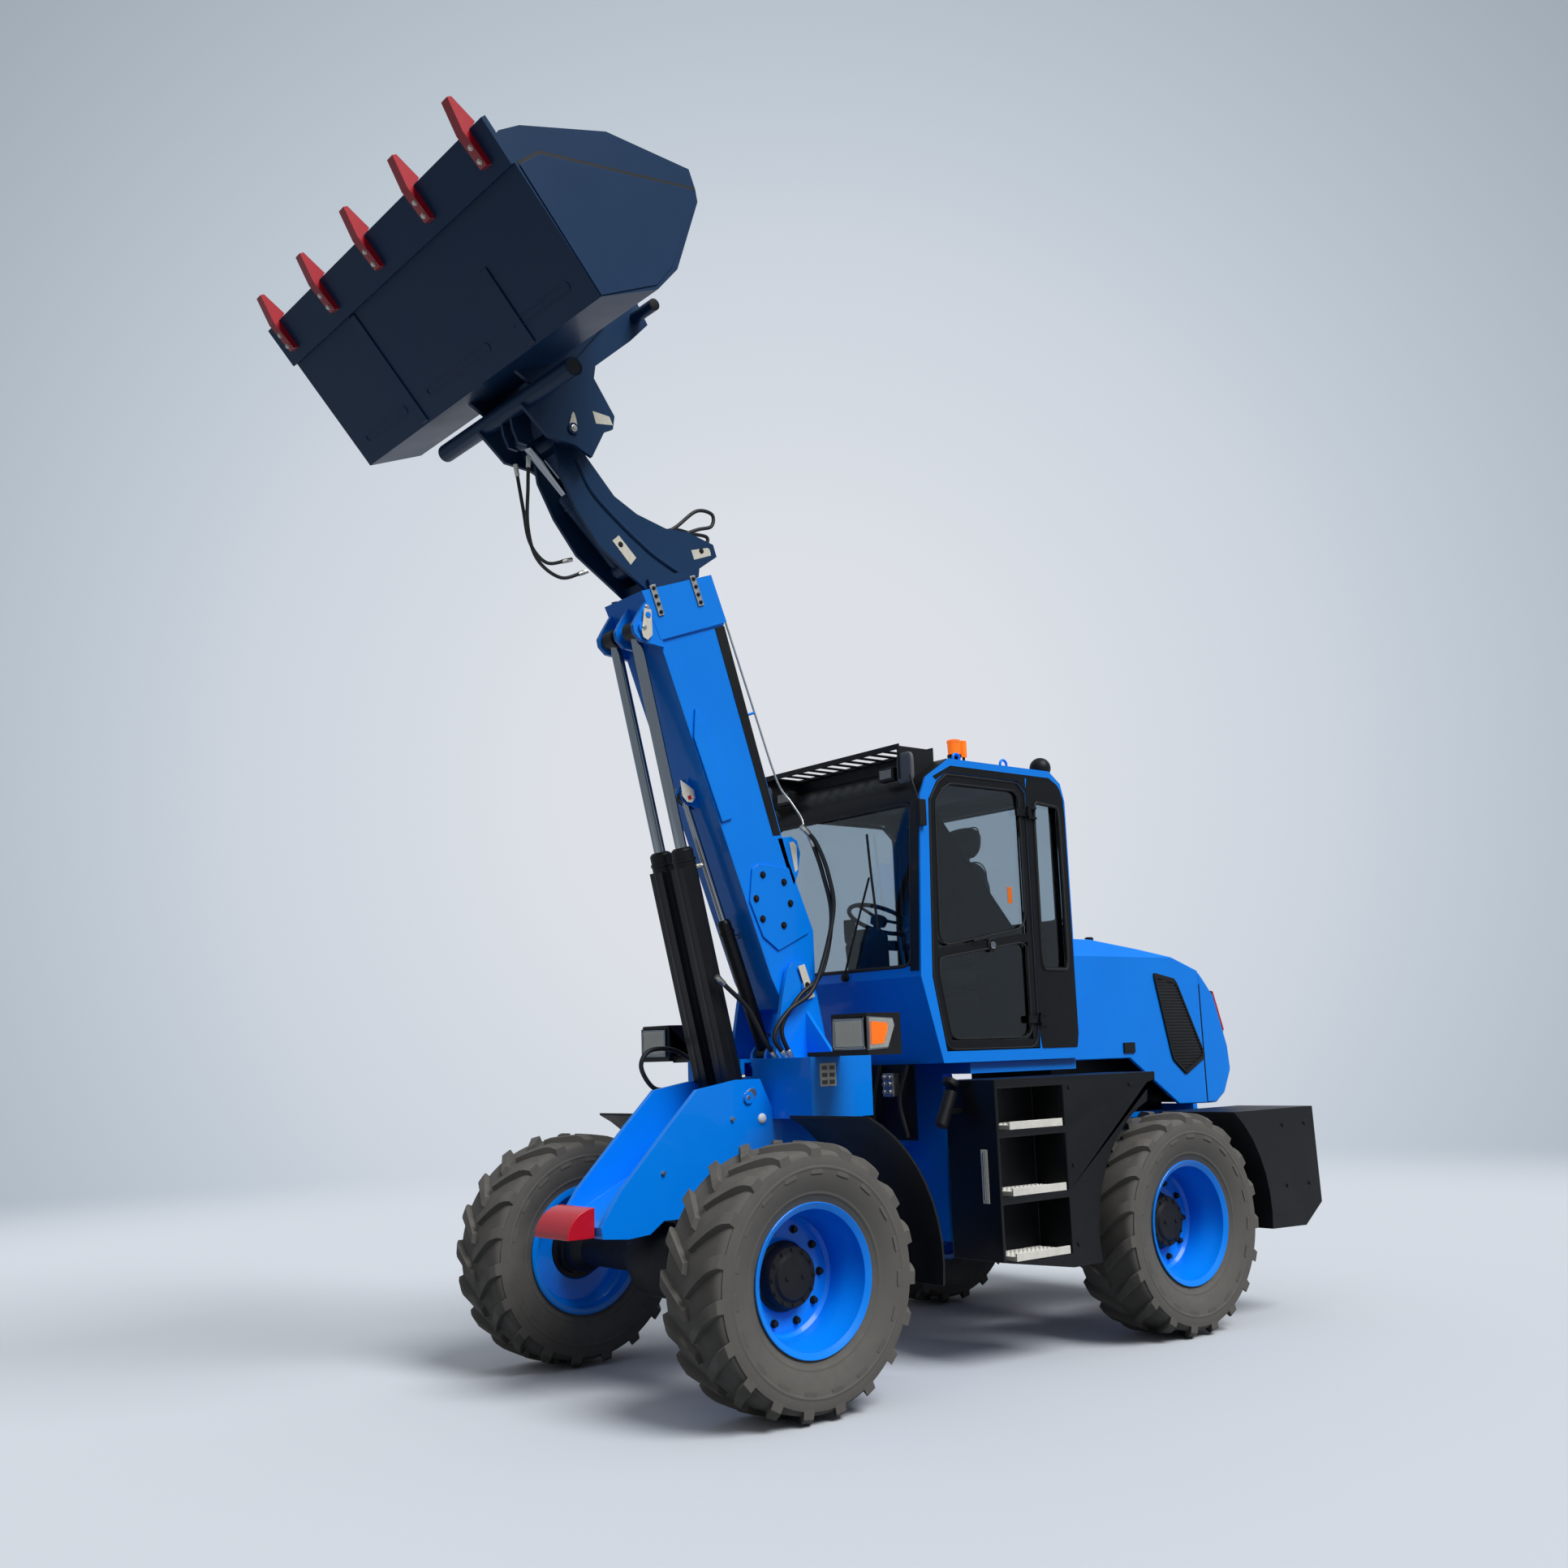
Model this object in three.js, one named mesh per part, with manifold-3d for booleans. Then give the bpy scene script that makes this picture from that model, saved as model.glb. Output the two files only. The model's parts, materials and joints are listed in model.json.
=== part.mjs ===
// Articulated wheel loader with a telescopic boom, raised, and a toothed bucket.
// Units are millimetres. +X is forward, +Y is the loader's left, +Z is up.
// The ground is z = 0 and the steering pivot stands over the middle of the wheelbase.
import * as THREE from "three";
import { mergeVertices } from "three/addons/utils/BufferGeometryUtils.js";
import Module from "manifold-3d";

const wasm = await Module();
wasm.setup();

// ---------------------------------------------------------------- driving sizes
const GAP = 0.3; // running gap between pieces that touch
const CLEAR = 6; // working clearance between pieces that move
const WHEELBASE = 2658;
const TRACK = 1854; // between the middles of the tyres
const TYRE_RADIUS = 588;
const TYRE_WIDTH = 410;
const RIM_SEAT = 305; // radius of the bead seat
const RIM_FLANGE = 330;
const RIM_WIDTH = 340;
const WHEEL_SIDES = 20;
const HUB_RADIUS = 150;
const AXLE_TUBE = 78; // radius of the axle tube
const AXLE_CASE = 178; // radius of the differential case

const FRAME_HALF = 200; // outer half width of the front frame's side plates
const FRAME_PLATE = 30;
const PIN_RADIUS = 30;
const BOOM_PIN = 38;
const PIVOT_PIN = 32; // radius of the steering pivot pin

const CAB_HALF = 680;
const CAB_WALL = 45;
const CAB_FLOOR = 1485;
const ROOF_TOP = 3095;
const GLASS = 6;
const DOOR_REAR = -670; // the door's hinge edge
const DOOR_GAP = 6;
const HINGE_Y = CAB_HALF + 16; // the door's hinge line, outside the cab wall
const HINGE_PIN = 7;
const HINGE_HEIGHTS = [1700, 2840];

const HOOD_HALF = 560;
const HOOD_WALL = 25;
const HOOD_FRONT = -1015;
const HOOD_SPLIT = -2290; // seam between the hood and its rear cap

const STEP_FRONT = 95; // front face of the side boxes under the cab
const STEP_IN = 700;
const STEP_OUT = 1045;
const STEP_TOP = 1400;
const STEP_FOOT = 450;
const ARCH = 700; // radius of the arches over the rear wheels
const REAR_BOX_IN = 610;
const REAR_BOX_OUT = 1130;

const BOOM_PIVOT = new THREE.Vector2(570, 1900);
const BOOM_ANGLE = 70; // degrees above level, as it stands
const BOOM_HALF = 160;
const BOOM_WALL = 12;
const BOOM_REACH = 2205; // pivot to the collar's open end
const JIB_HALF = 112;
const JIB_WALL = 14;
const JIB_WIDE = 132; // half width of the inner tube
const JIB_DROP = 140; // the inner tube's lower and upper faces, from the boom's axis
const JIB_RISE = 135;
const JIB_TAIL = 430; // start of the inner tube, along the boom
const LIFT_SPREAD = 95; // each lift cylinder's distance from the middle plane
const LIFT_BORE = 57; // outer radius of a lift barrel
const LIFT_ROD = 30;
const LIFT_BARREL = 1290;
const LEVEL_BORE = 37;
const LEVEL_ROD = 18;
const LEVEL_BARREL = 740;
const ROD_SLACK = 0.8; // radial clearance of a rod in its gland
const PIN_SLACK = 0.9; // radial clearance of a pin in its eye
const BORE_SIDES = 24; // an eye's bore has more sides than its pin, so that the pin's corners turn freely
const TILT_BORE = 52;
const TILT_ROD = 26;
const TILT_BARREL = 480;

const BUCKET_HALF = 1180;
const BUCKET_ANGLE = 48.7; // degrees that the floor is rolled back from level
const BUCKET_SHELL = 12;
const BUCKET_CHEEK = 16;
const TOOTH_COUNT = 5;
const TOOTH_SPREAD = 1055;
const COUPLER_HALF = 200; // inner faces of the coupler's side plates
const COUPLER_PLATE = 22;
const COUPLER_TUBE = 47;
const COUPLER_TUBE_HALF = 640;

// ---------------------------------------------------------------- placing on the boom
/** Point in the side plane at `along` the boom and `up` from its axis, toward the cab. */
function onBoom(along, up) {
  const offset = new THREE.Vector2(along, up);
  return offset.rotateAround(new THREE.Vector2(), THREE.MathUtils.degToRad(BOOM_ANGLE)).add(BOOM_PIVOT);
}

const LIFT_FOOT = new THREE.Vector2(980, 1350);
const LIFT_HEAD = onBoom(2023, -296);
const LEVEL_FOOT = new THREE.Vector2(700, 1560);
const LEVEL_HEAD = onBoom(1137, -245);
const BUCKET_PIVOT = onBoom(3054, -378);
const TILT_FOOT = onBoom(2360, -170);
const TILT_HEAD = BUCKET_PIVOT.clone().add(new THREE.Vector2(150, -25));
const BUCKET_HEEL = BUCKET_PIVOT.clone().add(new THREE.Vector2(436, 169));

/** Point in the side plane given along and above the bucket's floor, from its heel. */
function onBucket(along, up) {
  const offset = new THREE.Vector2(along, up);
  return offset.rotateAround(new THREE.Vector2(), THREE.MathUtils.degToRad(BUCKET_ANGLE)).add(BUCKET_HEEL);
}

// ---------------------------------------------------------------- solids
/** Closed manifold solid from a three.js geometry. */
function solid(geometry) {
  const bare = new THREE.BufferGeometry();
  bare.setAttribute("position", geometry.getAttribute("position"));
  if (geometry.index) bare.setIndex(geometry.index);
  const merged = mergeVertices(bare, 1e-3);
  const corners = [];
  for (let i = 0; i < merged.index.count; i += 3) {
    const [a, b, c] = [0, 1, 2].map((k) => merged.index.getX(i + k));
    if (a !== b && b !== c && c !== a) corners.push(a, b, c);
  }
  return new wasm.Manifold(new wasm.Mesh({
    numProp: 3,
    vertProperties: Float32Array.from(merged.getAttribute("position").array),
    triVerts: Uint32Array.from(corners),
  }));
}

/** three.js geometry from a manifold solid. */
function geometryOf(body) {
  const mesh = body.getMesh();
  const geometry = new THREE.BufferGeometry();
  geometry.setAttribute("position", new THREE.BufferAttribute(Float32Array.from(mesh.vertProperties), 3));
  geometry.setIndex(Array.from(mesh.triVerts));
  geometry.computeVertexNormals();
  return geometry;
}

/** Joins a list of solids. */
const join = (...bodies) => bodies.reduce((whole, next) => whole.add(next));

/** Cuts a list of solids out of the first. */
const cut = (body, ...tools) => tools.reduce((whole, next) => whole.subtract(next), body);

function shapeOf(points) {
  return new THREE.Shape(points.map((p) => (p.isVector2 ? p : new THREE.Vector2(...p))));
}

/** Side outline of [x, z] points, as wide as y0 to y1. */
function plate(points, y0, y1) {
  const shape = points instanceof THREE.Shape ? points : shapeOf(points);
  const geometry = new THREE.ExtrudeGeometry(shape, { depth: y1 - y0, bevelEnabled: false });
  return solid(geometry.rotateX(Math.PI / 2).translate(0, y1, 0));
}

/** Plan outline of [x, y] points, as high as z0 to z1. */
function slab(points, z0, z1) {
  const shape = points instanceof THREE.Shape ? points : shapeOf(points);
  const geometry = new THREE.ExtrudeGeometry(shape, { depth: z1 - z0, bevelEnabled: false });
  return solid(geometry.translate(0, 0, z0));
}

/** Front outline of [y, z] points, as long as x0 to x1. */
function rib(points, x0, x1) {
  const geometry = new THREE.ExtrudeGeometry(shapeOf(points), { depth: x1 - x0, bevelEnabled: false });
  return solid(geometry.rotateX(Math.PI / 2).rotateZ(Math.PI / 2).translate(x0, 0, 0));
}

/** Box between two corners. */
function block(x0, x1, y0, y1, z0, z1) {
  const geometry = new THREE.BoxGeometry(x1 - x0, y1 - y0, z1 - z0);
  return solid(geometry.translate((x0 + x1) / 2, (y0 + y1) / 2, (z0 + z1) / 2));
}

/** Round bar between two 3-D points. */
function bar(from, to, radius, sides = 12) {
  const axis = new THREE.Vector3().subVectors(to, from);
  const geometry = new THREE.CylinderGeometry(radius, radius, axis.length(), sides);
  geometry.applyQuaternion(new THREE.Quaternion().setFromUnitVectors(
    new THREE.Vector3(0, 1, 0), axis.clone().normalize()));
  const middle = new THREE.Vector3().addVectors(from, to).multiplyScalar(0.5);
  return solid(geometry.translate(middle.x, middle.y, middle.z));
}

/** Round bar across the loader, through a point of the side plane. */
function crossBar(point, radius, y0, y1, sides = 12) {
  return bar(new THREE.Vector3(point.x, y0, point.y), new THREE.Vector3(point.x, y1, point.y), radius, sides);
}

/** Pin whose stretches end beside an eye, so that the eye between them stays free. */
function openPin(point, radius, eyeSides, far) {
  const edges = [-far, ...eyeSides, far];
  const stretches = Array.from({ length: edges.length / 2 }, (_, i) => [edges[2 * i], edges[2 * i + 1]]);
  return stretches.map(([y0, y1]) => crossBar(point, radius, y0, y1));
}

/** Ring turned about the Y axis from closed [radius, y] points. */
function turned(points, sides = WHEEL_SIDES) {
  const geometry = new THREE.LatheGeometry(points.map(([r, y]) => new THREE.Vector2(r, y)), sides);
  return solid(geometry);
}

const at = (point, y = 0) => new THREE.Vector3(point.x, y, point.y);

/** Outline that bites an arch of the rear wheel out of a side outline. */
function archTool(y0, y1) {
  const axle = new THREE.Vector2(-WHEELBASE / 2, TYRE_RADIUS);
  return crossBar(axle, ARCH, y0 - 5, y1 + 5, 40);
}

// ---------------------------------------------------------------- materials and assembly
const PAINT = {
  blue: { color: 0x0a78e0, roughness: 0.35, metalness: 0.1 },
  navy: { color: 0x1d2f45, roughness: 0.5, metalness: 0.2 },
  black: { color: 0x14161a, roughness: 0.55, metalness: 0.1 },
  red: { color: 0xc8102e, roughness: 0.45, metalness: 0.1 },
  rubber: { color: 0x55534f, roughness: 0.9, metalness: 0 },
  chrome: { color: 0xc9ccd0, roughness: 0.15, metalness: 1 },
  steel: { color: 0x8b8f94, roughness: 0.4, metalness: 0.8 },
  glass: { color: 0x9fb4b8, roughness: 0.05, metalness: 0 },
  vinyl: { color: 0x1b1c1f, roughness: 0.8, metalness: 0 },
  lamp: { color: 0xe8e4d8, roughness: 0.2, metalness: 0 },
  amber: { color: 0xf07a10, roughness: 0.3, metalness: 0 },
};

const group = new THREE.Group();

function piece(name, body, paint, parent = group) {
  const mesh = new THREE.Mesh(geometryOf(body), new THREE.MeshStandardMaterial(PAINT[paint]));
  mesh.name = name;
  parent.add(mesh);
}

/** Runs a maker for the left (+1) and the right (-1) side. */
function bothSides(make) {
  make("left", 1);
  make("right", -1);
}

/** The pair of y values a plate needs on one side, smallest first. */
const span = (side, near, far) => (side > 0 ? [near, far] : [-far, -near]);

// ---------------------------------------------------------------- wheels and axles
function makeWheel(end, side) {
  const name = `${end > 0 ? "front" : "rear"}_${side > 0 ? "left" : "right"}`;
  const place = new THREE.Group();
  place.position.set((end * WHEELBASE) / 2, (side * TRACK) / 2, TYRE_RADIUS);
  if (side < 0) place.rotation.z = Math.PI;
  group.add(place);
  const half = RIM_WIDTH / 2;
  const lip = 13;
  const rim = turned([
    [0, -118], [HUB_RADIUS - 20, -118], [HUB_RADIUS - 20, -70], [RIM_SEAT - 43, -70],
    [RIM_SEAT - 15, -half + 45], [RIM_SEAT - 15, -half], [RIM_FLANGE, -half], [RIM_FLANGE, -half + lip],
    [RIM_SEAT, -half + lip + 2], [RIM_SEAT, -105], [RIM_SEAT - 30, -85], [RIM_SEAT - 30, 60],
    [RIM_SEAT, 90], [RIM_SEAT, half - lip - 2], [RIM_FLANGE, half - lip], [RIM_FLANGE, half],
    [RIM_SEAT - 9, half], [RIM_SEAT - 9, 95], [RIM_SEAT - 39, 66], [RIM_SEAT - 39, -58],
    [HUB_RADIUS, -58], [HUB_RADIUS, 20], [HUB_RADIUS - 30, 32], [0, 32],
  ]);
  const bead = RIM_SEAT + GAP;
  const wide = TYRE_WIDTH / 2;
  const heel = half - lip - 5;
  const tyre = turned([
    [bead, -heel], [RIM_FLANGE + 5, -heel], [RIM_FLANGE + 16, -half - 6], [400, -wide + 7], [470, -wide],
    [TYRE_RADIUS - 48, -wide + 8], [TYRE_RADIUS - 10, -wide + 33], [TYRE_RADIUS, -wide + 85],
    [TYRE_RADIUS, wide - 85], [TYRE_RADIUS - 10, wide - 33], [TYRE_RADIUS - 48, wide - 8], [470, wide],
    [400, wide - 7], [RIM_FLANGE + 16, half + 6], [RIM_FLANGE + 5, heel], [bead, heel], [bead, heel - 25],
    [430, wide - 32], [TYRE_RADIUS - 42, wide - 68], [TYRE_RADIUS - 42, -wide + 68], [430, -wide + 32],
    [bead, -heel + 25], [bead, -heel],
  ]);
  piece(`${name}_rim`, rim, "blue", place);
  piece(`${name}_tyre`, tyre, "rubber", place);
}

/** Axle beam with its differential case, hub ends and the pads that carry the frame. */
function makeAxle(name, end, padIn, padOut, padTop) {
  const reach = TRACK / 2 - 118 - GAP;
  const beam = turned([
    [0, -reach], [115, -reach], [115, -reach + 60], [AXLE_TUBE, -reach + 110], [AXLE_TUBE, -300],
    [AXLE_CASE, -110], [AXLE_CASE, 110], [AXLE_TUBE, 300], [AXLE_TUBE, reach - 110],
    [115, reach - 60], [115, reach], [0, reach],
  ], 20);
  const middle = (end * WHEELBASE) / 2;
  const placed = solid(geometryOf(beam).translate(middle, 0, TYRE_RADIUS));
  const pads = [1, -1].map((side) => block(middle - 90, middle + 90, ...span(side, padIn, padOut),
    TYRE_RADIUS, padTop - GAP));
  const neck = bar(new THREE.Vector3(middle, 0, TYRE_RADIUS),
    new THREE.Vector3(middle - end * 300, 0, TYRE_RADIUS + 20), 70, 12);
  piece(name, join(placed, ...pads, neck), "black");
}

// ---------------------------------------------------------------- front frame
const HUB_X = WHEELBASE / 2;
const NOSE = HUB_X + 521; // foremost point of the side plates
const FRAME_BELLY = 800; // underside over the front axle
const TOWER_TOP = 1540;
const TOWER_HALF = 520;
const TOWER_PLATE = 26;
const BOOM_CHEEK = BOOM_HALF + CLEAR + 4; // inner faces of the plates that carry the boom
const BOOM_PIN_HALF = BOOM_CHEEK + TOWER_PLATE + 10;
const LIFT_LUG_HALF = 13; // half thickness of the plates between the two lift cylinders

function makeFrontFrame() {
  const side = [
    [NOSE - 150, 735], [NOSE - 10, 748], [NOSE, 800], [NOSE - 110, 953], [NOSE - 393, 1238],
    [NOSE - 560, 1400], [1040, 1440], [900, 1440], [830, 1300], [400, 1300], [330, 1220], [330, 520],
    [960, 520],
    [HUB_X - 239, FRAME_BELLY], [HUB_X + 171, FRAME_BELLY], [HUB_X + 251, 745],
  ];
  const plates = [1, -1].map((s) => plate(side, ...span(s, FRAME_HALF - FRAME_PLATE, FRAME_HALF)));
  const inner = FRAME_HALF - FRAME_PLATE;
  const trough = plate([[NOSE - 10, 748], [NOSE, 800], [1100, 1150], [900, 1230], [900, 1205], [1100, 1122],
    [NOSE - 50, 780]], -inner - 5, inner + 5);
  const lower = plate([[330, 520], [960, 520], [HUB_X - 239, FRAME_BELLY], [HUB_X + 171, FRAME_BELLY],
    [HUB_X + 251, 745], [NOSE - 150, 735], [NOSE - 10, 748], [NOSE - 10, 765], [NOSE - 150, 755],
    [HUB_X + 261, 765], [HUB_X + 181, FRAME_BELLY + 22], [HUB_X - 249, FRAME_BELLY + 22], [950, 545],
    [330, 545]], -inner - 5, inner + 5);
  const backWall = cut(block(330, 360, -330, 330, 520, 1240), block(325, 365, -120, 120, 690, 950));
  const crossBox = cut(
    block(430, 830, -TOWER_HALF, TOWER_HALF, 1240, TOWER_TOP),
    block(455, 805, -TOWER_HALF + 25, TOWER_HALF - 25, 1235, TOWER_TOP - 20),
    block(640, 835, -48, 48, 1450, TOWER_TOP + 5),
  );
  const cheeks = [1, -1].map((s) => plate([
    [425, TOWER_TOP - 30], [500, 1860], [545, 1990], [590, 2030], [650, 2030], [695, 1985], [730, 1860],
    [800, TOWER_TOP - 30],
  ], ...span(s, BOOM_CHEEK, BOOM_CHEEK + TOWER_PLATE)));
  const gussets = [1, -1].map((s) => rib(s > 0
    ? [[BOOM_CHEEK + 20, 1780], [BOOM_CHEEK + 20, 1530], [420, 1530]]
    : [[-BOOM_CHEEK - 20, 1780], [-420, 1530], [-BOOM_CHEEK - 20, 1530]], 560, 580));
  const lugs = [[600, 660], [980, 1040]].map(([z0, z1]) => pivotLug(z0, z1, 335, 1));
  const liftLug = plate([[900, 1200], [1080, 1140], [1050, 1330], [1020, 1370], [985, 1390], [945, 1385],
    [915, 1345]], -LIFT_LUG_HALF, LIFT_LUG_HALF);
  const liftPin = crossBar(LIFT_FOOT, PIN_RADIUS, -FRAME_HALF - 12, FRAME_HALF + 12);
  const levelLug = [[-60, 1500], [60, 1500], [48, 1570], [24, 1600], [-24, 1600], [-48, 1570]]
    .map(([x, z]) => [LEVEL_FOOT.x + x, z]);
  const levelLugs = [1, -1].map((s) => plate(levelLug, ...span(s, 48, 68)));
  const levelPin = crossBar(LEVEL_FOOT, 20, -68, 68, 12);
  const boomPin = crossBar(BOOM_PIVOT, BOOM_PIN, -BOOM_PIN_HALF, BOOM_PIN_HALF);
  const web = cut(block(900, 925, -inner - 5, inner + 5, 540, 1225), block(890, 935, -90, 90, 850, 1100));
  piece("front_frame", join(...plates, trough, lower, backWall, crossBox, ...cheeks, ...gussets,
    ...lugs, liftLug, liftPin, ...levelLugs, levelPin, boomPin, web), "blue");
}

/** Steering lug: a plan outline with a round end about the pivot, bored for the pin. */
function pivotLug(z0, z1, root, facing) {
  const round = 105;
  const wide = 150;
  const outline = new THREE.Shape();
  outline.moveTo(root * facing, -wide * facing);
  outline.lineTo(root * facing, wide * facing);
  outline.lineTo(0, round * facing);
  for (let step = 1; step < 8; step += 1) {
    const turn = Math.PI / 2 + (Math.PI * step) / 8;
    outline.lineTo(round * Math.cos(turn) * facing, round * Math.sin(turn) * facing);
  }
  outline.lineTo(0, -round * facing);
  const lug = slab(outline, z0, z1);
  const hole = bar(new THREE.Vector3(0, 0, z0 - 5), new THREE.Vector3(0, 0, z1 + 5), PIVOT_PIN + 1, 20);
  return cut(lug, hole);
}

function makeNoseCap() {
  const half = 150;
  const wall = 12;
  const foot = 752;
  const arc = (start, reach, rise) => Array.from({ length: 9 }, (_, i) => {
    const turn = i / 8 * Math.PI / 2;
    return [start + reach * Math.cos(turn), foot + rise * Math.sin(turn)];
  });
  const cap = plate([[NOSE + GAP, foot], ...arc(NOSE + GAP, 149, 138)], -half, half);
  const hollow = plate([[NOSE + 35, foot - wall], [NOSE + 136, foot - wall], ...arc(NOSE + 35, 101, 112)],
    -half + wall, half - wall);
  piece("nose_cap", cut(cap, hollow), "red");
}

/** Curved guard over the rear of a front wheel, on an arm from the tower box. */
function makeFrontFender(name, side) {
  const hub = new THREE.Vector2(HUB_X, TYRE_RADIUS);
  const sheet = 12;
  const outer = TYRE_RADIUS + 164;
  const [crown, tail] = [122, 188]; // where the sweep starts and ends, in degrees about the hub
  const wide = span(side, 560, 1130);
  const arc = (radius, from, to) => Array.from({ length: 10 }, (_, i) => {
    const turn = THREE.MathUtils.degToRad(from + ((to - from) * i) / 9);
    return [hub.x + radius * Math.cos(turn), hub.y + radius * Math.sin(turn)];
  });
  const outside = arc(outer, crown, tail);
  const inside = arc(outer - sheet, tail, crown);
  const brim = [outside[0], inside[inside.length - 1], [HUB_X - 319, 1256], [HUB_X - 319, 1268]];
  const guard = join(plate([...outside, ...inside], ...wide), plate(brim, ...wide));
  const arm = block(600, 760, ...span(side, TOWER_HALF + GAP, 575), 1180, 1240);
  const leg = plate([[600, 1180], [600, 1240], [760, 1240], [HUB_X - 429, 1200], [HUB_X - 449, 1180],
    [HUB_X - 529, 1106], [740, 1110], [720, 1180]], ...span(side, 548, 572));
  piece(name, join(guard, arm, leg), "black");
}

function makeHeadlight(name, side) {
  const shell = block(620, 835, ...span(side, 690, 950), 1540, 1738);
  const foot = block(640, 800, ...span(side, TOWER_HALF - 60, 700), TOWER_TOP + GAP, TOWER_TOP + 22);
  piece(name, join(shell, foot), "black");
}

// ---------------------------------------------------------------- rear frame
const FRAME_TOP = 1150; // top of the rails that carry the engine
const ENGINE_HALF = 320;
const HOOD_SEAT = 1182.5; // underside of the hood over its rests

function makeRearFrame() {
  const beams = [1, -1].map((s) => plate([[-190, 560], [-190, CAB_FLOOR - 60], [-330, CAB_FLOOR - 60],
    [-420, FRAME_TOP], [-2200, FRAME_TOP], [-2200, 800], [-900, 800], [-760, 560]], ...span(s, 300, 330)));
  const front = block(-190, -160, -430, 430, 560, CAB_FLOOR - GAP - 60);
  const deck = block(-1000, -160, -640, 640, CAB_FLOOR - 60 - GAP, CAB_FLOOR - GAP);
  const cross = [block(-760, -735, -325, 325, 570, FRAME_TOP), block(-1480, -1180, -325, 325, 800, 830),
    block(-2200, -2175, -325, 325, 800, FRAME_TOP)];
  const rails = [1, -1].map((s) => block(-2190, -1000, ...span(s, 300, 420), FRAME_TOP - 30, FRAME_TOP));
  const hoodRests = [1, -1].map((s) => block(-2190, -2150, ...span(s, 300, HOOD_HALF - 5), FRAME_TOP - 30,
    HOOD_SEAT - GAP));
  const lugLevels = [[540, 597], [663, 720], [920, 977], [1043, 1100]];
  const lugs = lugLevels.map(([z0, z1]) => pivotLug(z0, z1, 165, -1));
  const boxArms = [1, -1].map((s) => block(-600, -160, ...span(s, 320, STEP_IN - GAP), 1250, 1330));
  piece("rear_frame", join(...beams, front, deck, ...cross, ...rails, ...hoodRests, ...lugs,
    ...boxArms), "blue");
  const pin = bar(new THREE.Vector3(0, 0, 530), new THREE.Vector3(0, 0, 1110), PIVOT_PIN, 20);
  const head = bar(new THREE.Vector3(0, 0, 1100 + GAP), new THREE.Vector3(0, 0, 1118), 60, 20);
  piece("pivot_pin", join(pin, head), "steel");
}

/** Plain block at the engine's place, on the frame's rails. */
function makeEngine() {
  const sump = block(-2150, -1150, -ENGINE_HALF, ENGINE_HALF, FRAME_TOP + GAP, 1900);
  piece("engine_block", sump, "black");
}

const STEP_TREADS = [520, 830, 1150]; // heights of the three treads
const STEP_WALL = 20;

/** Boxes beside the cab: steps cut into the left one, a plain tank on the right. */
function makeSideBox(name, side, stepped) {
  const [y0, y1] = span(side, STEP_IN, STEP_OUT);
  const outline = [[STEP_FRONT, STEP_FOOT + 75], [STEP_FRONT, STEP_TOP], [-1170, STEP_TOP],
    [-1170, STEP_TOP - 45], [-1100, STEP_TOP - 60], [-1000, STEP_FOOT], [-420, STEP_FOOT]];
  const box = cut(plate(outline, y0, y1), archTool(y0, y1));
  const recesses = STEP_TREADS.map((height, i) => {
    const ceiling = (STEP_TREADS[i + 1] ?? STEP_TOP - 10) - 35;
    return block(-410, STEP_FRONT - STEP_WALL, STEP_IN + 130, STEP_OUT + 5, height, ceiling);
  });
  piece(name, stepped ? cut(box, ...recesses) : box, "black");
}

function makeRearBox(name, side) {
  const [y0, y1] = span(side, REAR_BOX_IN, REAR_BOX_OUT);
  const body = plate([[-1560, 1155], [-2515, 1155], [-2532, 605], [-2353, 487], [-1950, 497], [-1560, 1100]],
    y0, y1);
  piece(name, cut(body, archTool(y0, y1)), "black");
}

function makeCounterweight() {
  const slabBody = plate([[-2200 - GAP, 1110], [-2480, 1110], [-2480, 640], [-2380, 560], [-2200 - GAP, 560]],
    -REAR_BOX_IN + GAP, REAR_BOX_IN - GAP);
  piece("counterweight", slabBody, "black");
}

// ---------------------------------------------------------------- hood
const HOOD_OUTLINE = [
  [HOOD_FRONT, 2165], [-1350, 2162], [-1742, 2112], [-2035, 2067], [HOOD_SPLIT, 1985], [-2350, 1923],
  [-2430, 1835], [-2540, 1522], [-2554, 1377], [-2475, 1236], [-2385, 1180], [HOOD_SPLIT, 1180],
  [-2013, 1187], [-1579, 1468], [HOOD_FRONT, 1468],
];

/** Cross section of the hood, with its top edges cut off at a slant. */
function hoodShell(skin, from, to) {
  const half = HOOD_HALF - skin;
  const width = [[-half, 900], [half, 900], [half, 2060 - skin], [half - 90, 2250 - skin],
    [-half + 90, 2250 - skin], [-half, 2060 - skin]];
  return rib(width, from, to);
}

function makeHood() {
  const bulk = plate(HOOD_OUTLINE, -HOOD_HALF - 10, HOOD_HALF + 10).intersect(hoodShell(0, -2600, -900));
  const inner = [
    [HOOD_FRONT + 50, 2165 - HOOD_WALL], [-1350, 2162 - HOOD_WALL], [-1742, 2112 - HOOD_WALL],
    [-2035, 2067 - HOOD_WALL], [HOOD_SPLIT, 1985 - HOOD_WALL], [-2335, 1905], [-2407, 1822], [-2514, 1520],
    [-2527, 1383], [-2458, 1258], [-2380, 1206], [-2300, 1100], [-2013, 1100], [-1579, 1400],
    [HOOD_FRONT + 50, 1400],
  ];
  const hollow = plate(inner, -HOOD_HALF, HOOD_HALF).intersect(hoodShell(HOOD_WALL, -2600, -900));
  const shell = cut(bulk, hollow);
  const front = block(HOOD_SPLIT + GAP, -900, -700, 700, 900, 2300);
  const rear = block(-2700, HOOD_SPLIT, -700, 700, 900, 2300);
  piece("hood", shell.intersect(front), "blue");
  piece("rear_hood_cap", shell.intersect(rear), "blue");
}

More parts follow.
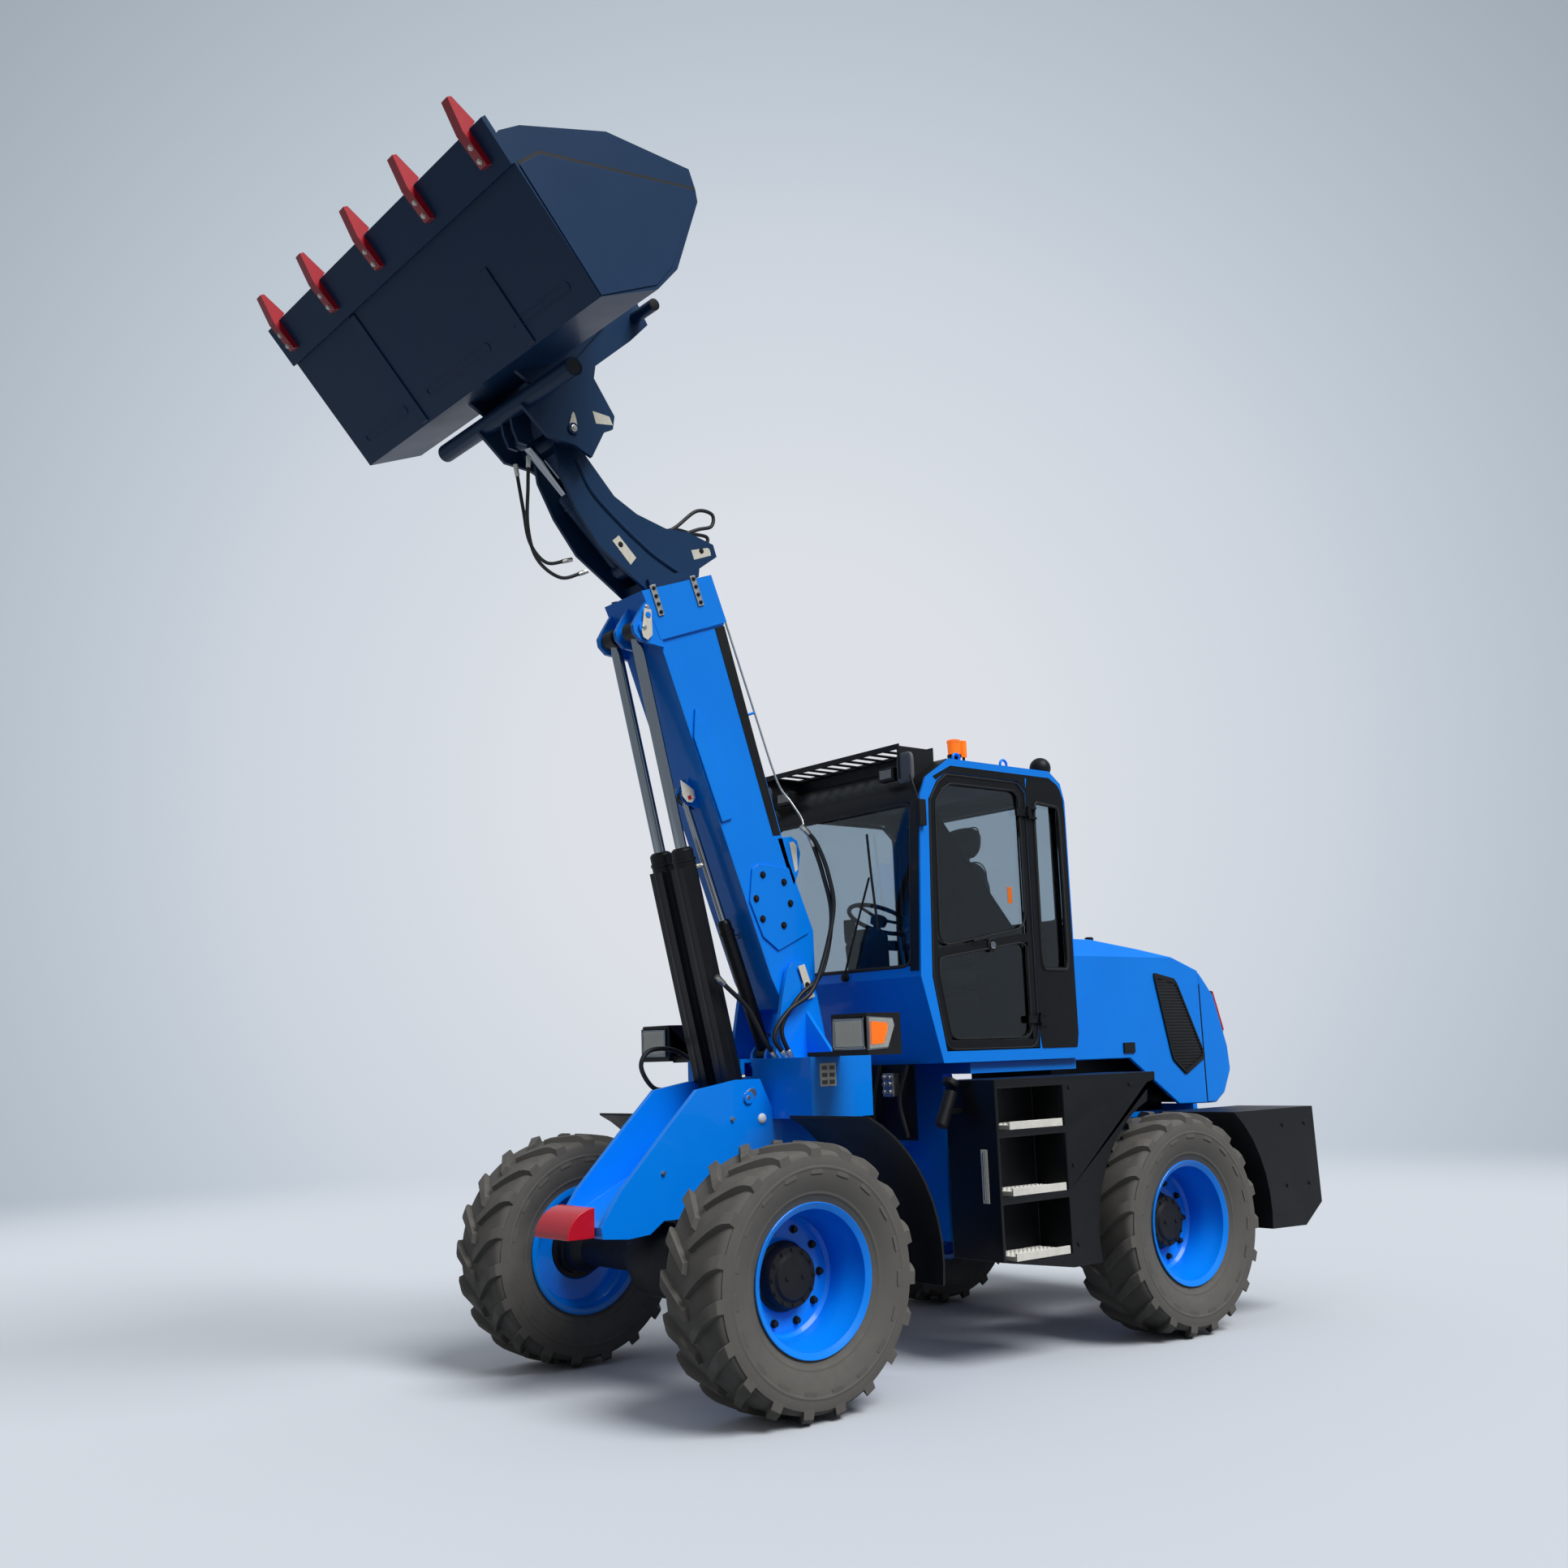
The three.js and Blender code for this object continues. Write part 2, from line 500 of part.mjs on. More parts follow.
// ---------------------------------------------------------------- cab
const CAB_SIDE = [
  [70, CAB_FLOOR], [205, 1930], [150, 2880], [100, 2980], [-80, ROOF_TOP], [-880, ROOF_TOP], [-970, 3030],
  [-1000, 2930], [-1000, CAB_FLOOR],
];
const DOOR_SIDE = [
  [DOOR_REAR + DOOR_GAP, 1550], [38, 1550], [118, 1930], [84, 2860], [20, 2960], [-50, 3010],
  [DOOR_REAR + DOOR_GAP + 60, 3010], [DOOR_REAR + DOOR_GAP, 2950],
];

/** Outline shrunk toward its middle by a border width, for a frame of even width. */
function inset(points, border) {
  const ring = points.map(([x, z]) => new THREE.Vector2(x, z));
  const sense = Math.sign(THREE.ShapeUtils.area(ring));
  return ring.map((p, i) => {
    const before = ring[(i + ring.length - 1) % ring.length];
    const after = ring[(i + 1) % ring.length];
    const inward = (a, b) => new THREE.Vector2(-(b.y - a.y), b.x - a.x).normalize().multiplyScalar(sense);
    const n1 = inward(before, p);
    const n2 = inward(p, after);
    const bisector = n1.clone().add(n2).normalize();
    return p.clone().add(bisector.multiplyScalar(border / bisector.dot(n1)));
  });
}

function makeCab() {
  const outside = plate(CAB_SIDE, -CAB_HALF, CAB_HALF);
  const room = plate(inset(CAB_SIDE, CAB_WALL), -CAB_HALF + CAB_WALL, CAB_HALF - CAB_WALL);
  const doorway = plate(inset(DOOR_SIDE, -DOOR_GAP), CAB_HALF - CAB_WALL - 20, CAB_HALF + 10);
  const frontHalf = CAB_HALF - 75;
  const [frontLow, frontHigh] = [1985, 2850];
  const frontGlass = block(-60, 260, -frontHalf, frontHalf, frontLow, frontHigh);
  const rearHalf = CAB_HALF - 90;
  const [rearLow, rearHigh] = [2250, 2950];
  const rearGlass = block(-1060, -900, -rearHalf, rearHalf, rearLow, rearHigh);
  const quarter = [[-715, 1960], [-945, 1960], [-945, 2900], [-720, 2920]];
  const quarterHole = plate(quarter, CAB_HALF - CAB_WALL - 20, CAB_HALF + 10);
  const farSide = [[-945, 1960], [70, 1960], [100, 2060], [60, 2840], [-100, 2960], [-850, 2960],
    [-945, 2880]];
  const farHole = plate(farSide, -CAB_HALF - 10, -CAB_HALF + CAB_WALL + 20);
  const shell = cut(outside, room, doorway, frontGlass, rearGlass, quarterHole, farHole);
  piece("cab_shell", join(shell, ...HINGE_HEIGHTS.map((height) => doorHinge(height).cabSide)), "blue");

  const pane = (outline, y0, y1) => plate(inset(outline, GAP), y0, y1);
  const paneY = CAB_HALF - CAB_WALL / 2;
  piece("quarter_glass", pane(quarter, paneY - GLASS, paneY), "glass");
  piece("side_glass_right", pane(farSide, -paneY, -paneY + GLASS), "glass");
  const [sill, eaves] = [CAB_SIDE[1], CAB_SIDE[2]];
  const rake = (z) => sill[0] - 18 - ((z - sill[1]) * (sill[0] - eaves[0])) / (eaves[1] - sill[1]);
  const [low, high] = [frontLow + GAP, frontHigh - GAP];
  piece("windshield_glass", plate([[rake(low), low], [rake(high), high], [rake(high) - GLASS, high],
    [rake(low) - GLASS, low]], -frontHalf + GAP, frontHalf - GAP), "glass");
  piece("rear_glass", block(-985, -985 + GLASS, -rearHalf + GAP, rearHalf - GAP, rearLow + GAP,
    rearHigh - GAP), "glass");
}

const WAIST = 2180; // height of the door's cross bar at its hinge edge
const WAIST_DROP = 120; // fall of the cross bar toward the front
const WAIST_BAR = 50;
const DOOR_BORDER = 45;

/** Side outline between two sloping lines that stand above or below the cross bar. */
function doorBand(low, high) {
  const front = 150;
  const rear = DOOR_REAR - 10;
  return [[rear, low], [front, low - WAIST_DROP], [front, high - WAIST_DROP], [rear, high]];
}

/** Hinge at one height: brackets and a pin for the cab, a strap with a bored knuckle for the door. */
function doorHinge(height) {
  const [x, y] = [DOOR_REAR, HINGE_Y];
  const post = (radius, half, sides) => bar(new THREE.Vector3(x, y, height - half),
    new THREE.Vector3(x, y, height + half), radius, sides);
  const brackets = [[22, 34], [-34, -22]].map(([low, high]) => join(
    block(x - 60, x + 6, CAB_HALF + 1, y + 8, height + low, height + high),
    block(x - 60, x - 20, CAB_HALF - 5, CAB_HALF + 2, height + low, height + high),
  ));
  const strap = block(x + 8, x + 90, CAB_HALF - 4, y - 4, height - 20, height + 20);
  const knuckle = cut(post(13, 20, 16), post(HINGE_PIN + PIN_SLACK, 25, BORE_SIDES));
  return { cabSide: join(...brackets, post(HINGE_PIN, 34, 12)), doorSide: join(strap, knuckle) };
}

function makeDoor() {
  const [y0, y1] = [CAB_HALF - 38, CAB_HALF - 2];
  const leaf = plate(DOOR_SIDE, y0, y1);
  const waistBar = plate(doorBand(WAIST - WAIST_BAR, WAIST), y0, y1).intersect(leaf);
  const opening = plate(inset(DOOR_SIDE, DOOR_BORDER), y0 - 5, y1 + 5);
  const straps = HINGE_HEIGHTS.map((height) => doorHinge(height).doorSide);
  piece("cab_door", join(cut(leaf, opening), waistBar, ...straps), "black");
  const sheet = plate(inset(DOOR_SIDE, DOOR_BORDER + GAP), y0 + 14, y0 + 14 + GLASS);
  const upper = plate(doorBand(WAIST + GAP, WAIST + 1200), y0 - 5, y1 + 5);
  const lower = plate(doorBand(WAIST - 1200, WAIST - WAIST_BAR - GAP), y0 - 5, y1 + 5);
  piece("door_glass_upper", sheet.intersect(upper), "glass");
  piece("door_glass_lower", sheet.intersect(lower), "glass");
}

/** Slatted guard over the windshield, carried by the front edge of the roof. */
function makeRoofGuard() {
  const half = 575;
  const pitch = 105;
  const slat = 30;
  const low = 3150;
  const high = low + 8;
  const sheet = block(-70, 190, -half, half, low, high);
  const slots = Array.from({ length: 10 }, (_, i) => {
    const start = -half + 65 + i * pitch;
    return block(-45, 165, start, start + pitch - slat, low - 5, high + 5);
  });
  const lips = [-70, 182].map((x) => block(x, x + 8, -half, half, low - 10, high + 12));
  const sides = [1, -1].map((s) => plate([[-70, 3080], [60, 3000], [90, 2975], [190, 2980], [190, high],
    [-70, high]], ...span(s, half - 15, half)));
  const cab = plate(inset(CAB_SIDE, -GAP), -CAB_HALF, CAB_HALF);
  piece("roof_guard", cut(join(cut(sheet, ...slots), ...lips, ...sides), cab), "black");
}

function makeSeat() {
  const base = block(-760, -420, -200, 200, CAB_FLOOR + CAB_WALL + GAP, 1900);
  const cushion = block(-800, -300, -245, 245, 1900, 2020);
  const back = plate([[-800, 2020], [-690, 2020], [-790, 2640], [-880, 2640]], -235, 235);
  const rest = block(-890, -800, -140, 140, 2640, 2860);
  piece("seat", join(base, cushion, back, rest), "vinyl");
}

function makeSteering() {
  const floor = CAB_FLOOR + CAB_WALL + GAP;
  const column = plate([[-150, floor], [-20, floor], [40, 2150], [-60, 2250], [-130, 2200]], -110, 110);
  const wheel = new THREE.CylinderGeometry(190, 190, 30, 24).rotateX(Math.PI / 2)
    .rotateY(THREE.MathUtils.degToRad(-25)).translate(-150, 0, 2290);
  const post = bar(new THREE.Vector3(-100, 0, 2180), new THREE.Vector3(-150, 0, 2290), 25, 12);
  piece("steering_console", join(column, post, solid(wheel)), "vinyl");
}

// ---------------------------------------------------------------- boom
const LIFT_PIN_HALF = 184;
const LIFT_SIZES = { bore: LIFT_BORE, rod: LIFT_ROD, barrel: LIFT_BARREL, eye: 56, eyeHalf: 52,
  pinFoot: PIN_RADIUS, headEye: 50, headHalf: 44, pinHead: PIN_RADIUS };
const LEVEL_SIZES = { bore: LEVEL_BORE, rod: LEVEL_ROD, barrel: LEVEL_BARREL, eye: 40, eyeHalf: 37,
  pinFoot: 20, headEye: 32, headHalf: 20, pinHead: 18 };
const TILT_SIZES = { bore: TILT_BORE, rod: TILT_ROD, barrel: TILT_BARREL, eye: 50, eyeHalf: 45,
  pinFoot: 26, headEye: 42, headHalf: 30, pinHead: 22 };

function makeBoom() {
  const outline = [onBoom(-60, -150), onBoom(110, -174), onBoom(1945, -211), onBoom(1945, 223),
    onBoom(640, 168), onBoom(250, 187), onBoom(60, 120), onBoom(-90, 60), onBoom(-120, -40)];
  const belly = -211 + BOOM_WALL;
  const hollow = [onBoom(150, -174 + BOOM_WALL), onBoom(1950, belly), onBoom(2300, belly), onBoom(2300, 211),
    onBoom(1950, 211), onBoom(640, 156), onBoom(260, 172), onBoom(180, 130)];
  const shell = plate(outline, -BOOM_HALF, BOOM_HALF);
  const collar = plate([onBoom(1940, -211), onBoom(2205, -235), onBoom(BOOM_REACH, 234), onBoom(1945, 240)],
    -BOOM_HALF - 14, BOOM_HALF + 14);
  const ear = [onBoom(1900, -205), onBoom(1962, -330), onBoom(2010, -356), onBoom(2050, -350),
    onBoom(2085, -310), onBoom(2150, -229), onBoom(2150, -200), onBoom(1900, -200)];
  const ears = [[146, 172], [-13, 13], [-172, -146]].map(([y0, y1]) => plate(ear, y0, y1));
  const eyeNear = LIFT_SPREAD - LIFT_SIZES.headHalf - CLEAR;
  const eyeFar = LIFT_SPREAD + LIFT_SIZES.headHalf + CLEAR;
  const headPins = openPin(LIFT_HEAD, PIN_RADIUS, [-eyeFar, -eyeNear, eyeNear, eyeFar], LIFT_PIN_HALF);
  const levelEar = [onBoom(1050, -185), onBoom(1100, -262), onBoom(1125, -280), onBoom(1150, -280),
    onBoom(1172, -262), onBoom(1230, -190)];
  const levelEars = [1, -1].map((s) => plate(levelEar, ...span(s, 22, 31)));
  const levelPins = openPin(LEVEL_HEAD, LEVEL_SIZES.pinHead, [-22, 22], 34);
  const slot = plate([onBoom(1075, -260), onBoom(1075, -150), onBoom(1200, -150), onBoom(1200, -260)],
    -22, 22);
  const padBlock = plate([onBoom(2060, -205), onBoom(2180, -205), onBoom(2180, 205), onBoom(2060, 205)],
    -BOOM_HALF + 5, BOOM_HALF - 5);
  const padMouth = plate([onBoom(2050, -JIB_DROP - GAP), onBoom(2190, -JIB_DROP - GAP),
    onBoom(2190, JIB_RISE + GAP), onBoom(2050, JIB_RISE + GAP)], -JIB_WIDE - GAP, JIB_WIDE + GAP);
  const foot = crossBar(BOOM_PIVOT, BOOM_PIN + PIN_SLACK, -BOOM_HALF - 5, BOOM_HALF + 5, BORE_SIDES);
  const room = plate(hollow, -BOOM_HALF + BOOM_WALL, BOOM_HALF - BOOM_WALL);
  const tube = cut(join(shell, collar), room, foot, slot);
  const pads = cut(padBlock, padMouth);
  piece("boom", join(tube, pads, ...ears, ...headPins, ...levelEars, ...levelPins), "blue");
}

function makeJib() {
  const [low, high, wide] = [-JIB_DROP, JIB_RISE, JIB_WIDE];
  const [lowIn, highIn, wideIn] = [low + JIB_WALL, high - JIB_WALL, wide - JIB_WALL];
  const length = (y0, y1, from, to) => [onBoom(from, y0), onBoom(to, y0), onBoom(to, y1), onBoom(from, y1)];
  const tube = cut(
    plate(length(low, high, JIB_TAIL, 2260), -wide, wide),
    plate(length(lowIn, highIn, JIB_TAIL - 5, 2245), -wideIn, wideIn),
  );
  const head = [onBoom(2215, -158), onBoom(2484, -359), onBoom(2689, -426), onBoom(2883, -455),
    onBoom(3000, -435), onBoom(3105, -400), onBoom(3110, -350), onBoom(3040, -310), onBoom(2920, -262),
    onBoom(2712, -173), onBoom(2601, -68), onBoom(2500, 85), onBoom(2460, 217), onBoom(2365, 362),
    onBoom(2298, 360), onBoom(2258, 223), onBoom(2215, 200)];
  const sides = [1, -1].map((s) => plate(head, ...span(s, JIB_HALF - 20, JIB_HALF)));
  const back = plate([onBoom(2920, -262), onBoom(2712, -173), onBoom(2601, -68), onBoom(2500, 85),
    onBoom(2460, 217), onBoom(2365, 362), onBoom(2298, 360), onBoom(2310, 345), onBoom(2355, 345),
    onBoom(2445, 205), onBoom(2485, 78), onBoom(2588, -80), onBoom(2702, -188), onBoom(2912, -277)],
  -JIB_HALF + 15, JIB_HALF - 15);
  const floor = plate([onBoom(2215, 200), onBoom(2215, 120), onBoom(2240, 120), onBoom(2240, 200)],
    -JIB_HALF + 15, JIB_HALF - 15);
  const pin = crossBar(BUCKET_PIVOT, PIN_RADIUS, -COUPLER_HALF - COUPLER_PLATE - 10,
    COUPLER_HALF + COUPLER_PLATE + 10);
  const boss = crossBar(BUCKET_PIVOT, 55, -COUPLER_HALF + CLEAR, COUPLER_HALF - CLEAR);
  const footPin = crossBar(TILT_FOOT, 26, -JIB_HALF + 10, JIB_HALF - 10, 12);
  piece("boom_jib", join(tube, ...sides, back, floor, pin, boss, footPin), "navy");
}

// ---------------------------------------------------------------- cylinders
/** Barrel with a bored eye, and a rod whose eye is filled by its own stretch of pin. */
function makeCylinder(name, foot, head, y, sizes) {
  const axis = new THREE.Vector2().subVectors(head, foot);
  const length = axis.length();
  axis.normalize();
  const along = (distance) => at(foot.clone().addScaledVector(axis, distance), y);
  const footBore = crossBar(foot, sizes.pinFoot + PIN_SLACK, y - 200, y + 200, BORE_SIDES);
  const skin = 9;
  const gland = 50;
  const tube = join(
    bar(along(sizes.eye * 0.6), along(sizes.barrel), sizes.bore, 16),
    crossBar(foot, sizes.eye, y - sizes.eyeHalf, y + sizes.eyeHalf),
  );
  const barrel = cut(
    tube,
    bar(along(sizes.eye + 30), along(sizes.barrel - gland + 10), sizes.bore - skin, 12),
    bar(along(sizes.barrel - gland), along(sizes.barrel + 5), sizes.rod + ROD_SLACK),
    footBore,
  );
  piece(`${name}_barrel`, barrel, "black");
  const rodStart = Math.max(sizes.barrel - 120, sizes.eye + 60);
  const rod = join(
    bar(along(rodStart), along(length - sizes.headEye * 0.6), sizes.rod),
    crossBar(head, sizes.headEye, y - sizes.headHalf, y + sizes.headHalf),
  );
  piece(`${name}_rod`, rod, "chrome");
}


// ---------------------------------------------------------------- coupler and bucket
function makeCoupler() {
  const side = [[1584, 5445], [1510, 5323], [1619, 5204], [1833, 5009], [1843, 4940], [1723, 4766],
    [1734, 4694], [1785, 4668], [1859, 4518], [1960, 4560], [2110, 4570], [2260, 4700], [2200, 4790],
    [2060, 4930], [1960, 5060], [1800, 5220]];
  const plates = [1, -1].map((s) => plate(side, ...span(s, COUPLER_HALF, COUPLER_HALF + COUPLER_PLATE)));
  const tubePoint = new THREE.Vector2(2219, 4743);
  const tube = crossBar(tubePoint, COUPLER_TUBE, -COUPLER_TUBE_HALF, COUPLER_TUBE_HALF, 16);
  const topTube = crossBar(new THREE.Vector2(1590, 5340), 32, -COUPLER_HALF - 200, COUPLER_HALF + 200, 12);
  const web = plate([[1840, 5110], [1870, 5090], [2160, 4770], [2120, 4770]], -COUPLER_HALF - 5,
    COUPLER_HALF + 5);
  const ear = [[2230, 4740], [2160, 4810], [2120, 4760], [2100, 4620], [2130, 4575], [2180, 4580],
    [2210, 4640]];
  const ears = [1, -1].map((s) => plate(ear, ...span(s, 36, 56)));
  const tiltPins = openPin(TILT_HEAD, TILT_SIZES.pinHead, [-36, 36], 62);
  const hole = crossBar(BUCKET_PIVOT, PIN_RADIUS + PIN_SLACK, -300, 300, BORE_SIDES);
  piece("coupler", join(cut(join(...plates), hole), tube, topTube, web, ...ears, ...tiltPins), "navy");
}

function makeBucket() {
  const profile = [[0, 0], [651, 0], [774, 0], [780, 25], [761, 138], [575, 554], [263, 878], [173, 845],
    [121, 814], [-78, 476], [-104, 309]];
  const outside = plate(profile.map(([u, v]) => onBucket(u, v)), -BUCKET_HALF, BUCKET_HALF);
  const t = BUCKET_SHELL;
  const inner = [[t + 4, t], [900, t], [900, 200], [650, 700], [400, 1000], [268, 1000], [262, 862],
    [182, 834], [130, 802], [-65, 472], [-90, 312]];
  const room = plate(inner.map(([u, v]) => onBucket(u, v)), -BUCKET_HALF + BUCKET_CHEEK,
    BUCKET_HALF - BUCKET_CHEEK);
  const ear = [[2105, 4935], [2300, 4853], [2210, 4805], [2040, 4905], [1905, 5085], [1780, 5250],
    [1930, 5300], [1997, 5065]];
  const earInside = COUPLER_HALF + COUPLER_PLATE + GAP;
  const ears = [1, -1].map((s) => cut(plate(ear, ...span(s, earInside, earInside + 24)),
    plate(inner.map(([u, v]) => onBucket(u, v)), -BUCKET_HALF, BUCKET_HALF)));
  piece("bucket", join(cut(outside, room), ...ears), "navy");
}

function makeCuttingEdge() {
  const lip = plate([[640, -GAP], [852, -GAP], [840, -22], [640, -22]].map(([u, v]) => onBucket(u, v)),
    -BUCKET_HALF, BUCKET_HALF);
  const teeth = Array.from({ length: TOOTH_COUNT }, (_, i) => {
    const y = -TOOTH_SPREAD + (2 * TOOTH_SPREAD * i) / (TOOTH_COUNT - 1);
    return plate([[690, -20], [700, -52], [860, -62], [1005, -30], [1000, -8], [870, 26], [858, 0],
      [858, -20]].map(([u, v]) => onBucket(u, v)), y - 27, y + 27);
  });
  piece("cutting_edge", join(lip, ...teeth), "red");
}

// ---------------------------------------------------------------- hoses and pipes
const HOSE_RADIUS = 12;
const PIPE_RADIUS = 9;

/** Round line along a smooth curve through [x, y, z] points. */
function line(points, radius, steps) {
  const path = new THREE.CatmullRomCurve3(points.map((p) => new THREE.Vector3(...p)));
  const circle = Array.from({ length: 8 }, (_, i) => {
    const turn = (Math.PI * 2 * i) / 8;
    return [radius * Math.cos(turn), radius * Math.sin(turn)];
  });
  return solid(new THREE.ExtrudeGeometry(shapeOf(circle), { steps, extrudePath: path, bevelEnabled: false }));
}

/** Hoses that rise from the tower box and swing clear of the boom. */
function makeHoses() {
  const inner = BOOM_PIN_HALF + HOSE_RADIUS + 2;
  const outer = inner + 2 * HOSE_RADIUS + 4;
  const lift = FRAME_HALF + CLEAR;
  const lamp = -FRAME_HALF - 50;
  const tower = block(400, 830 + GAP, -TOWER_HALF, TOWER_HALF, 1200, TOWER_TOP + GAP);
  const hose = (name, points, steps) => piece(name, cut(line(points, HOSE_RADIUS, steps), tower), "rubber");
  hose("boom_hose_outer", [[755, outer, 1500], [770, outer, 1575], [837, outer, 1650], [741, outer, 1774],
    [555, outer, 1906], [413, outer, 2274], [431, outer, 2481], [508, outer, 2651], [589, outer, 2724]], 40);
  hose("boom_hose_inner", [[700, inner, 1500], [712, inner, 1575], [764, inner, 1690], [640, inner, 1850],
    [478, inner, 1980], [400, inner, 2268], [450, inner, 2500], [521, inner, 2676]], 36);
  hose("lift_hose", [[790, lift, 1500], [812, lift, 1560], [867, lift, 1630], [964, lift, 1786],
    [1100, lift, 1900], [1143, lift, 1936]], 20);
  hose("lamp_hose", [[800, lamp, 1430], [1010, lamp, 1425], [1130, lamp, 1400], [1242, lamp, 1412],
    [1314, lamp, 1517], [1263, lamp, 1597], [1120, lamp, 1600], [960, lamp, 1530], [800, lamp, 1510]], 36);
}

/** Two steel pipes up the boom's back, held by two clamps. */
function makePipes() {
  const rise = (along) => THREE.MathUtils.mapLinear(along, 640, 1945, 168, 223);
  const height = GAP + PIPE_RADIUS + 5;
  const pipes = [30, 60].map((y) => bar(at(onBoom(900, rise(900) + height), y),
    at(onBoom(1900, rise(1900) + height), y), PIPE_RADIUS, 8));
  const clamps = [1000, 1400, 1800].map((along) => plate([onBoom(along, rise(along) + GAP),
    onBoom(along + 40, rise(along + 40) + GAP), onBoom(along + 40, rise(along) + 32),
    onBoom(along, rise(along) + 32)], 12, 78));
  piece("boom_pipes", join(...pipes, ...clamps), "steel");
}

// ---------------------------------------------------------------- build
for (const end of [1, -1]) for (const side of [1, -1]) makeWheel(end, side);
makeAxle("front_axle", 1, FRAME_HALF - FRAME_PLATE, FRAME_HALF + 20, FRAME_BELLY);
makeAxle("rear_axle", -1, 295, 345, 800);
makeFrontFrame();
makeNoseCap();
bothSides((name, side) => makeFrontFender(`front_fender_${name}`, side));
bothSides((name, side) => makeHeadlight(`headlight_${name}`, side));
makeRearFrame();
makeEngine();
makeSideBox("step_box", 1, true);
makeSideBox("tank_box", -1, false);
bothSides((name, side) => makeRearBox(`rear_fender_${name}`, side));
makeCounterweight();
makeHood();
makeCab();
makeDoor();
makeSeat();
makeSteering();
makeRoofGuard();
makeBoom();
makeJib();
makeCylinder("lift_left", LIFT_FOOT, LIFT_HEAD, LIFT_SPREAD, LIFT_SIZES);
makeCylinder("lift_right", LIFT_FOOT, LIFT_HEAD, -LIFT_SPREAD, LIFT_SIZES);
makeCylinder("level", LEVEL_FOOT, LEVEL_HEAD, 0, LEVEL_SIZES);
makeCylinder("tilt", TILT_FOOT, TILT_HEAD, 0, TILT_SIZES);
makeCoupler();
makeBucket();
makeCuttingEdge();
makeHoses();
makePipes();

const whole = new THREE.Box3().setFromObject(group);
group.position.x = -(whole.min.x + whole.max.x) / 2;
group.updateMatrixWorld(true);

export default group;
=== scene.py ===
"""Looks of an articulated wheel loader with a telescopic boom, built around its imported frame."""
import json
import logging
import math
from dataclasses import dataclass, field
from enum import Enum
from typing import Iterable, Sequence

import bmesh
import bpy
import numpy as np
from mathutils import Matrix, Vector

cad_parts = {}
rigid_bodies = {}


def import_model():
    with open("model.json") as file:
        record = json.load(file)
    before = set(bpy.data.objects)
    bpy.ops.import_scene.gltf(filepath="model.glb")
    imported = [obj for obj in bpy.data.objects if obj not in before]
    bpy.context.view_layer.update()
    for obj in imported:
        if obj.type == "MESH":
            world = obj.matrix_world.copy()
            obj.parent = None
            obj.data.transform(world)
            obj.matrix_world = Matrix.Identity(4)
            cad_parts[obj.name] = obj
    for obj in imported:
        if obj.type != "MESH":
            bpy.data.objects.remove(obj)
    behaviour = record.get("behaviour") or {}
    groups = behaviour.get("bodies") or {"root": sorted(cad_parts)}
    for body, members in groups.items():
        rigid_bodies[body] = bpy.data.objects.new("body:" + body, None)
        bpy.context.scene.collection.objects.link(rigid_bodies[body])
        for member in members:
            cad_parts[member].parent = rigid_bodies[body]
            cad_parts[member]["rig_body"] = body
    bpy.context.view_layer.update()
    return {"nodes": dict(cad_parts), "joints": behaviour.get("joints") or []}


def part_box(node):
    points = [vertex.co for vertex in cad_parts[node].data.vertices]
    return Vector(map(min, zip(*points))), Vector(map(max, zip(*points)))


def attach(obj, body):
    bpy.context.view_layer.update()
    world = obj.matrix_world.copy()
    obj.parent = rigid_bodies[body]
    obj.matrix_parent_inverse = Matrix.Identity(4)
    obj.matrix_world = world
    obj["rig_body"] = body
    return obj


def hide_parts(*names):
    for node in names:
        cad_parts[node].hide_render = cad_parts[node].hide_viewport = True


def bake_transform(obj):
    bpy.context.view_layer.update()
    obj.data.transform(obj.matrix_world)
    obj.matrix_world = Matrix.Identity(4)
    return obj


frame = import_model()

LOG = logging.getLogger("wheel_loader")
MM = 0.001

Vector3 = Sequence[float]
Array = np.ndarray
Tree = bpy.types.NodeTree
Socket = bpy.types.NodeSocket


# ---------------------------------------------------------------- places taken from the frame
def joint(name: str) -> dict:
    """Looks a joint up in the frame's record.

    Args:
        name: the joint's name.
    Returns:
        The joint's entry.
    """
    return next(entry for entry in frame["joints"] if entry["name"] == name)


PIVOT_X = joint("articulation")["pos_m"][0]
BOOM_PIVOT = np.array(joint("boom_lift")["pos_m"], float)
BUCKET_PIVOT = np.array(joint("bucket_tilt")["pos_m"], float)
BOOM_AXIS = np.array(joint("boom_extend")["axis"], float)
BOOM_UP = np.array([-BOOM_AXIS[2], 0.0, BOOM_AXIS[0]])
BUCKET_HEEL = BUCKET_PIVOT + np.array([0.436, 0.0, 0.169])
BUCKET_ROLL = math.radians(48.7)
AXLE_HEIGHT = joint("front_left_wheel_spin")["pos_m"][2]
HANDS = {1: "left", -1: "right"}
REAR, FRONT = "rear_frame", "front_frame"
COAT_ROUGHNESS = 0.06
CLEAR_IOR = 1.45
WELD = 1e-6


def spot(x: float, y: float, z: float) -> Array:
    """Point given in metres from the steering pivot's foot on the ground."""
    return np.array([x + PIVOT_X, y, z], float)


def on_boom(along: float, up: float, y: float = 0.0) -> Array:
    """Point given along the boom from its pivot and up from its axis, in metres."""
    return BOOM_PIVOT + along * BOOM_AXIS + up * BOOM_UP + np.array([0.0, y, 0.0])


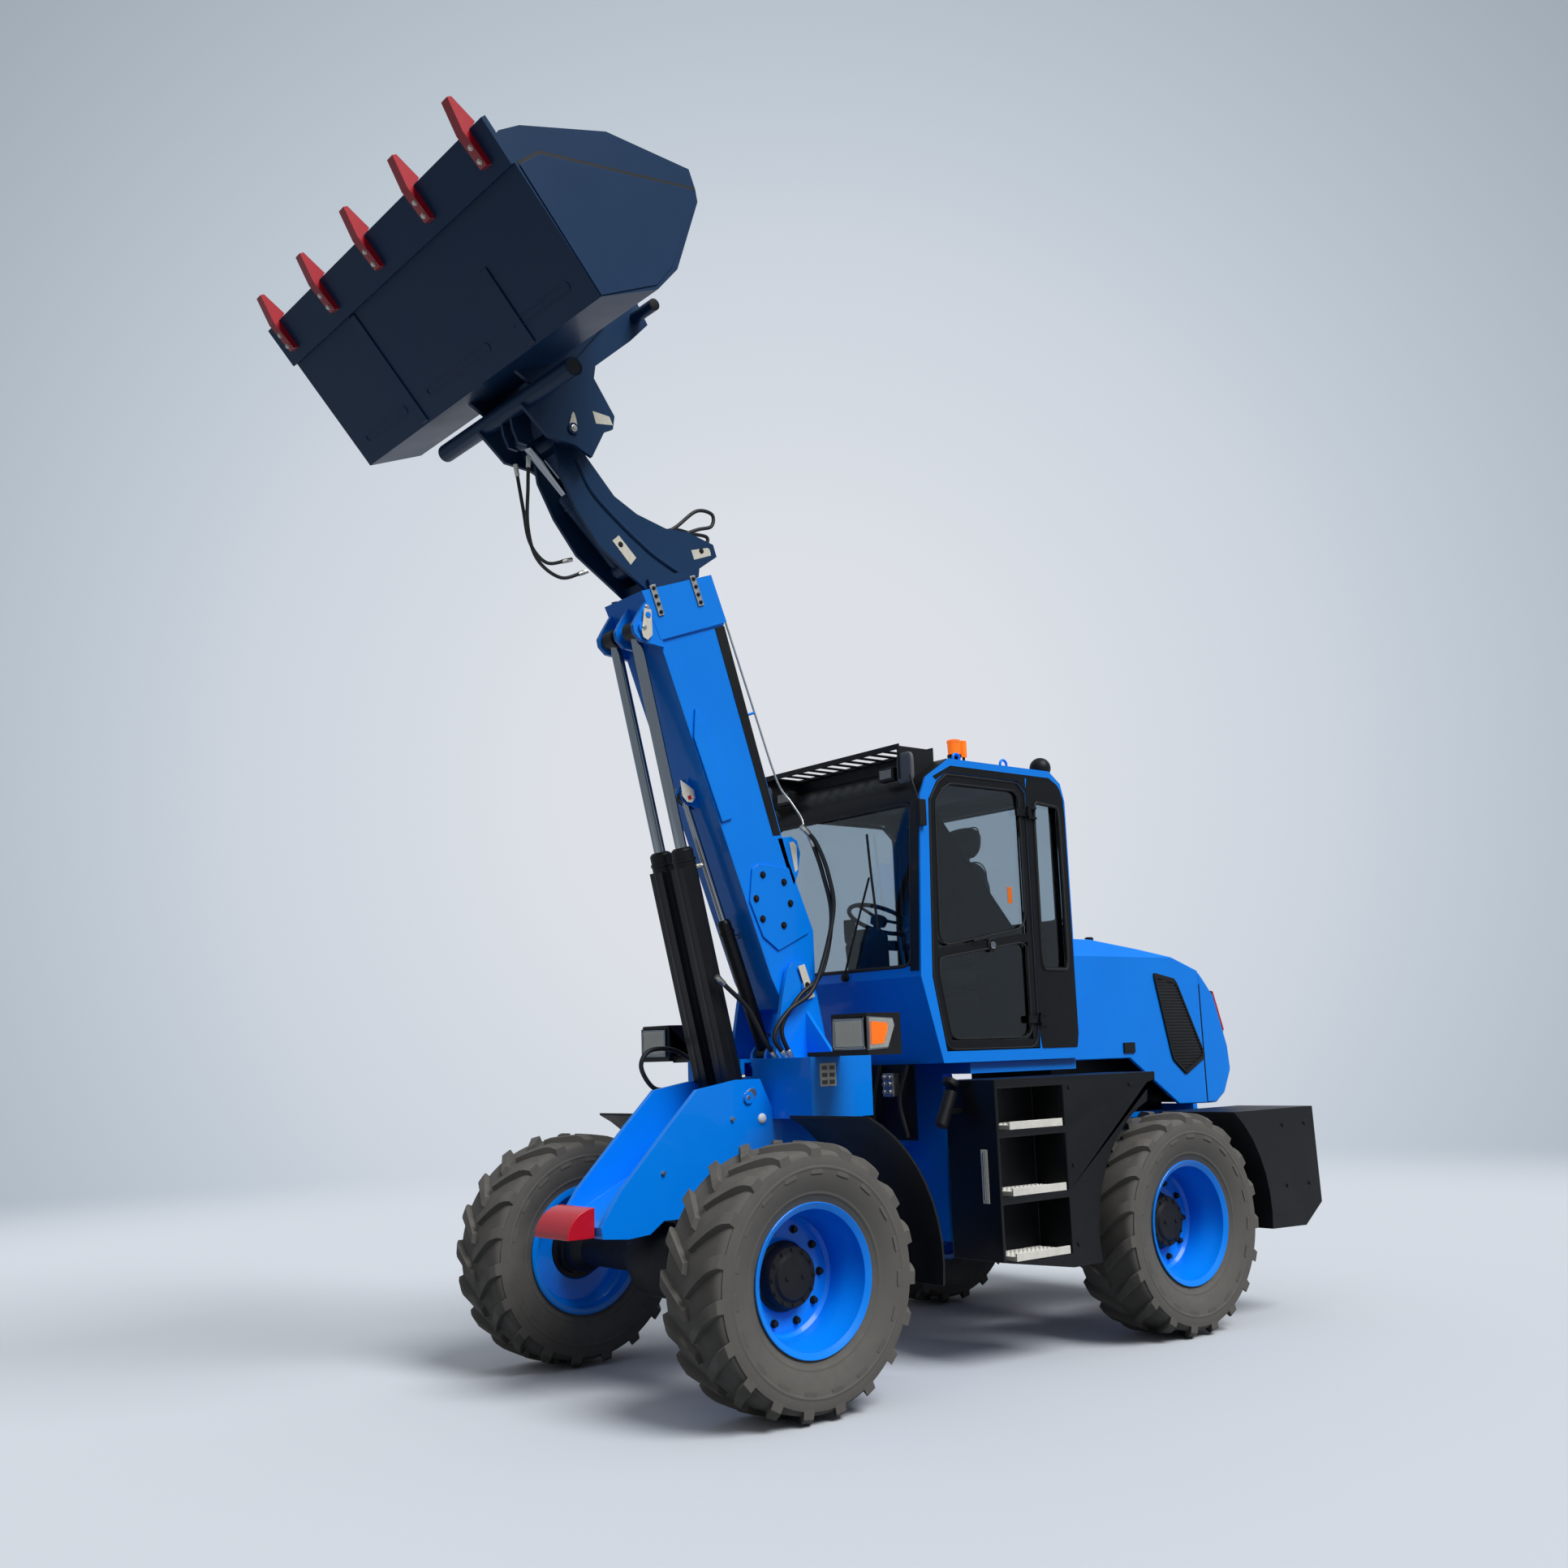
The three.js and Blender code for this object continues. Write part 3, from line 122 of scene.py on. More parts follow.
def on_bucket(along: float, up: float, y: float = 0.0) -> Array:
    """Point given along the bucket's floor from its heel and up from the floor, in metres.

    Args:
        along: distance along the floor.
        up: distance above the floor.
        y: distance to the left of the middle.
    Returns:
        The point.
    """
    run = np.array([math.cos(BUCKET_ROLL), 0.0, math.sin(BUCKET_ROLL)])
    rise = np.array([-run[2], 0.0, run[0]])
    return BUCKET_HEEL + along * run + up * rise + np.array([0.0, y, 0.0])


def at_side(outline: Iterable[tuple[float, float]], y: float) -> Array:
    """Outline of (x, z) points in metres from the steering pivot, set at one distance from the middle."""
    return np.array([spot(x, y, z) for x, z in outline])


# ---------------------------------------------------------------- shapes as numpy surfaces
@dataclass
class Shape:
    """Vertices and faces of one or more closed surfaces."""

    vertices: Array
    faces: list[list[int]]

    def __add__(self, other: "Shape") -> "Shape":
        """Puts two shapes side by side in one mesh.

        Args:
            other: the second shape.
        Returns:
            Both in one shape.
        """
        shift = len(self.vertices)
        moved = [[index + shift for index in face] for face in other.faces]
        return Shape(np.vstack([self.vertices, other.vertices]), self.faces + moved)

    def moved(self, offset: Vector3) -> "Shape":
        """The same shape, shifted."""
        return Shape(self.vertices + np.asarray(offset, float), self.faces)

    def mirrored(self) -> "Shape":
        """The same shape on the loader's other side."""
        return Shape(self.vertices * np.array([1.0, -1.0, 1.0]), [face[::-1] for face in self.faces])


def together(shapes: Iterable[Shape]) -> Shape:
    """Joins many shapes into one mesh.

    Args:
        shapes: the shapes, at least one.
    Returns:
        One shape with every vertex and face.
    """
    listed = list(shapes)
    starts = np.cumsum([0] + [len(shape.vertices) for shape in listed[:-1]])
    faces = [[index + start for index in face] for shape, start in zip(listed, starts)
        for face in shape.faces]
    return Shape(np.vstack([shape.vertices for shape in listed]), faces)


def both_sides(shape: Shape) -> Shape:
    """A shape and its mirror image on the other side."""
    return shape + shape.mirrored()


def woven(points: Array, wrap_rows: bool = False, wrap_columns: bool = True, capped: bool = False) -> Shape:
    """Surface through a grid of points: each cell between neighbouring points is one quad.

    Args:
        points: array of rows by columns by 3.
        wrap_rows: joins the last row to the first.
        wrap_columns: joins the last column to the first.
        capped: closes the first and last row with one face each.
    Returns:
        The surface.
    """
    rows, columns = points.shape[:2]
    index = np.arange(rows * columns).reshape(rows, columns)
    down = np.roll(index, -1, 0) if wrap_rows else index[1:]
    here = index if wrap_rows else index[:-1]
    if wrap_columns:
        quads = np.stack([here, np.roll(here, -1, 1), np.roll(down, -1, 1), down], -1)
    else:
        quads = np.stack([here[:, :-1], here[:, 1:], down[:, 1:], down[:, :-1]], -1)
    faces = quads.reshape(-1, 4).tolist()
    if capped:
        faces += [index[0, ::-1].tolist(), index[-1].tolist()]
    return Shape(points.reshape(-1, 3), faces)


def basis(axis: Vector3) -> tuple[Array, Array, Array]:
    """Unit vector along an axis and two more square to it.

    Args:
        axis: the direction.
    Returns:
        The axis and its two companions.
    """
    along = np.asarray(axis, float) / np.linalg.norm(axis)
    helper = np.array([0.0, 0.0, 1.0]) if abs(along[2]) < 0.9 else np.array([1.0, 0.0, 0.0])
    across = np.cross(helper, along)
    across /= np.linalg.norm(across)
    return along, across, np.cross(along, across)


def turned(start: Vector3, axis: Vector3, profile: Sequence[tuple[float, float]], sides: int = 48,
        ring: bool = False) -> Shape:
    """Surface of revolution: each profile point (distance along the axis, radius) sweeps a circle.

    Args:
        start: point on the axis where distance is 0.
        axis: direction of the axis.
        profile: the outline, open from cap to cap, or a closed loop with ring set.
        sides: points round each circle.
        ring: the profile closes on itself.
    Returns:
        The surface.
    """
    along, across, other = basis(axis)
    outline = np.asarray(profile, float)
    angle = angles_round(sides)
    circle = np.cos(angle)[:, None] * across + np.sin(angle)[:, None] * other
    points = np.asarray(start, float) + outline[:, 0, None, None] * along + outline[:, 1, None, None] * circle
    return woven(points, wrap_rows=ring, capped=not ring)


def rod(start: Vector3, end: Vector3, radius: float, sides: int = 24, edge: float = 0.002) -> Shape:
    """Round bar between two points, with chamfered ends.

    Args:
        start: middle of one end.
        end: middle of the other.
        radius: its radius.
        sides: points round it.
        edge: width of the chamfers.
    Returns:
        The closed bar.
    """
    length = float(np.linalg.norm(np.subtract(end, start)))
    edge = min(edge, radius * 0.4, length * 0.3)
    profile = [(0, radius - edge), (edge, radius), (length - edge, radius), (length, radius - edge)]
    return turned(start, np.subtract(end, start), profile, sides)


def smooth_path(points: Sequence[Vector3], steps: int = 8) -> Array:
    """Catmull-Rom curve: between neighbours a cubic whose slope at each point is half the chord round it.

    Args:
        points: the points that the curve passes.
        steps: how many stretches lie between two points.
    Returns:
        Points of the curve.
    """
    p = np.asarray(points, float)
    p = np.vstack([2 * p[0] - p[1], p, 2 * p[-1] - p[-2]])
    t = np.linspace(0, 1, steps, endpoint=False)[:, None, None]
    a, b, c, d = p[:-3], p[1:-2], p[2:-1], p[3:]
    curve = 0.5 * (2 * b + (c - a) * t + (2 * a - 5 * b + 4 * c - d) * t**2 + (3 * b - a - 3 * c + d) * t**3)
    return np.vstack([curve.transpose(1, 0, 2).reshape(-1, p.shape[1]), p[-2]])


def tube(path: Array, radius: float, sides: int = 12) -> Shape:
    """Round tube along a path: a circle square to the path at each of its points.

    Args:
        path: points of the path.
        radius: radius of the tube.
        sides: points round the tube.
    Returns:
        The closed tube.
    """
    tangent = np.gradient(path, axis=0)
    tangent /= np.linalg.norm(tangent, axis=1, keepdims=True)
    spread = path.max(0) - path.min(0)
    helper = np.eye(3)[int(np.argmin(spread))]
    across = np.cross(tangent, helper)
    across /= np.linalg.norm(across, axis=1, keepdims=True)
    other = np.cross(tangent, across)
    angle = angles_round(sides)[None, :, None]
    points = path[:, None] + radius * (np.cos(angle) * across[:, None] + np.sin(angle) * other[:, None])
    return woven(points, capped=True)


def smooth_loop(corners: Array, share: float) -> Array:
    """Rounds an outline's corners with quadratic curves that start a share of the edge away.

    Args:
        corners: the outline's corners.
        share: part of each edge that a curve takes.
    Returns:
        Points of the closed curve.
    """
    before, after = np.roll(corners, 1, 0), np.roll(corners, -1, 0)
    start, end = corners + (before - corners) * share, corners + (after - corners) * share
    t = np.linspace(0, 1, 6)[None, :, None]
    bends = (1 - t) ** 2 * start[:, None] + 2 * t * (1 - t) * corners[:, None] + t**2 * end[:, None]
    return bends.reshape(-1, 3)


def closed_tube(ring: Array, radius: float, sides: int = 10) -> Shape:
    """Round tube along a closed flat ring of points: circles square to the ring, joined end to end.

    Args:
        ring: points of the ring.
        radius: radius of the tube.
        sides: points round the tube.
    Returns:
        The closed tube.
    """
    tangent = np.roll(ring, -1, 0) - np.roll(ring, 1, 0)
    tangent /= np.maximum(np.linalg.norm(tangent, axis=1, keepdims=True), 1e-9)
    plane = np.cross(ring[len(ring) // 3] - ring[0], ring[2 * len(ring) // 3] - ring[0])
    plane = plane / np.linalg.norm(plane)
    across = np.cross(tangent, plane)
    angle = angles_round(sides)[None, :, None]
    points = ring[:, None] + radius * (np.cos(angle) * across[:, None] + np.sin(angle) * plane)
    return woven(points, wrap_rows=True)


def angles_round(count: int) -> Array:
    """Angles that share a full turn evenly."""
    return np.linspace(0, 2 * np.pi, count, endpoint=False)


CUBE = np.array([[x, y, z] for x in (-0.5, 0.5) for y in (-0.5, 0.5) for z in (-0.5, 0.5)])
CUBE_FACES = [[0, 1, 3, 2], [4, 6, 7, 5], [0, 4, 5, 1], [2, 3, 7, 6], [0, 2, 6, 4], [1, 5, 7, 3]]


def boxes(centres: Array, size: Vector3, turn: Array | None = None) -> Shape:
    """Boxes of one size: the unit cube scaled, turned and set down at each centre.

    Args:
        centres: array of n by 3.
        size: edge lengths.
        turn: 3 by 3 matrix whose rows are the box's own axes.
    Returns:
        All the boxes in one shape.
    """
    centres = np.atleast_2d(np.asarray(centres, float))
    corner = CUBE * np.asarray(size, float)
    if turn is not None:
        corner = corner @ turn
    vertices = (centres[:, None] + corner[None]).reshape(-1, 3)
    faces = [[8 * n + i for i in face] for n in range(len(centres)) for face in CUBE_FACES]
    return Shape(vertices, faces)


def box(low: Vector3, high: Vector3) -> Shape:
    """One box between two corners."""
    low, high = np.asarray(low, float), np.asarray(high, float)
    return boxes((low + high) / 2, np.abs(high - low))


def prism(outline: Array, depth: Vector3) -> Shape:
    """Flat outline of n by 3 points, thickened by a depth vector."""
    outline = np.asarray(outline, float)
    return woven(np.stack([outline, outline + np.asarray(depth, float)]), capped=True)


def hex_bolts(centres: Array, axis: Vector3, width: float, height: float, washer: float = 1.25) -> Shape:
    """Hexagon heads on washers: six-sided and round discs stacked along the axis.

    Args:
        centres: foot of each bolt.
        axis: direction in which the heads stand out.
        width: radius of the hexagon.
        height: height of the head.
        washer: washer radius as a multiple of the head's.
    Returns:
        All the bolts in one shape.
    """
    thin = height * 0.25
    head = turned((0, 0, 0), axis, [(thin, width), (height * 0.85, width), (height, width * 0.86)], 6)
    disc = turned((0, 0, 0), axis, [(-thin, width * washer), (thin, width * washer)], 16)
    return together((head + disc).moved(centre) for centre in np.atleast_2d(centres))


def rounded_outline(width: float, height: float, radius: float, steps: int = 5) -> Array:
    """Outline of a rectangle with round corners, as n by 2 points about its middle.

    Args:
        width: full width.
        height: full height.
        radius: radius of the corners.
        steps: points on each corner.
    Returns:
        The points in order.
    """
    turn = np.linspace(0, np.pi / 2, steps)
    corner = radius * np.stack([np.cos(turn), np.sin(turn)], 1)
    middle = np.array([width / 2 - radius, height / 2 - radius])
    quarter = [np.array([1, 1]), np.array([-1, 1]), np.array([-1, -1]), np.array([1, -1])]
    arcs = [middle * sign + (corner * sign)[:: int(sign[0] * sign[1])] for sign in quarter]
    return np.vstack(arcs)


def pillow(centre: Vector3, size: Vector3, turn: Array, power: float = 3.4, crown: float = 0.0,
        rings: int = 28, sides: int = 56) -> Shape:
    """Superellipsoid: sines and cosines raised to 2/power fill the corners of a box; crown domes its top.

    Args:
        centre: middle of the pad.
        size: its full width, depth and thickness.
        turn: 3 by 3 matrix whose rows are its own axes.
        power: 2 is an ellipsoid, larger is boxier.
        crown: how far the middle of the top swells past the edges.
        rings: rows from pole to pole.
        sides: columns round.
    Returns:
        The closed pad.
    """
    lift, round_ = np.linspace(-np.pi / 2, np.pi / 2, rings), angles_round(sides)
    bend = lambda value: np.sign(value) * np.abs(value) ** (2 / power)
    wide = bend(np.cos(lift))[:, None]
    unit = np.stack([wide * bend(np.cos(round_)), wide * bend(np.sin(round_)),
            np.repeat(bend(np.sin(lift))[:, None], sides, 1)], -1)
    unit[..., 2] *= 1 + crown * (1 - unit[..., 0] ** 2) * (1 - unit[..., 1] ** 2)
    return woven(np.asarray(centre, float) + (unit * np.asarray(size, float) / 2) @ turn, capped=True)


# ---------------------------------------------------------------- materials
def linear(hex_colour: str) -> tuple[float, float, float, float]:
    """Turns an sRGB hex colour to linear light: the inverse of the sRGB curve for each channel.

    Args:
        hex_colour: such as "#1e73d2".
    Returns:
        Red, green, blue and an alpha of 1.
    """
    channels = [int(hex_colour[i:i + 2], 16) / 255 for i in (1, 3, 5)]
    lit = [c / 12.92 if c <= 0.04045 else ((c + 0.055) / 1.055) ** 2.4 for c in channels]
    return (lit[0], lit[1], lit[2], 1.0)


def add(tree: Tree, kind: str, settings: dict | None = None, inputs: dict | None = None) -> bpy.types.Node:
    """Adds a node with its settings, values and links.

    Args:
        tree: the material's node tree.
        kind: the node's type, without its leading ShaderNode.
        settings: attribute values.
        inputs: socket name or number to a value, or to an output socket that feeds it.
    Returns:
        The node.
    """
    made = tree.nodes.new("ShaderNode" + kind)
    for key, value in (settings or {}).items():
        setattr(made, key, value)
    for key, value in (inputs or {}).items():
        if isinstance(value, Socket):
            tree.links.new(value, made.inputs[key])
        else:
            made.inputs[key].default_value = value
    return made


def new_material(name: str) -> tuple[bpy.types.Material, Tree, bpy.types.Node]:
    """Makes an empty node material.

    Args:
        name: its name.
    Returns:
        The material, its node tree and its shader node.
    """
    made = bpy.data.materials.new(name)
    made.use_nodes = True
    return made, made.node_tree, made.node_tree.nodes["Principled BSDF"]


def ranged(tree: Tree, value: Socket, start: tuple, end: tuple = (0.0, 1.0), curve: str = "LINEAR") -> Socket:
    """Maps a value from one range to another.

    Args:
        tree: the node tree.
        value: socket with the value.
        start: its lowest and highest.
        end: what these become.
        curve: how it runs between them.
    Returns:
        The socket with the result.
    """
    inputs = {"Value": value, "From Min": start[0], "From Max": start[1], "To Min": end[0], "To Max": end[1]}
    return add(tree, "MapRange", {"interpolation_type": curve}, inputs).outputs["Result"]


class Surface(Enum):
    """How a surface was made, which sets the pattern of its bump and colour."""

    SPRAYED = "sprayed"
    CAST = "cast"
    MOULDED = "moulded"
    GRAINED = "grained"
    POLISHED = "polished"
    VULCANISED = "vulcanised"


# ripple spacing in mm, bump depth in mm, share by which colour and roughness vary
GRAIN = {Surface.SPRAYED: (9.0, 0.12, 0.1), Surface.CAST: (4.0, 0.8, 0.25),
    Surface.MOULDED: (3.0, 0.35, 0.18), Surface.GRAINED: (5.0, 0.9, 0.15),
    Surface.POLISHED: (40.0, 0.01, 0.05), Surface.VULCANISED: (7.0, 0.5, 0.3),}


@dataclass(frozen=True)
class Finish:
    """A solid finish with its own grain, patchiness and dust."""

    name: str
    slot: str
    colour: str
    surface: Surface
    roughness: float
    metallic: float = 0.0
    coat: float = 0.0
    dust: float = 0.0
    dust_colour: str = "#8c857b"
    patch: float = 0.35
    specular: float = 0.4

    def material(self) -> bpy.types.Material:
        """Builds the material once and hands it out again after that.

        Returns:
            The node material.
        """
        known = bpy.data.materials.get(self.name)
        if known:
            return known
        made, tree, shader = new_material(self.name)
        spacing, depth, vary = GRAIN[self.surface]
        where = add(tree, "TexCoord").outputs["Object"]
        patches = add(tree, "TexNoise", {"noise_dimensions": "3D"}, {"Vector": where, "Scale": 1 / self.patch,
                "Detail": 6.0, "Roughness": 0.6})
        base = linear(self.colour)
        low = tuple(c * (1 - vary) for c in base[:3]) + (1.0,)
        high = tuple(min(1.0, c * (1 + vary)) for c in base[:3]) + (1.0,)
        tint = add(tree, "Mix", {"data_type": "RGBA"}, {0: patches.outputs["Fac"], 6: low,
                7: high}).outputs[2]
        roughness = ranged(tree, patches.outputs["Fac"], (0.3, 0.7), (max(0.02, self.roughness * (1 - vary)),
                min(1.0, self.roughness * (1 + vary))))
        if self.dust > 0:
            upward = add(tree, "SeparateXYZ", {}, {"Vector": add(tree,
                    "NewGeometry").outputs["Normal"]}).outputs["Z"]
            settle = ranged(tree, upward, (-0.2, 1.0), (0.15, 1.0))
            speck = add(tree, "TexNoise", {}, {"Vector": where, "Scale": 18.0, "Detail": 8.0,
                    "Roughness": 0.7})
            cloud = ranged(tree, speck.outputs["Fac"], (0.42, 0.75), (0.0, self.dust))
            share = add(tree, "Math", {"operation": "MULTIPLY"}, {0: settle, 1: cloud}).outputs[0]
            tint = add(tree, "Mix", {"data_type": "RGBA"}, {0: share, 6: tint,
                    7: linear(self.dust_colour)}).outputs[2]
            roughness = add(tree, "Mix", {}, {0: share, 2: roughness, 3: 0.85}).outputs[0]
        ripple = add(tree, "TexNoise", {}, {"Vector": where, "Scale": 1 / (spacing * MM), "Detail": 3.0})
        bump = add(tree, "Bump", {}, {"Height": ripple.outputs["Fac"], "Distance": depth * MM,
                "Strength": 0.8})
        tree.links.new(tint, shader.inputs["Base Color"])
        tree.links.new(roughness, shader.inputs["Roughness"])
        tree.links.new(bump.outputs["Normal"], shader.inputs["Normal"])
        for socket, value in (("Metallic", self.metallic), ("Coat Weight", self.coat),
            ("Coat Roughness", COAT_ROUGHNESS), ("Specular IOR Level", self.specular)):
            shader.inputs[socket].default_value = value
        return made


@dataclass(frozen=True)
class Clear:
    """A see-through finish, such as glass or a lens."""

    name: str
    slot: str
    colour: str
    roughness: float = 0.02
    transmission: float = 1.0
    glow: float = 0.0

    def material(self) -> bpy.types.Material:
        """Builds the material once and hands it out again after that.

        Returns:
            The node material.
        """
        known = bpy.data.materials.get(self.name)
        if known:
            return known
        made, tree, shader = new_material(self.name)
        where = add(tree, "TexCoord").outputs["Object"]
        smear = add(tree, "TexNoise", {}, {"Vector": where, "Scale": 3.0, "Detail": 4.0})
        haze = ranged(tree, smear.outputs["Fac"], (0.4, 0.8), (self.roughness, self.roughness * 2.5))
        tree.links.new(haze, shader.inputs["Roughness"])
        shader.inputs["Base Color"].default_value = linear(self.colour)
        shader.inputs["Transmission Weight"].default_value = self.transmission
        shader.inputs["IOR"].default_value = CLEAR_IOR
        if self.glow:
            shader.inputs["Emission Color"].default_value = linear(self.colour)
            shader.inputs["Emission Strength"].default_value = self.glow
        return made


# Two-pack polyurethane enamel sprayed on steel: deep, glossy, with the faint ripple of spray.
BLUE = Finish("sprayed_enamel_blue", "blue_paint", "#0087ff", Surface.SPRAYED, 0.34, coat=0.22, dust=0.01,
    specular=0.2)
# The same enamel in near-black navy, satin, on the bucket and its arm.
NAVY = Finish("sprayed_enamel_navy", "navy_paint", "#1a3a5e", Surface.SPRAYED, 0.42, coat=0.06, dust=0.01,
    specular=0.15)
# Satin black enamel on plate work, a little dusty.
# The same black also paints shade: the sheet in the valve bay and, in part, the strip over the windshield.
BLACK = Finish("sprayed_enamel_black", "black_paint", "#0c0e12", Surface.SPRAYED, 0.42, coat=0.05, dust=0.03,
    specular=0.2)
# Red enamel on the nose cap and the cutting edge.
RED = Finish("sprayed_enamel_red", "red_paint", "#c40f26", Surface.SPRAYED, 0.36, coat=0.3, dust=0.05)
# Mid grey enamel on mirror backs and label fields.
GREY = Finish("sprayed_enamel_grey", "black_paint", "#5d6064", Surface.SPRAYED, 0.45, dust=0.08)
# Light grey rubberised tread plate, dull and chalky.
TREAD_PLATE = Finish("coated_tread_grey", "black_paint", "#e2e0d8", Surface.CAST, 0.85, patch=0.06)
# Vulcanised tyre rubber: dull brown-grey from road dust, darker where it has been wiped.
TYRE = Finish("vulcanised_tyre_rubber", "tyre_rubber", "#5c5a56", Surface.VULCANISED, 0.82, dust=0.55,
    dust_colour="#777068", patch=0.12)
# Sand-cast iron under satin black paint.
CAST = Finish("painted_cast_iron", "cast_black", "#131417", Surface.CAST, 0.55, dust=0.06, specular=0.25)
# Injection moulded black plastic with a fine grain.
# Also the cover under the roof guard, which in part paints the guard's shade.
PLASTIC = Finish("moulded_black_plastic", "black_plastic", "#121316", Surface.MOULDED, 0.5, dust=0.03,
    specular=0.25)
# Hard chrome plate, ground and polished.
CHROME = Finish("ground_hard_chrome", "chrome", "#8f9398", Surface.POLISHED, 0.12, metallic=1.0)
# Zinc plated steel: bright, slightly warm, dulled in patches.
ZINC = Finish("zinc_plated_steel", "steel", "#b9b6ae", Surface.CAST, 0.36, metallic=1.0, patch=0.03)
# Braided hydraulic hose with a smooth rubber cover.
HOSE = Finish("extruded_hose_rubber", "rubber_hose", "#141517", Surface.MOULDED, 0.48)
# Extruded rubber that holds the panes, dull black.
# The same dull black paints the shadow strip along the bucket's cheek doublers.
SEAL = Finish("extruded_window_seal", "rubber_hose", "#0c0d0f", Surface.MOULDED, 0.6)
# White enamel on a small steel cap.
WHITE = Finish("white_painted_steel_cap", "steel", "#e6e9ec", Surface.SPRAYED, 0.4)
# Printed vinyl film, left blank: off-white, slightly glossy.
FILM = Finish("vinyl_label_cream", "steel", "#dedacb", Surface.MOULDED, 0.4, patch=0.02)
# Dark grained vinyl over foam.
SEAT = Finish("grained_seat_vinyl", "seat_vinyl", "#1d1f22", Surface.GRAINED, 0.62)
# Pressed steel slats, painted dark grey.
GAUZE = Finish("pressed_steel_grille", "black_paint", "#2c2e31", Surface.SPRAYED, 0.5)
# Bright orange moulded plastic of the belt tag.
ORANGE = Finish("moulded_orange_plastic", "black_plastic", "#ee7416", Surface.MOULDED, 0.35)
# Toughened float glass with a faint blue-grey tint.
GLASS = Clear("toughened_tinted_glass", "clear_glass", "#c2ced6")
# Moulded lamp lenses: clear, amber and red.
LENS = Clear("moulded_clear_lens", "clear_glass", "#f3f1ea", 0.06, 0.85)
AMBER = Clear("moulded_amber_lens", "clear_glass", "#ff8a1c", 0.08, 0.5, 0.25)
RED_LENS = Clear("moulded_red_lens", "clear_glass", "#d31420", 0.08, 0.4, 0.1)
# Silvered reflector behind the lenses.
MIRROR = Finish("silvered_reflector", "chrome", "#e6e8ea", Surface.POLISHED, 0.08, metallic=1.0)


# ---------------------------------------------------------------- putting pieces in the scene
def put(name: str, shape: Shape, finish: Finish | Clear, body: str, bevel: float = 0.0, angle: float = 35.0,
        replaces: Sequence[str] = ()) -> bpy.types.Object:
    """Makes a piece from a shape, dresses it and lets it ride on a body.

    Args:
        name: the piece's name.
        shape: its surfaces.
        finish: its finish.
        body: the body that it moves with, or "" for a piece that rides on none.
        bevel: width of the rounded edges in metres, 0 for none.
        angle: edges sharper than this many degrees stay crisp or are rounded.
        replaces: frame nodes that it stands for.
    Returns:
        The piece.
    """
    mesh = bpy.data.meshes.new(name)
    mesh.from_pydata(shape.vertices, [], shape.faces)
    work = bmesh.new()
    work.from_mesh(mesh)
    bmesh.ops.remove_doubles(work, verts=work.verts, dist=WELD)
    bmesh.ops.dissolve_degenerate(work, edges=work.edges, dist=WELD)
    bmesh.ops.recalc_face_normals(work, faces=work.faces)
    work.to_mesh(mesh)
    work.free()
    return dress(name, mesh, finish, body, bevel, angle, replaces)


def dress(name: str, mesh: bpy.types.Mesh, finish: Finish | Clear, body: str, bevel: float, angle: float,
        replaces: Sequence[str]) -> bpy.types.Object:
    """Gives a mesh its object, finish, edges and body.

    Args:
        name: the piece's name.
        mesh: its mesh.
        finish: its finish.
        body: the body that it moves with, or none.
        bevel: width of the rounded edges.
        angle: edges sharper than this many degrees count as edges.
        replaces: frame nodes that it stands for.
    Returns:
        The piece.
    """
    mesh.shade_smooth()
    mesh.set_sharp_from_angle(angle=math.radians(angle))
    piece = bpy.data.objects.new(name, mesh)
    bpy.context.scene.collection.objects.link(piece)
    piece.data.materials.clear()
    piece.data.materials.append(finish.material())
    if bevel:
        edge = piece.modifiers.new("edges", "BEVEL")
        edge.width = bevel
        edge.segments = 2
        edge.limit_method = "ANGLE"
        edge.angle_limit = math.radians(angle)
        edge.harden_normals = True
    if body:
        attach(piece, body)
    if replaces:
        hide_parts(*replaces)
    LOG.info("%s: %s", name, finish.name)
    return piece


def softened(node: str, finish: Finish, bevel: float = 0.003) -> bpy.types.Object:
    """Copies a frame node, welds it and rounds its edges, as a real weldment's or casting's are.

    Args:
        node: the frame node, which the copy replaces.
        finish: its finish.
        bevel: width of the rounded edges in metres.
    Returns:
        The piece.
    """
    source = frame["nodes"][node]
    work = bmesh.new()
    work.from_mesh(source.data)
    bmesh.ops.remove_doubles(work, verts=work.verts, dist=2e-5)
    bmesh.ops.dissolve_limit(work, angle_limit=math.radians(0.5), verts=work.verts, edges=work.edges)
    mesh = bpy.data.meshes.new(node + "_skin")
    work.to_mesh(mesh)
    work.free()
    return dress(node + "_skin", mesh, finish, source["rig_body"], bevel, 32.0, [node])


def coat(node: str, finish: Finish | Clear) -> None:
    """Gives a frame node, kept as it is, a finish.

    Args:
        node: the frame node.
        finish: its finish.
    """
    thing = frame["nodes"][node]
    thing.data.materials.clear()
    thing.data.materials.append(finish.material())


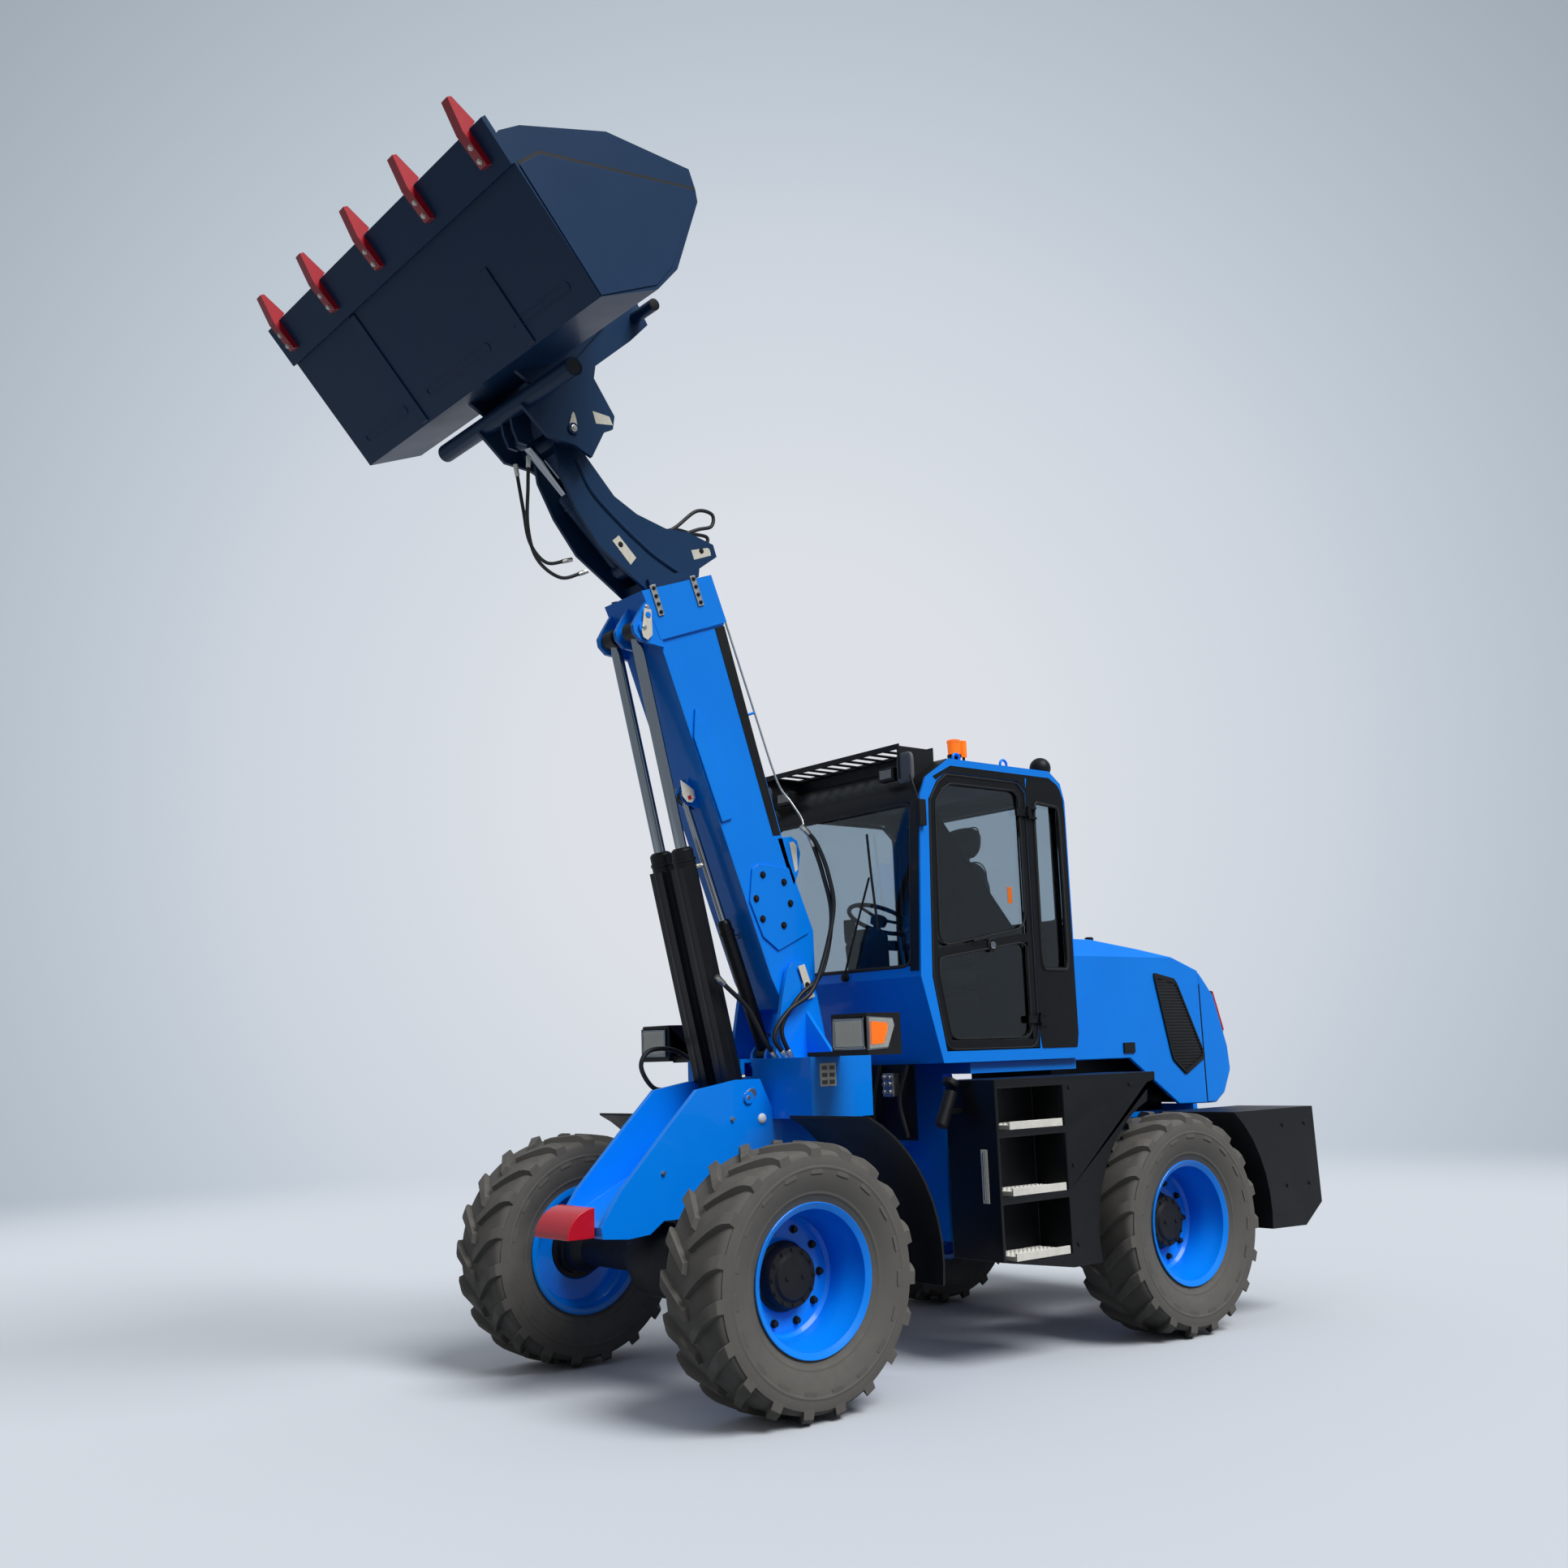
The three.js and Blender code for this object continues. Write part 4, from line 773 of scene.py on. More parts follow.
# ---------------------------------------------------------------- wheels and axles
@dataclass(frozen=True)
class Wheel:
    """A tyre with chevron lugs on a deep dished rim with a planetary hub."""

    end: str
    hand: str
    crown: float = 0.556
    lug_top: float = 0.5875
    half_width: float = 0.205
    lugs: int = 19

    @property
    def name(self) -> str:
        """Name that the wheel's nodes start with."""
        return f"{self.end}_{self.hand}"

    @property
    def hub(self) -> Array:
        """Middle of the wheel."""
        return np.array(joint(f"{self.name}_wheel_spin")["pos_m"], float)

    @property
    def outward(self) -> Array:
        """Direction from the loader's middle out through the hub."""
        return np.array([0.0, 1.0 if self.hand == "left" else -1.0, 0.0])

    def carcass(self) -> Shape:
        """Tyre body: beads, bulged side walls, rounded shoulders and the crown, turned once round.

        Returns:
            The carcass.
        """
        turn = np.linspace(0, 1, 41)
        side_y = 0.156 + 0.049 * np.sin(np.pi * turn * 0.62)
        side_r = 0.334 + 0.196 * turn
        bend = np.linspace(0.1, 1, 6) * np.pi / 2
        shoulder_y, shoulder_r = 0.151 + 0.045 * np.cos(bend), self.crown - 0.032 + 0.03 * np.sin(bend)
        crown_y = np.linspace(0.12, 0, 5)
        crown_r = self.crown + 0.006 * (1 - (crown_y / 0.12) ** 2)
        ribs = 0.003 * (np.abs(side_r - 0.365) < 0.006) + 0.003 * (np.abs(side_r - 0.478) < 0.006)
        half = np.vstack([np.stack([side_y + ribs, side_r], 1), np.stack([shoulder_y, shoulder_r], 1),
                np.stack([crown_y, crown_r], 1)])
        inner = np.array([[0.0, 0.515], [0.12, 0.505], [0.168, 0.43], [0.14, 0.3055], [0.155, 0.3055]])
        loop = np.vstack([half, half[-2::-1] * [-1, 1], inner[:0:-1] * [-1, 1], inner])
        return turned(self.hub, self.outward, loop, 96, ring=True)

    def tread(self) -> Shape:
        """Lugs: bars that slant back as they run out from the middle and fall over the shoulder.

        Returns:
            All the lugs.
        """
        rows = np.linspace(0, 1, 9)
        across = 0.008 + (self.half_width - 0.008) * rows
        drop = np.clip((across - 0.15) / 0.055, 0, 1)
        base = self.crown - 0.01 - 0.095 * drop**1.5
        top = self.lug_top - 0.026 * drop**1.8
        sweep = 0.3 * rows - 0.05 * rows**3
        width = 0.052 + 0.016 * rows
        corners = []
        for lateral, radius, part in ((-1.25, base, 0), (-0.82, top, 1), (0.82, top, 1), (1.25, base, 0)):
            half_angle = lateral * width / 2 / self.crown
            corners.append(np.stack([across - 0.003 * part * drop, radius, sweep + half_angle], -1))
        bar = np.stack(corners, 1)
        shapes = []
        for side in (1, -1):
            for number in range(self.lugs):
                angle = bar[..., 2] + 2 * np.pi * (number + (0.5 if side < 0 else 0)) / self.lugs
                points = np.stack([bar[..., 1] * np.cos(angle), side * bar[..., 0],
                        bar[..., 1] * np.sin(angle)], -1)
                shapes.append(woven(points + self.hub, capped=True))
        return together(shapes)

    def rim(self) -> Shape:
        """Rim: rolled flanges, bead seats, a drop centre and a cone down to the disc, turned once round.

        Returns:
            The rim.
        """
        outside = [(0.168, 0.322), (0.17, 0.327), (0.168, 0.3295), (0.161, 0.3295), (0.158, 0.326),
            (0.156, 0.308), (0.15, 0.3045), (0.094, 0.3045), (0.064, 0.276), (-0.086, 0.276),
            (-0.106, 0.3045), (-0.15, 0.3045), (-0.157, 0.308), (-0.16, 0.3295), (-0.168, 0.3295),
            (-0.17, 0.322)]
        inside = [(-0.166, 0.298), (-0.112, 0.292), (-0.092, 0.268), (-0.068, 0.262), (-0.072, 0.16),
            (-0.06, 0.15), (-0.054, 0.16), (-0.054, 0.246), (-0.04, 0.262), (0.06, 0.266), (0.098, 0.292),
            (0.155, 0.299)]
        return turned(self.hub, self.outward, outside + inside, 96, ring=True)

    def hub_shape(self) -> Shape:
        """Planetary hub: a stepped drum with a domed lid.

        Returns:
            The hub.
        """
        profile = [(-0.118, 0.128), (-0.074, 0.128), (-0.074, 0.152), (-0.053, 0.152), (-0.05, 0.148),
            (-0.044, 0.14), (0.004, 0.134), (0.012, 0.128), (0.014, 0.106), (0.02, 0.1), (0.027, 0.094),
            (0.03, 0.06), (0.031, 0.03), (0.032, 0.018)]
        return turned(self.hub, self.outward, profile, 64)

    def circle(self, count: int, radius: float, out: float) -> Array:
        """Points spaced evenly round the hub, at a distance out from the wheel's middle.

        Args:
            count: how many points.
            radius: distance from the axle.
            out: distance from the wheel's middle.
        Returns:
            The points.
        """
        angle = angles_round(count)
        ring = np.stack([radius * np.cos(angle), 0 * angle, radius * np.sin(angle)], 1)
        return self.hub + ring + self.outward * out

    def build(self) -> None:
        """Makes the wheel's pieces."""
        body = f"{self.name}_wheel"
        put(f"{self.name}_tyre_carcass", self.carcass(), TYRE, body, replaces=[f"{self.name}_tyre"])
        put(f"{self.name}_tyre_lugs", self.tread(), TYRE, body, bevel=0.002, angle=30)
        put(f"{self.name}_rim_turned", self.rim(), BLUE, body, angle=40, replaces=[f"{self.name}_rim"])
        put(f"{self.name}_hub", self.hub_shape(), CAST, body, angle=30, bevel=0.0015)
        nuts = hex_bolts(self.circle(10, 0.205, -0.054), self.outward, 0.015, 0.022)
        put(f"{self.name}_wheel_nuts", nuts, CAST, body, bevel=0.001)
        screws = hex_bolts(self.circle(12, 0.118, 0.013), self.outward, 0.008, 0.008)
        plug = hex_bolts(self.circle(2, 0.045, 0.03), self.outward, 0.01, 0.008)
        put(f"{self.name}_hub_screws", screws + plug, CAST, body, bevel=0.0008)
        valve = rod(self.circle(1, 0.285, 0.06)[0], self.circle(1, 0.3, 0.1)[0], 0.005, 12)
        put(f"{self.name}_valve", valve, ZINC, body)


@dataclass(frozen=True)
class Axles:
    """Both driven axles and their bolts under the front frame."""

    def build(self) -> None:
        """Makes the axles' pieces."""
        softened("front_axle", CAST, 0.004)
        softened("rear_axle", CAST, 0.004)
        hub = joint("front_left_wheel_spin")["pos_m"]
        feet = [[hub[0] + dx, y, AXLE_HEIGHT + 0.215] for dx in (-0.06, -0.02, 0.02, 0.06)
            for y in (-0.245, 0.245)]
        studs = together(rod(np.add(foot, (0, 0, -0.18)), foot, 0.01, 16) for foot in feet)
        nuts = hex_bolts(np.add(feet, (0, 0, -0.15)), (0, 0, -1), 0.016, 0.018)
        put("axle_studs", studs + nuts, ZINC, FRONT, bevel=0.001)


# ---------------------------------------------------------------- frames
@dataclass(frozen=True)
class FrontFrame:
    """The forward half: side plates, tower, cap on the nose and mudguards."""

    cheek_out: float = 0.196
    tower_side: float = 0.52
    lobe: float = 0.03

    def build(self) -> None:
        """Makes the front frame's pieces."""
        softened("front_frame", BLUE, 0.004)
        softened("nose_cap", RED, 0.008)
        for side, hand in HANDS.items():
            softened(f"front_fender_{hand}", PLASTIC, 0.004)
            self.keeper(f"boom_pin_keeper_{hand}", side)
        label = box(spot(0.67, self.tower_side + 0.0005, 1.395), spot(0.775, self.tower_side + 0.002, 1.508))
        put("tower_label", label, FILM, FRONT, bevel=0.0005)
        patches = together(box(spot(x, self.tower_side + 0.002, z), spot(x + 0.035, self.tower_side + 0.0024,
                z + 0.02)) for x in (0.68, 0.728) for z in (1.405, 1.44, 1.475))
        put("tower_label_fields", patches, GREY, FRONT)
        greasers = together(hex_bolts([spot(x, y, z)], (0, np.sign(y), 0), 0.01, 0.014)
            for x, z in ((1.5, 1.02), (1.08, 1.25)) for y in (0.2, -0.2))
        put("frame_greasers", greasers, ZINC, FRONT)

    def keeper(self, name: str, side: int) -> None:
        """Cream locking plate and bolts over the end of the boom's pivot pin.

        Args:
            name: the plate's name.
            side: 1 for left, -1 for right.
        """
        middle = BOOM_PIVOT + np.array([0, side * (self.cheek_out + 0.01), 0])
        plate = np.array([middle + (x, 0, z) for x, z in ((0.062, 0.105), (0.018, 0.118), (-0.045, -0.05),
                (0.0, -0.066))])
        put(name, prism(plate, (0, side * 0.004, 0)), FILM, FRONT, bevel=0.0015)
        bolts = hex_bolts([middle + (0.006, side * 0.004, 0.01)], (0, side, 0), 0.012, 0.008)
        put(f"{name}_bolt", bolts, CAST, FRONT, bevel=0.001)
        foot = spot(0.98, side * 0.1985, 1.35)
        angles = angles_round(32)
        reach = self.lobe * (1 + np.maximum(0.0, np.cos(angles - 2.5)) ** 3)
        lobe = foot + np.stack([reach * np.cos(angles), 0 * angles, reach * np.sin(angles)], 1)
        put(name.replace("boom", "lift"), prism(lobe, (0, side * 0.006, 0))
            + hex_bolts([foot + (0.004, side * 0.006, 0)], (0, side, 0), 0.014, 0.01), ZINC, FRONT,
            bevel=0.001)
        cap = turned(spot(0.894, side * 0.1965, 1.244), (0, side, 0),
            [(0, 0.026), (0.006, 0.026), (0.014, 0.018), (0.016, 0.0)], 32)
        put(name.replace("boom_pin_keeper", "white_cap"), cap, WHITE, FRONT, angle=50)


@dataclass(frozen=True)
class Headlight:
    """A lamp box with a recessed reflector, a ribbed clear lens and an amber turn lamp."""

    hand: str
    rim: float = 0.012

    def build(self) -> None:
        """Makes the lamp's pieces."""
        node = f"headlight_{self.hand}"
        softened(node, PLASTIC, 0.008)
        low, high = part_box(node)
        side = 1 if self.hand == "left" else -1
        y0, y1 = sorted((side * 0.71, side * 0.935))
        front, rim = high[0], self.rim
        z0, z1 = low[2] + 0.03, high[2] - 0.022
        frame_ring = together([box((front, y0, z0), (front + rim, y1, z0 + rim)),
                box((front, y0, z1 - rim), (front + rim, y1, z1)), box((front, y0, z0),
                (front + rim, y0 + rim, z1)), box((front, y1 - rim, z0), (front + rim, y1, z1))])
        put(f"{node}_bezel", frame_ring, CHROME, FRONT, bevel=0.003)
        put(f"{node}_reflector", box((front + 0.0005, y0 + rim, z0 + rim),
                (front + 0.003, y1 - rim, z1 - rim)), MIRROR, FRONT)
        ribs = np.linspace(y0 + rim, y1 - rim, 14)[1:-1]
        lens = box((front + 0.006, y0 + rim, z0 + rim), (front + 0.013, y1 - rim, z1 - rim))
        flutes = boxes(np.stack([0 * ribs + front + 0.014, ribs, 0 * ribs + (z0 + z1) / 2], 1),
            (0.003, 0.004, z1 - z0 - 0.03))
        put(f"{node}_lens", lens + flutes, LENS, FRONT, bevel=0.0012)
        self.side_lens(node, low, high, side)

    def side_lens(self, node: str, low: Vector3, high: Vector3, side: int) -> None:
        """Lens that wraps the lamp box's outer face: a tapered outline with a slanted rear edge.

        Args:
            node: the lamp box's node.
            low: its lowest corner.
            high: its highest corner.
            side: 1 for left, -1 for right.
        """
        face = high[1] if side > 0 else low[1]
        outline = [(high[0] - 0.004, low[2] + 0.03), (high[0] - 0.004, high[2] - 0.022),
            (low[0] + 0.06, high[2] - 0.03), (low[0] + 0.05, high[2] - 0.062),
            (low[0] + 0.095, low[2] + 0.036)]
        points = np.array([[x, face, z] for x, z in outline])
        middle = points.mean(0)
        put(f"{node}_side_rim", prism(middle + (points - middle) * 1.09, (0, side * 0.004, 0)), CHROME, FRONT,
            bevel=0.0015)
        put(f"{node}_side_reflector", prism(points + (0, side * 0.0042, 0), (0, side * 0.001, 0)), MIRROR,
            FRONT)
        put(f"{node}_side_lens", prism(points + (0, side * 0.0055, 0), (0, side * 0.006, 0)), LENS, FRONT,
            bevel=0.002)
        inner = middle + (points - middle) * [0.66, 1, 0.74] + [0.02, side * 0.012, -0.002]
        put(f"{node}_side_marker", prism(inner, (0, side * 0.003, 0)), AMBER, FRONT, bevel=0.001)
        rows = np.linspace(low[2] + 0.058, high[2] - 0.05, 6)
        flutes = boxes(np.stack([0 * rows + high[0] - 0.062, 0 * rows + face + side * 0.012, rows], 1),
            (0.07, 0.002, 0.003))
        put(f"{node}_side_flutes", flutes, LENS, FRONT)


@dataclass(frozen=True)
class RearFrame:
    """The rear half: beams, side boxes, mudguards and counterweight."""

    step_floor: tuple[float, ...] = (0.52, 0.83, 1.15)
    bay_face: float = 0.106
    tread_area: tuple[float, float, float, float] = (-0.395, 0.0, 0.84, 1.04)

    def build(self) -> None:
        """Makes the rear frame's pieces."""
        softened("rear_frame", BLUE, 0.004)
        softened("counterweight", CAST, 0.012)
        self.valve_bay()
        coat("engine_block", CAST)
        coat("pivot_pin", ZINC)
        for node in ("step_box", "tank_box"):
            softened(node, BLACK, 0.005)
        for node in ("rear_fender_left", "rear_fender_right"):
            softened(node, PLASTIC, 0.006)
        for number, floor in enumerate(self.step_floor):
            self.tread(number, floor)
        self.box_trim()

    def valve_bay(self) -> None:
        """Valve block, its unions and hoses up to the cab on the frame's front face, over a black sheet that
        paints the bay's shade.
        """
        face = self.bay_face
        # Black sheet across the frame's front face: painted shade of the bay under the cab.
        put("valve_bay_plate", box(spot(face, -0.5, 1.095), spot(face + 0.003, 0.5, 1.485)), BLACK, REAR)
        put("valve_block", box(spot(face + 0.003, 0.3, 1.32), spot(face + 0.05, 0.38, 1.44)), ZINC, REAR,
            bevel=0.003)
        unions = [spot(face + 0.05, y, z) for y in (0.32, 0.36) for z in (1.345, 1.385, 1.42)]
        put("valve_unions", hex_bolts(unions, (1, 0, 0), 0.012, 0.016), ZINC, REAR, bevel=0.001)
        for number, (start, middle, end) in enumerate((((0.1, 1.11), (0.16, 1.3), (0.1, 1.48)),
                ((0.18, 1.11), (0.21, 1.28), (0.25, 1.48)), ((0.44, 1.11), (0.41, 1.3), (0.46, 1.48)))):
            path = smooth_path([spot(face + depth, y, z) for depth, (y, z) in zip((0.014, 0.034, 0.014),
                    (start, middle, end))])
            put(f"bay_hose_{number}", tube(path, 0.011, 12), HOSE, REAR)

    def tread(self, number: int, floor: float) -> None:
        """Grip tread: a plate with a turned down lip and rows of raised studs.

        Args:
            number: number of the step.
            floor: height of its floor.
        """
        x0, x1, y0, y1 = self.tread_area
        plate = box(spot(x0, y0, floor + 0.001), spot(x1, y1, floor + 0.024))
        lip = box(spot(x0, y1 - 0.006, floor + 0.001), spot(x1, y1 + 0.004, floor + 0.04))
        back = box(spot(x0, y0, floor + 0.001), spot(x1, y0 + 0.006, floor + 0.026))
        across, along = np.meshgrid(np.linspace(x0 + 0.03, x1 - 0.03, 12),
            np.linspace(y0 + 0.03, y1 - 0.03, 6))
        feet = np.stack([across.ravel() + PIVOT_X, along.ravel(), 0 * across.ravel() + floor + 0.024], 1)
        stud = turned((0, 0, 0), (0, 0, 1), [(-0.001, 0.009), (0.004, 0.007), (0.0045, 0.004),
                (0.002, 0.0035)], 10)
        studs = together(stud.moved(foot) for foot in feet)
        put(f"step_tread_{number}", plate + lip + back, TREAD_PLATE, REAR, bevel=0.002)
        put(f"step_tread_studs_{number}", studs, TREAD_PLATE, REAR, angle=60)

    def box_trim(self) -> None:
        """Filler neck with its stay and a level gauge at the front end of the side boxes, and bolts on the
        boxes and mudguards.
        """
        neck = rod(spot(0.15, 0.8, 1.345), spot(0.235, 0.8, 1.175), 0.034, 32, 0.006)
        cap = rod(spot(0.16, 0.8, 1.372), spot(0.143, 0.8, 1.402), 0.042, 32, 0.006)
        stay = box(spot(0.096, 0.775, 1.235), spot(0.175, 0.825, 1.262))
        put("air_canister", neck + cap, PLASTIC, REAR, bevel=0.002)
        put("air_canister_stay", stay, BLACK, REAR, bevel=0.002)
        slot_face = box(spot(0.0955, 0.93, 0.8), spot(0.0985, 0.975, 1.06))
        put("level_gauge", slot_face, FILM, REAR, bevel=0.002)
        put("level_gauge_tube", rod(spot(0.103, 0.952, 0.815), spot(0.103, 0.952, 1.045), 0.006, 16), CHROME,
            REAR)
        heads = [spot(x, 1.0452, z) for x in (-0.46, -0.95) for z in (1.34, 0.95, 0.56)]
        both = hex_bolts(heads, (0, 1, 0), 0.01, 0.008)
        put("side_box_bolts", both + both.mirrored(), CAST, REAR, bevel=0.0008)
        fender_heads = [spot(x, 1.1302, z) for x in (-2.2, -2.42) for z in (1.06, 0.72)]
        rear = hex_bolts(fender_heads, (0, 1, 0), 0.01, 0.008)
        put("mudguard_bolts", rear + rear.mirrored(), CAST, REAR, bevel=0.0008)


# ---------------------------------------------------------------- hood
@dataclass(frozen=True)
class Hood:
    """Engine hood with side grilles, a latch and lamps in the rear cap."""

    side: float = 0.56
    grille: tuple[tuple[float, float], ...] = ((-1.837, 1.971), (-2.053, 1.933), (-2.3, 1.458),
        (-2.093, 1.357), (-1.97, 1.452))

    def build(self) -> None:
        """Makes the hood's pieces."""
        softened("hood", BLUE, 0.014)
        softened("rear_hood_cap", BLUE, 0.014)
        self.side_grilles()
        self.rear_end()
        knob = turned(spot(-1.387, 0.47, 2.135), (0, 0, 1), [(0, 0.012), (0.018, 0.012), (0.02, 0.024),
                (0.038, 0.026), (0.044, 0.018)], 28)
        put("hood_knob", knob, PLASTIC, REAR)
        latch = box(spot(-1.62, self.side, 1.5), spot(-1.52, self.side + 0.012, 1.56))
        put("hood_latch", both_sides(latch), PLASTIC, REAR, bevel=0.004)
        seam = box(spot(-2.2945, -self.side - 0.001, 1.19), spot(-2.2895, self.side + 0.001, 1.9))
        put("hood_seam", seam, SEAL, REAR)

    def side_grilles(self) -> None:
        """Louvred panels: a bent frame, a dark backing and slats that tilt outward."""
        outline = at_side(self.grille, 0.0)
        middle = outline.mean(0)
        rim = smooth_loop(outline, 0.1)
        inner = middle + (rim - middle) * 0.9
        face = self.side + 0.0015
        lift = lambda ring, y: ring + np.array([0, y, 0])
        frame_points = np.stack([lift(rim, face - 0.002), lift(rim, face + 0.006),
                lift(middle + (rim - middle) * 0.975, face + 0.01), lift(inner, face + 0.008),
                lift(inner, face - 0.002)])
        put("hood_grille_frames", both_sides(woven(frame_points, wrap_rows=True)), PLASTIC, REAR, angle=40)
        backing = prism(lift(inner, face - 0.003), (0, 0.003, 0))
        put("hood_grille_backs", both_sides(backing), SEAL, REAR)
        slats = [self.slat(inner, height, face) for height in np.linspace(1.4, 1.935, 30)]
        put("hood_grille_slats", both_sides(together(s for s in slats if s)), GAUZE, REAR, angle=30)

    def slat(self, ring: Array, height: float, face: float) -> Shape | None:
        """One slat, cut to the width of the panel at its height.

        Args:
            ring: outline of the panel.
            height: height of the slat.
            face: distance of the panel from the middle.
        Returns:
            The slat, or None where the panel has no width.
        """
        following = np.roll(ring, -1, 0)
        crossing = (ring[:, 2] - height) * (following[:, 2] - height) < 0
        if crossing.sum() < 2:
            return None
        share = (height - ring[crossing, 2]) / (following[crossing, 2] - ring[crossing, 2])
        ends = ring[crossing, 0] + share * (following[crossing, 0] - ring[crossing, 0])
        x0, x1 = ends.min(), ends.max()
        section = [(face, height - 0.006), (face + 0.007, height + 0.003), (face + 0.007, height + 0.005),
            (face, height - 0.002)]
        return prism(np.array([[x0, y, z] for y, z in section]), (x1 - x0, 0, 0))

    def rear_end(self) -> None:
        """Tail lamps on the rear corners and a slatted cooler outlet between them."""
        for side, hand in HANDS.items():
            y0, y1 = sorted((side * 0.43, side * 0.545))
            slope = np.array([spot(-2.4293, 0, 1.86), spot(-2.522, 0, 1.6)])
            out = np.array([-0.942, 0, 0.335])
            pane = np.array([slope[0] + (0, y0, 0), slope[0] + (0, y1, 0), slope[1] + (0, y1, 0),
                    slope[1] + (0, y0, 0)])
            put(f"tail_lamp_housing_{hand}", prism(pane + out * 0.001, out * 0.006), PLASTIC, REAR,
                bevel=0.002)
            middle = pane.mean(0)
            inner = middle + (pane - middle) * 0.94
            put(f"tail_lamp_{hand}", prism(inner + out * 0.007, out * 0.022), RED_LENS, REAR, bevel=0.006)
        run = np.array([spot(-2.452, 0, 1.78), spot(-2.532, 0, 1.56)])
        heights = np.linspace(0, 1, 12)[:, None]
        centres = run[0] + (run[1] - run[0]) * heights + np.array([-0.006, 0, 0])
        put("cooler_outlet_slats", boxes(centres, (0.012, 0.78, 0.01)), GAUZE, REAR, bevel=0.001)


# ---------------------------------------------------------------- cab
@dataclass(frozen=True)
class Cab:
    """Cab shell, door, glazing, roof fittings, seat and controls."""

    half: float = 0.68
    roof: float = 3.095
    side_outline: tuple[tuple[float, float], ...] = ((0.07, 1.485), (0.205, 1.93), (0.15, 2.88), (0.1, 2.98),
        (-0.08, 3.095), (-0.88, 3.095), (-0.97, 3.03), (-1.0, 2.93), (-1.0, 1.485))

    def build(self) -> None:
        """Makes the cab's pieces."""
        self.line_inside(softened("cab_shell", BLUE, 0.012))
        softened("cab_door", BLACK, 0.006)
        softened("roof_guard", PLASTIC, 0.003)
        for node in ("quarter_glass", "side_glass_right", "windshield_glass", "rear_glass",
            "door_glass_upper", "door_glass_lower"):
            coat(node, GLASS)
        self.black_panels()
        self.seals()
        self.door_parts()
        self.roof_parts()
        self.mirrors()
        self.wiper()
        self.lining()

    def black_panels(self) -> None:
        """Black film on the pillars behind the door and round the windshield; the black over the windshield's
        top and under the roof guard is partly a dark visor band and partly painted shade from the guard.
        """
        rear = [(-0.672, 1.545), (-0.988, 1.545), (-0.988, 2.925), (-0.955, 3.008), (-0.905, 3.04),
            (-0.672, 3.04)]
        window = [(-0.735, 1.985), (-0.925, 1.985), (-0.925, 2.88), (-0.735, 2.895)]
        self.ring_panel("quarter_panel", rear, window, self.half + 0.001, BLACK)
        above = at_side(((-0.6715, 2.958), (-0.6715, 3.041), (-0.9, 3.041), (-0.87, 3.056), (-0.085, 3.056),
                (0.05, 2.988), (0.028, 2.972), (-0.047, 3.018), (-0.607, 3.018)), self.half + 0.0006)
        put("door_header", prism(above, (0, 0.0025, 0)), BLACK, REAR)
        sheet = [(0.2052, 1.96), (0.15, 2.88), (0.1, 2.98), (-0.078, 3.094), (-0.076, 3.097), (0.103, 2.983),
            (0.1532, 2.882), (0.2082, 1.96)]
        for number, (low, high) in enumerate(((0.604, 0.668), (-0.668, -0.604))):
            side_strip = prism(at_side(sheet, low), (0, high - low, 0))
            put(f"windshield_side_cover_{number}", side_strip, BLACK, REAR)
        # Black cover under the roof guard: partly a dark band, partly painted shade from the guard.
        front_cover_and_shade = box(spot(-0.066, -0.56, 3.088), spot(-0.06, 0.56, 3.146))
        put("guard_apron", front_cover_and_shade, PLASTIC, REAR)
        # Black over the windshield's top: partly a dark visor band, partly painted shade from the roof guard.
        header = [(0.1516, 2.851), (0.15, 2.88), (0.1, 2.98), (-0.078, 3.094), (-0.076, 3.097),
            (0.103, 2.983), (0.1532, 2.882), (0.155, 2.851)]
        put("windshield_header", prism(at_side(header, -0.604), (0, 1.208, 0)), BLACK, REAR)

    def line_inside(self, shell: bpy.types.Object) -> None:
        """Gives every face of the shell that lies inside its outer skin the dark lining colour.

        Args:
            shell: the cab shell's piece.
        """
        shell.data.materials.append(BLACK.material())
        outline = np.array([spot(x, 0, z)[[0, 2]] for x, z in self.side_outline])
        ahead = np.roll(outline, -1, 0) - outline
        normal = np.stack([ahead[:, 1], -ahead[:, 0]], 1) / np.linalg.norm(ahead, axis=1)[:, None]
        middle = np.empty(len(shell.data.polygons) * 3)
        shell.data.polygons.foreach_get("center", middle)
        middle = middle.reshape(-1, 3)
        depth = ((middle[:, None, ::2] - outline) * normal).sum(2)
        sign = np.sign(np.median(((outline.mean(0) - outline) * normal).sum(1)))
        inside = (depth * sign > 0.006).all(1) & (np.abs(middle[:, 1]) < self.half - 0.006)
        inside |= np.abs(middle[:, 1]) > self.half + 0.004
        shell.data.polygons.foreach_set("material_index", inside.astype(np.int32))

    def ring_panel(self, name: str, outer: Sequence, inner: Sequence, y: float, finish: Finish) -> None:
        """Thin sheet between two outlines in the side plane, on the cab's left side.

        Args:
            name: the piece's name.
            outer: outer outline.
            inner: inner outline.
            y: distance from the middle.
            finish: its finish.
        """
        outside = self.sampled(outer, y)
        inside = self.sampled(inner, y)
        rows = np.stack([outside, outside + (0, 0.0025, 0), inside + (0, 0.0025, 0), inside])
        put(name, woven(rows, wrap_rows=True), finish, REAR, angle=30)

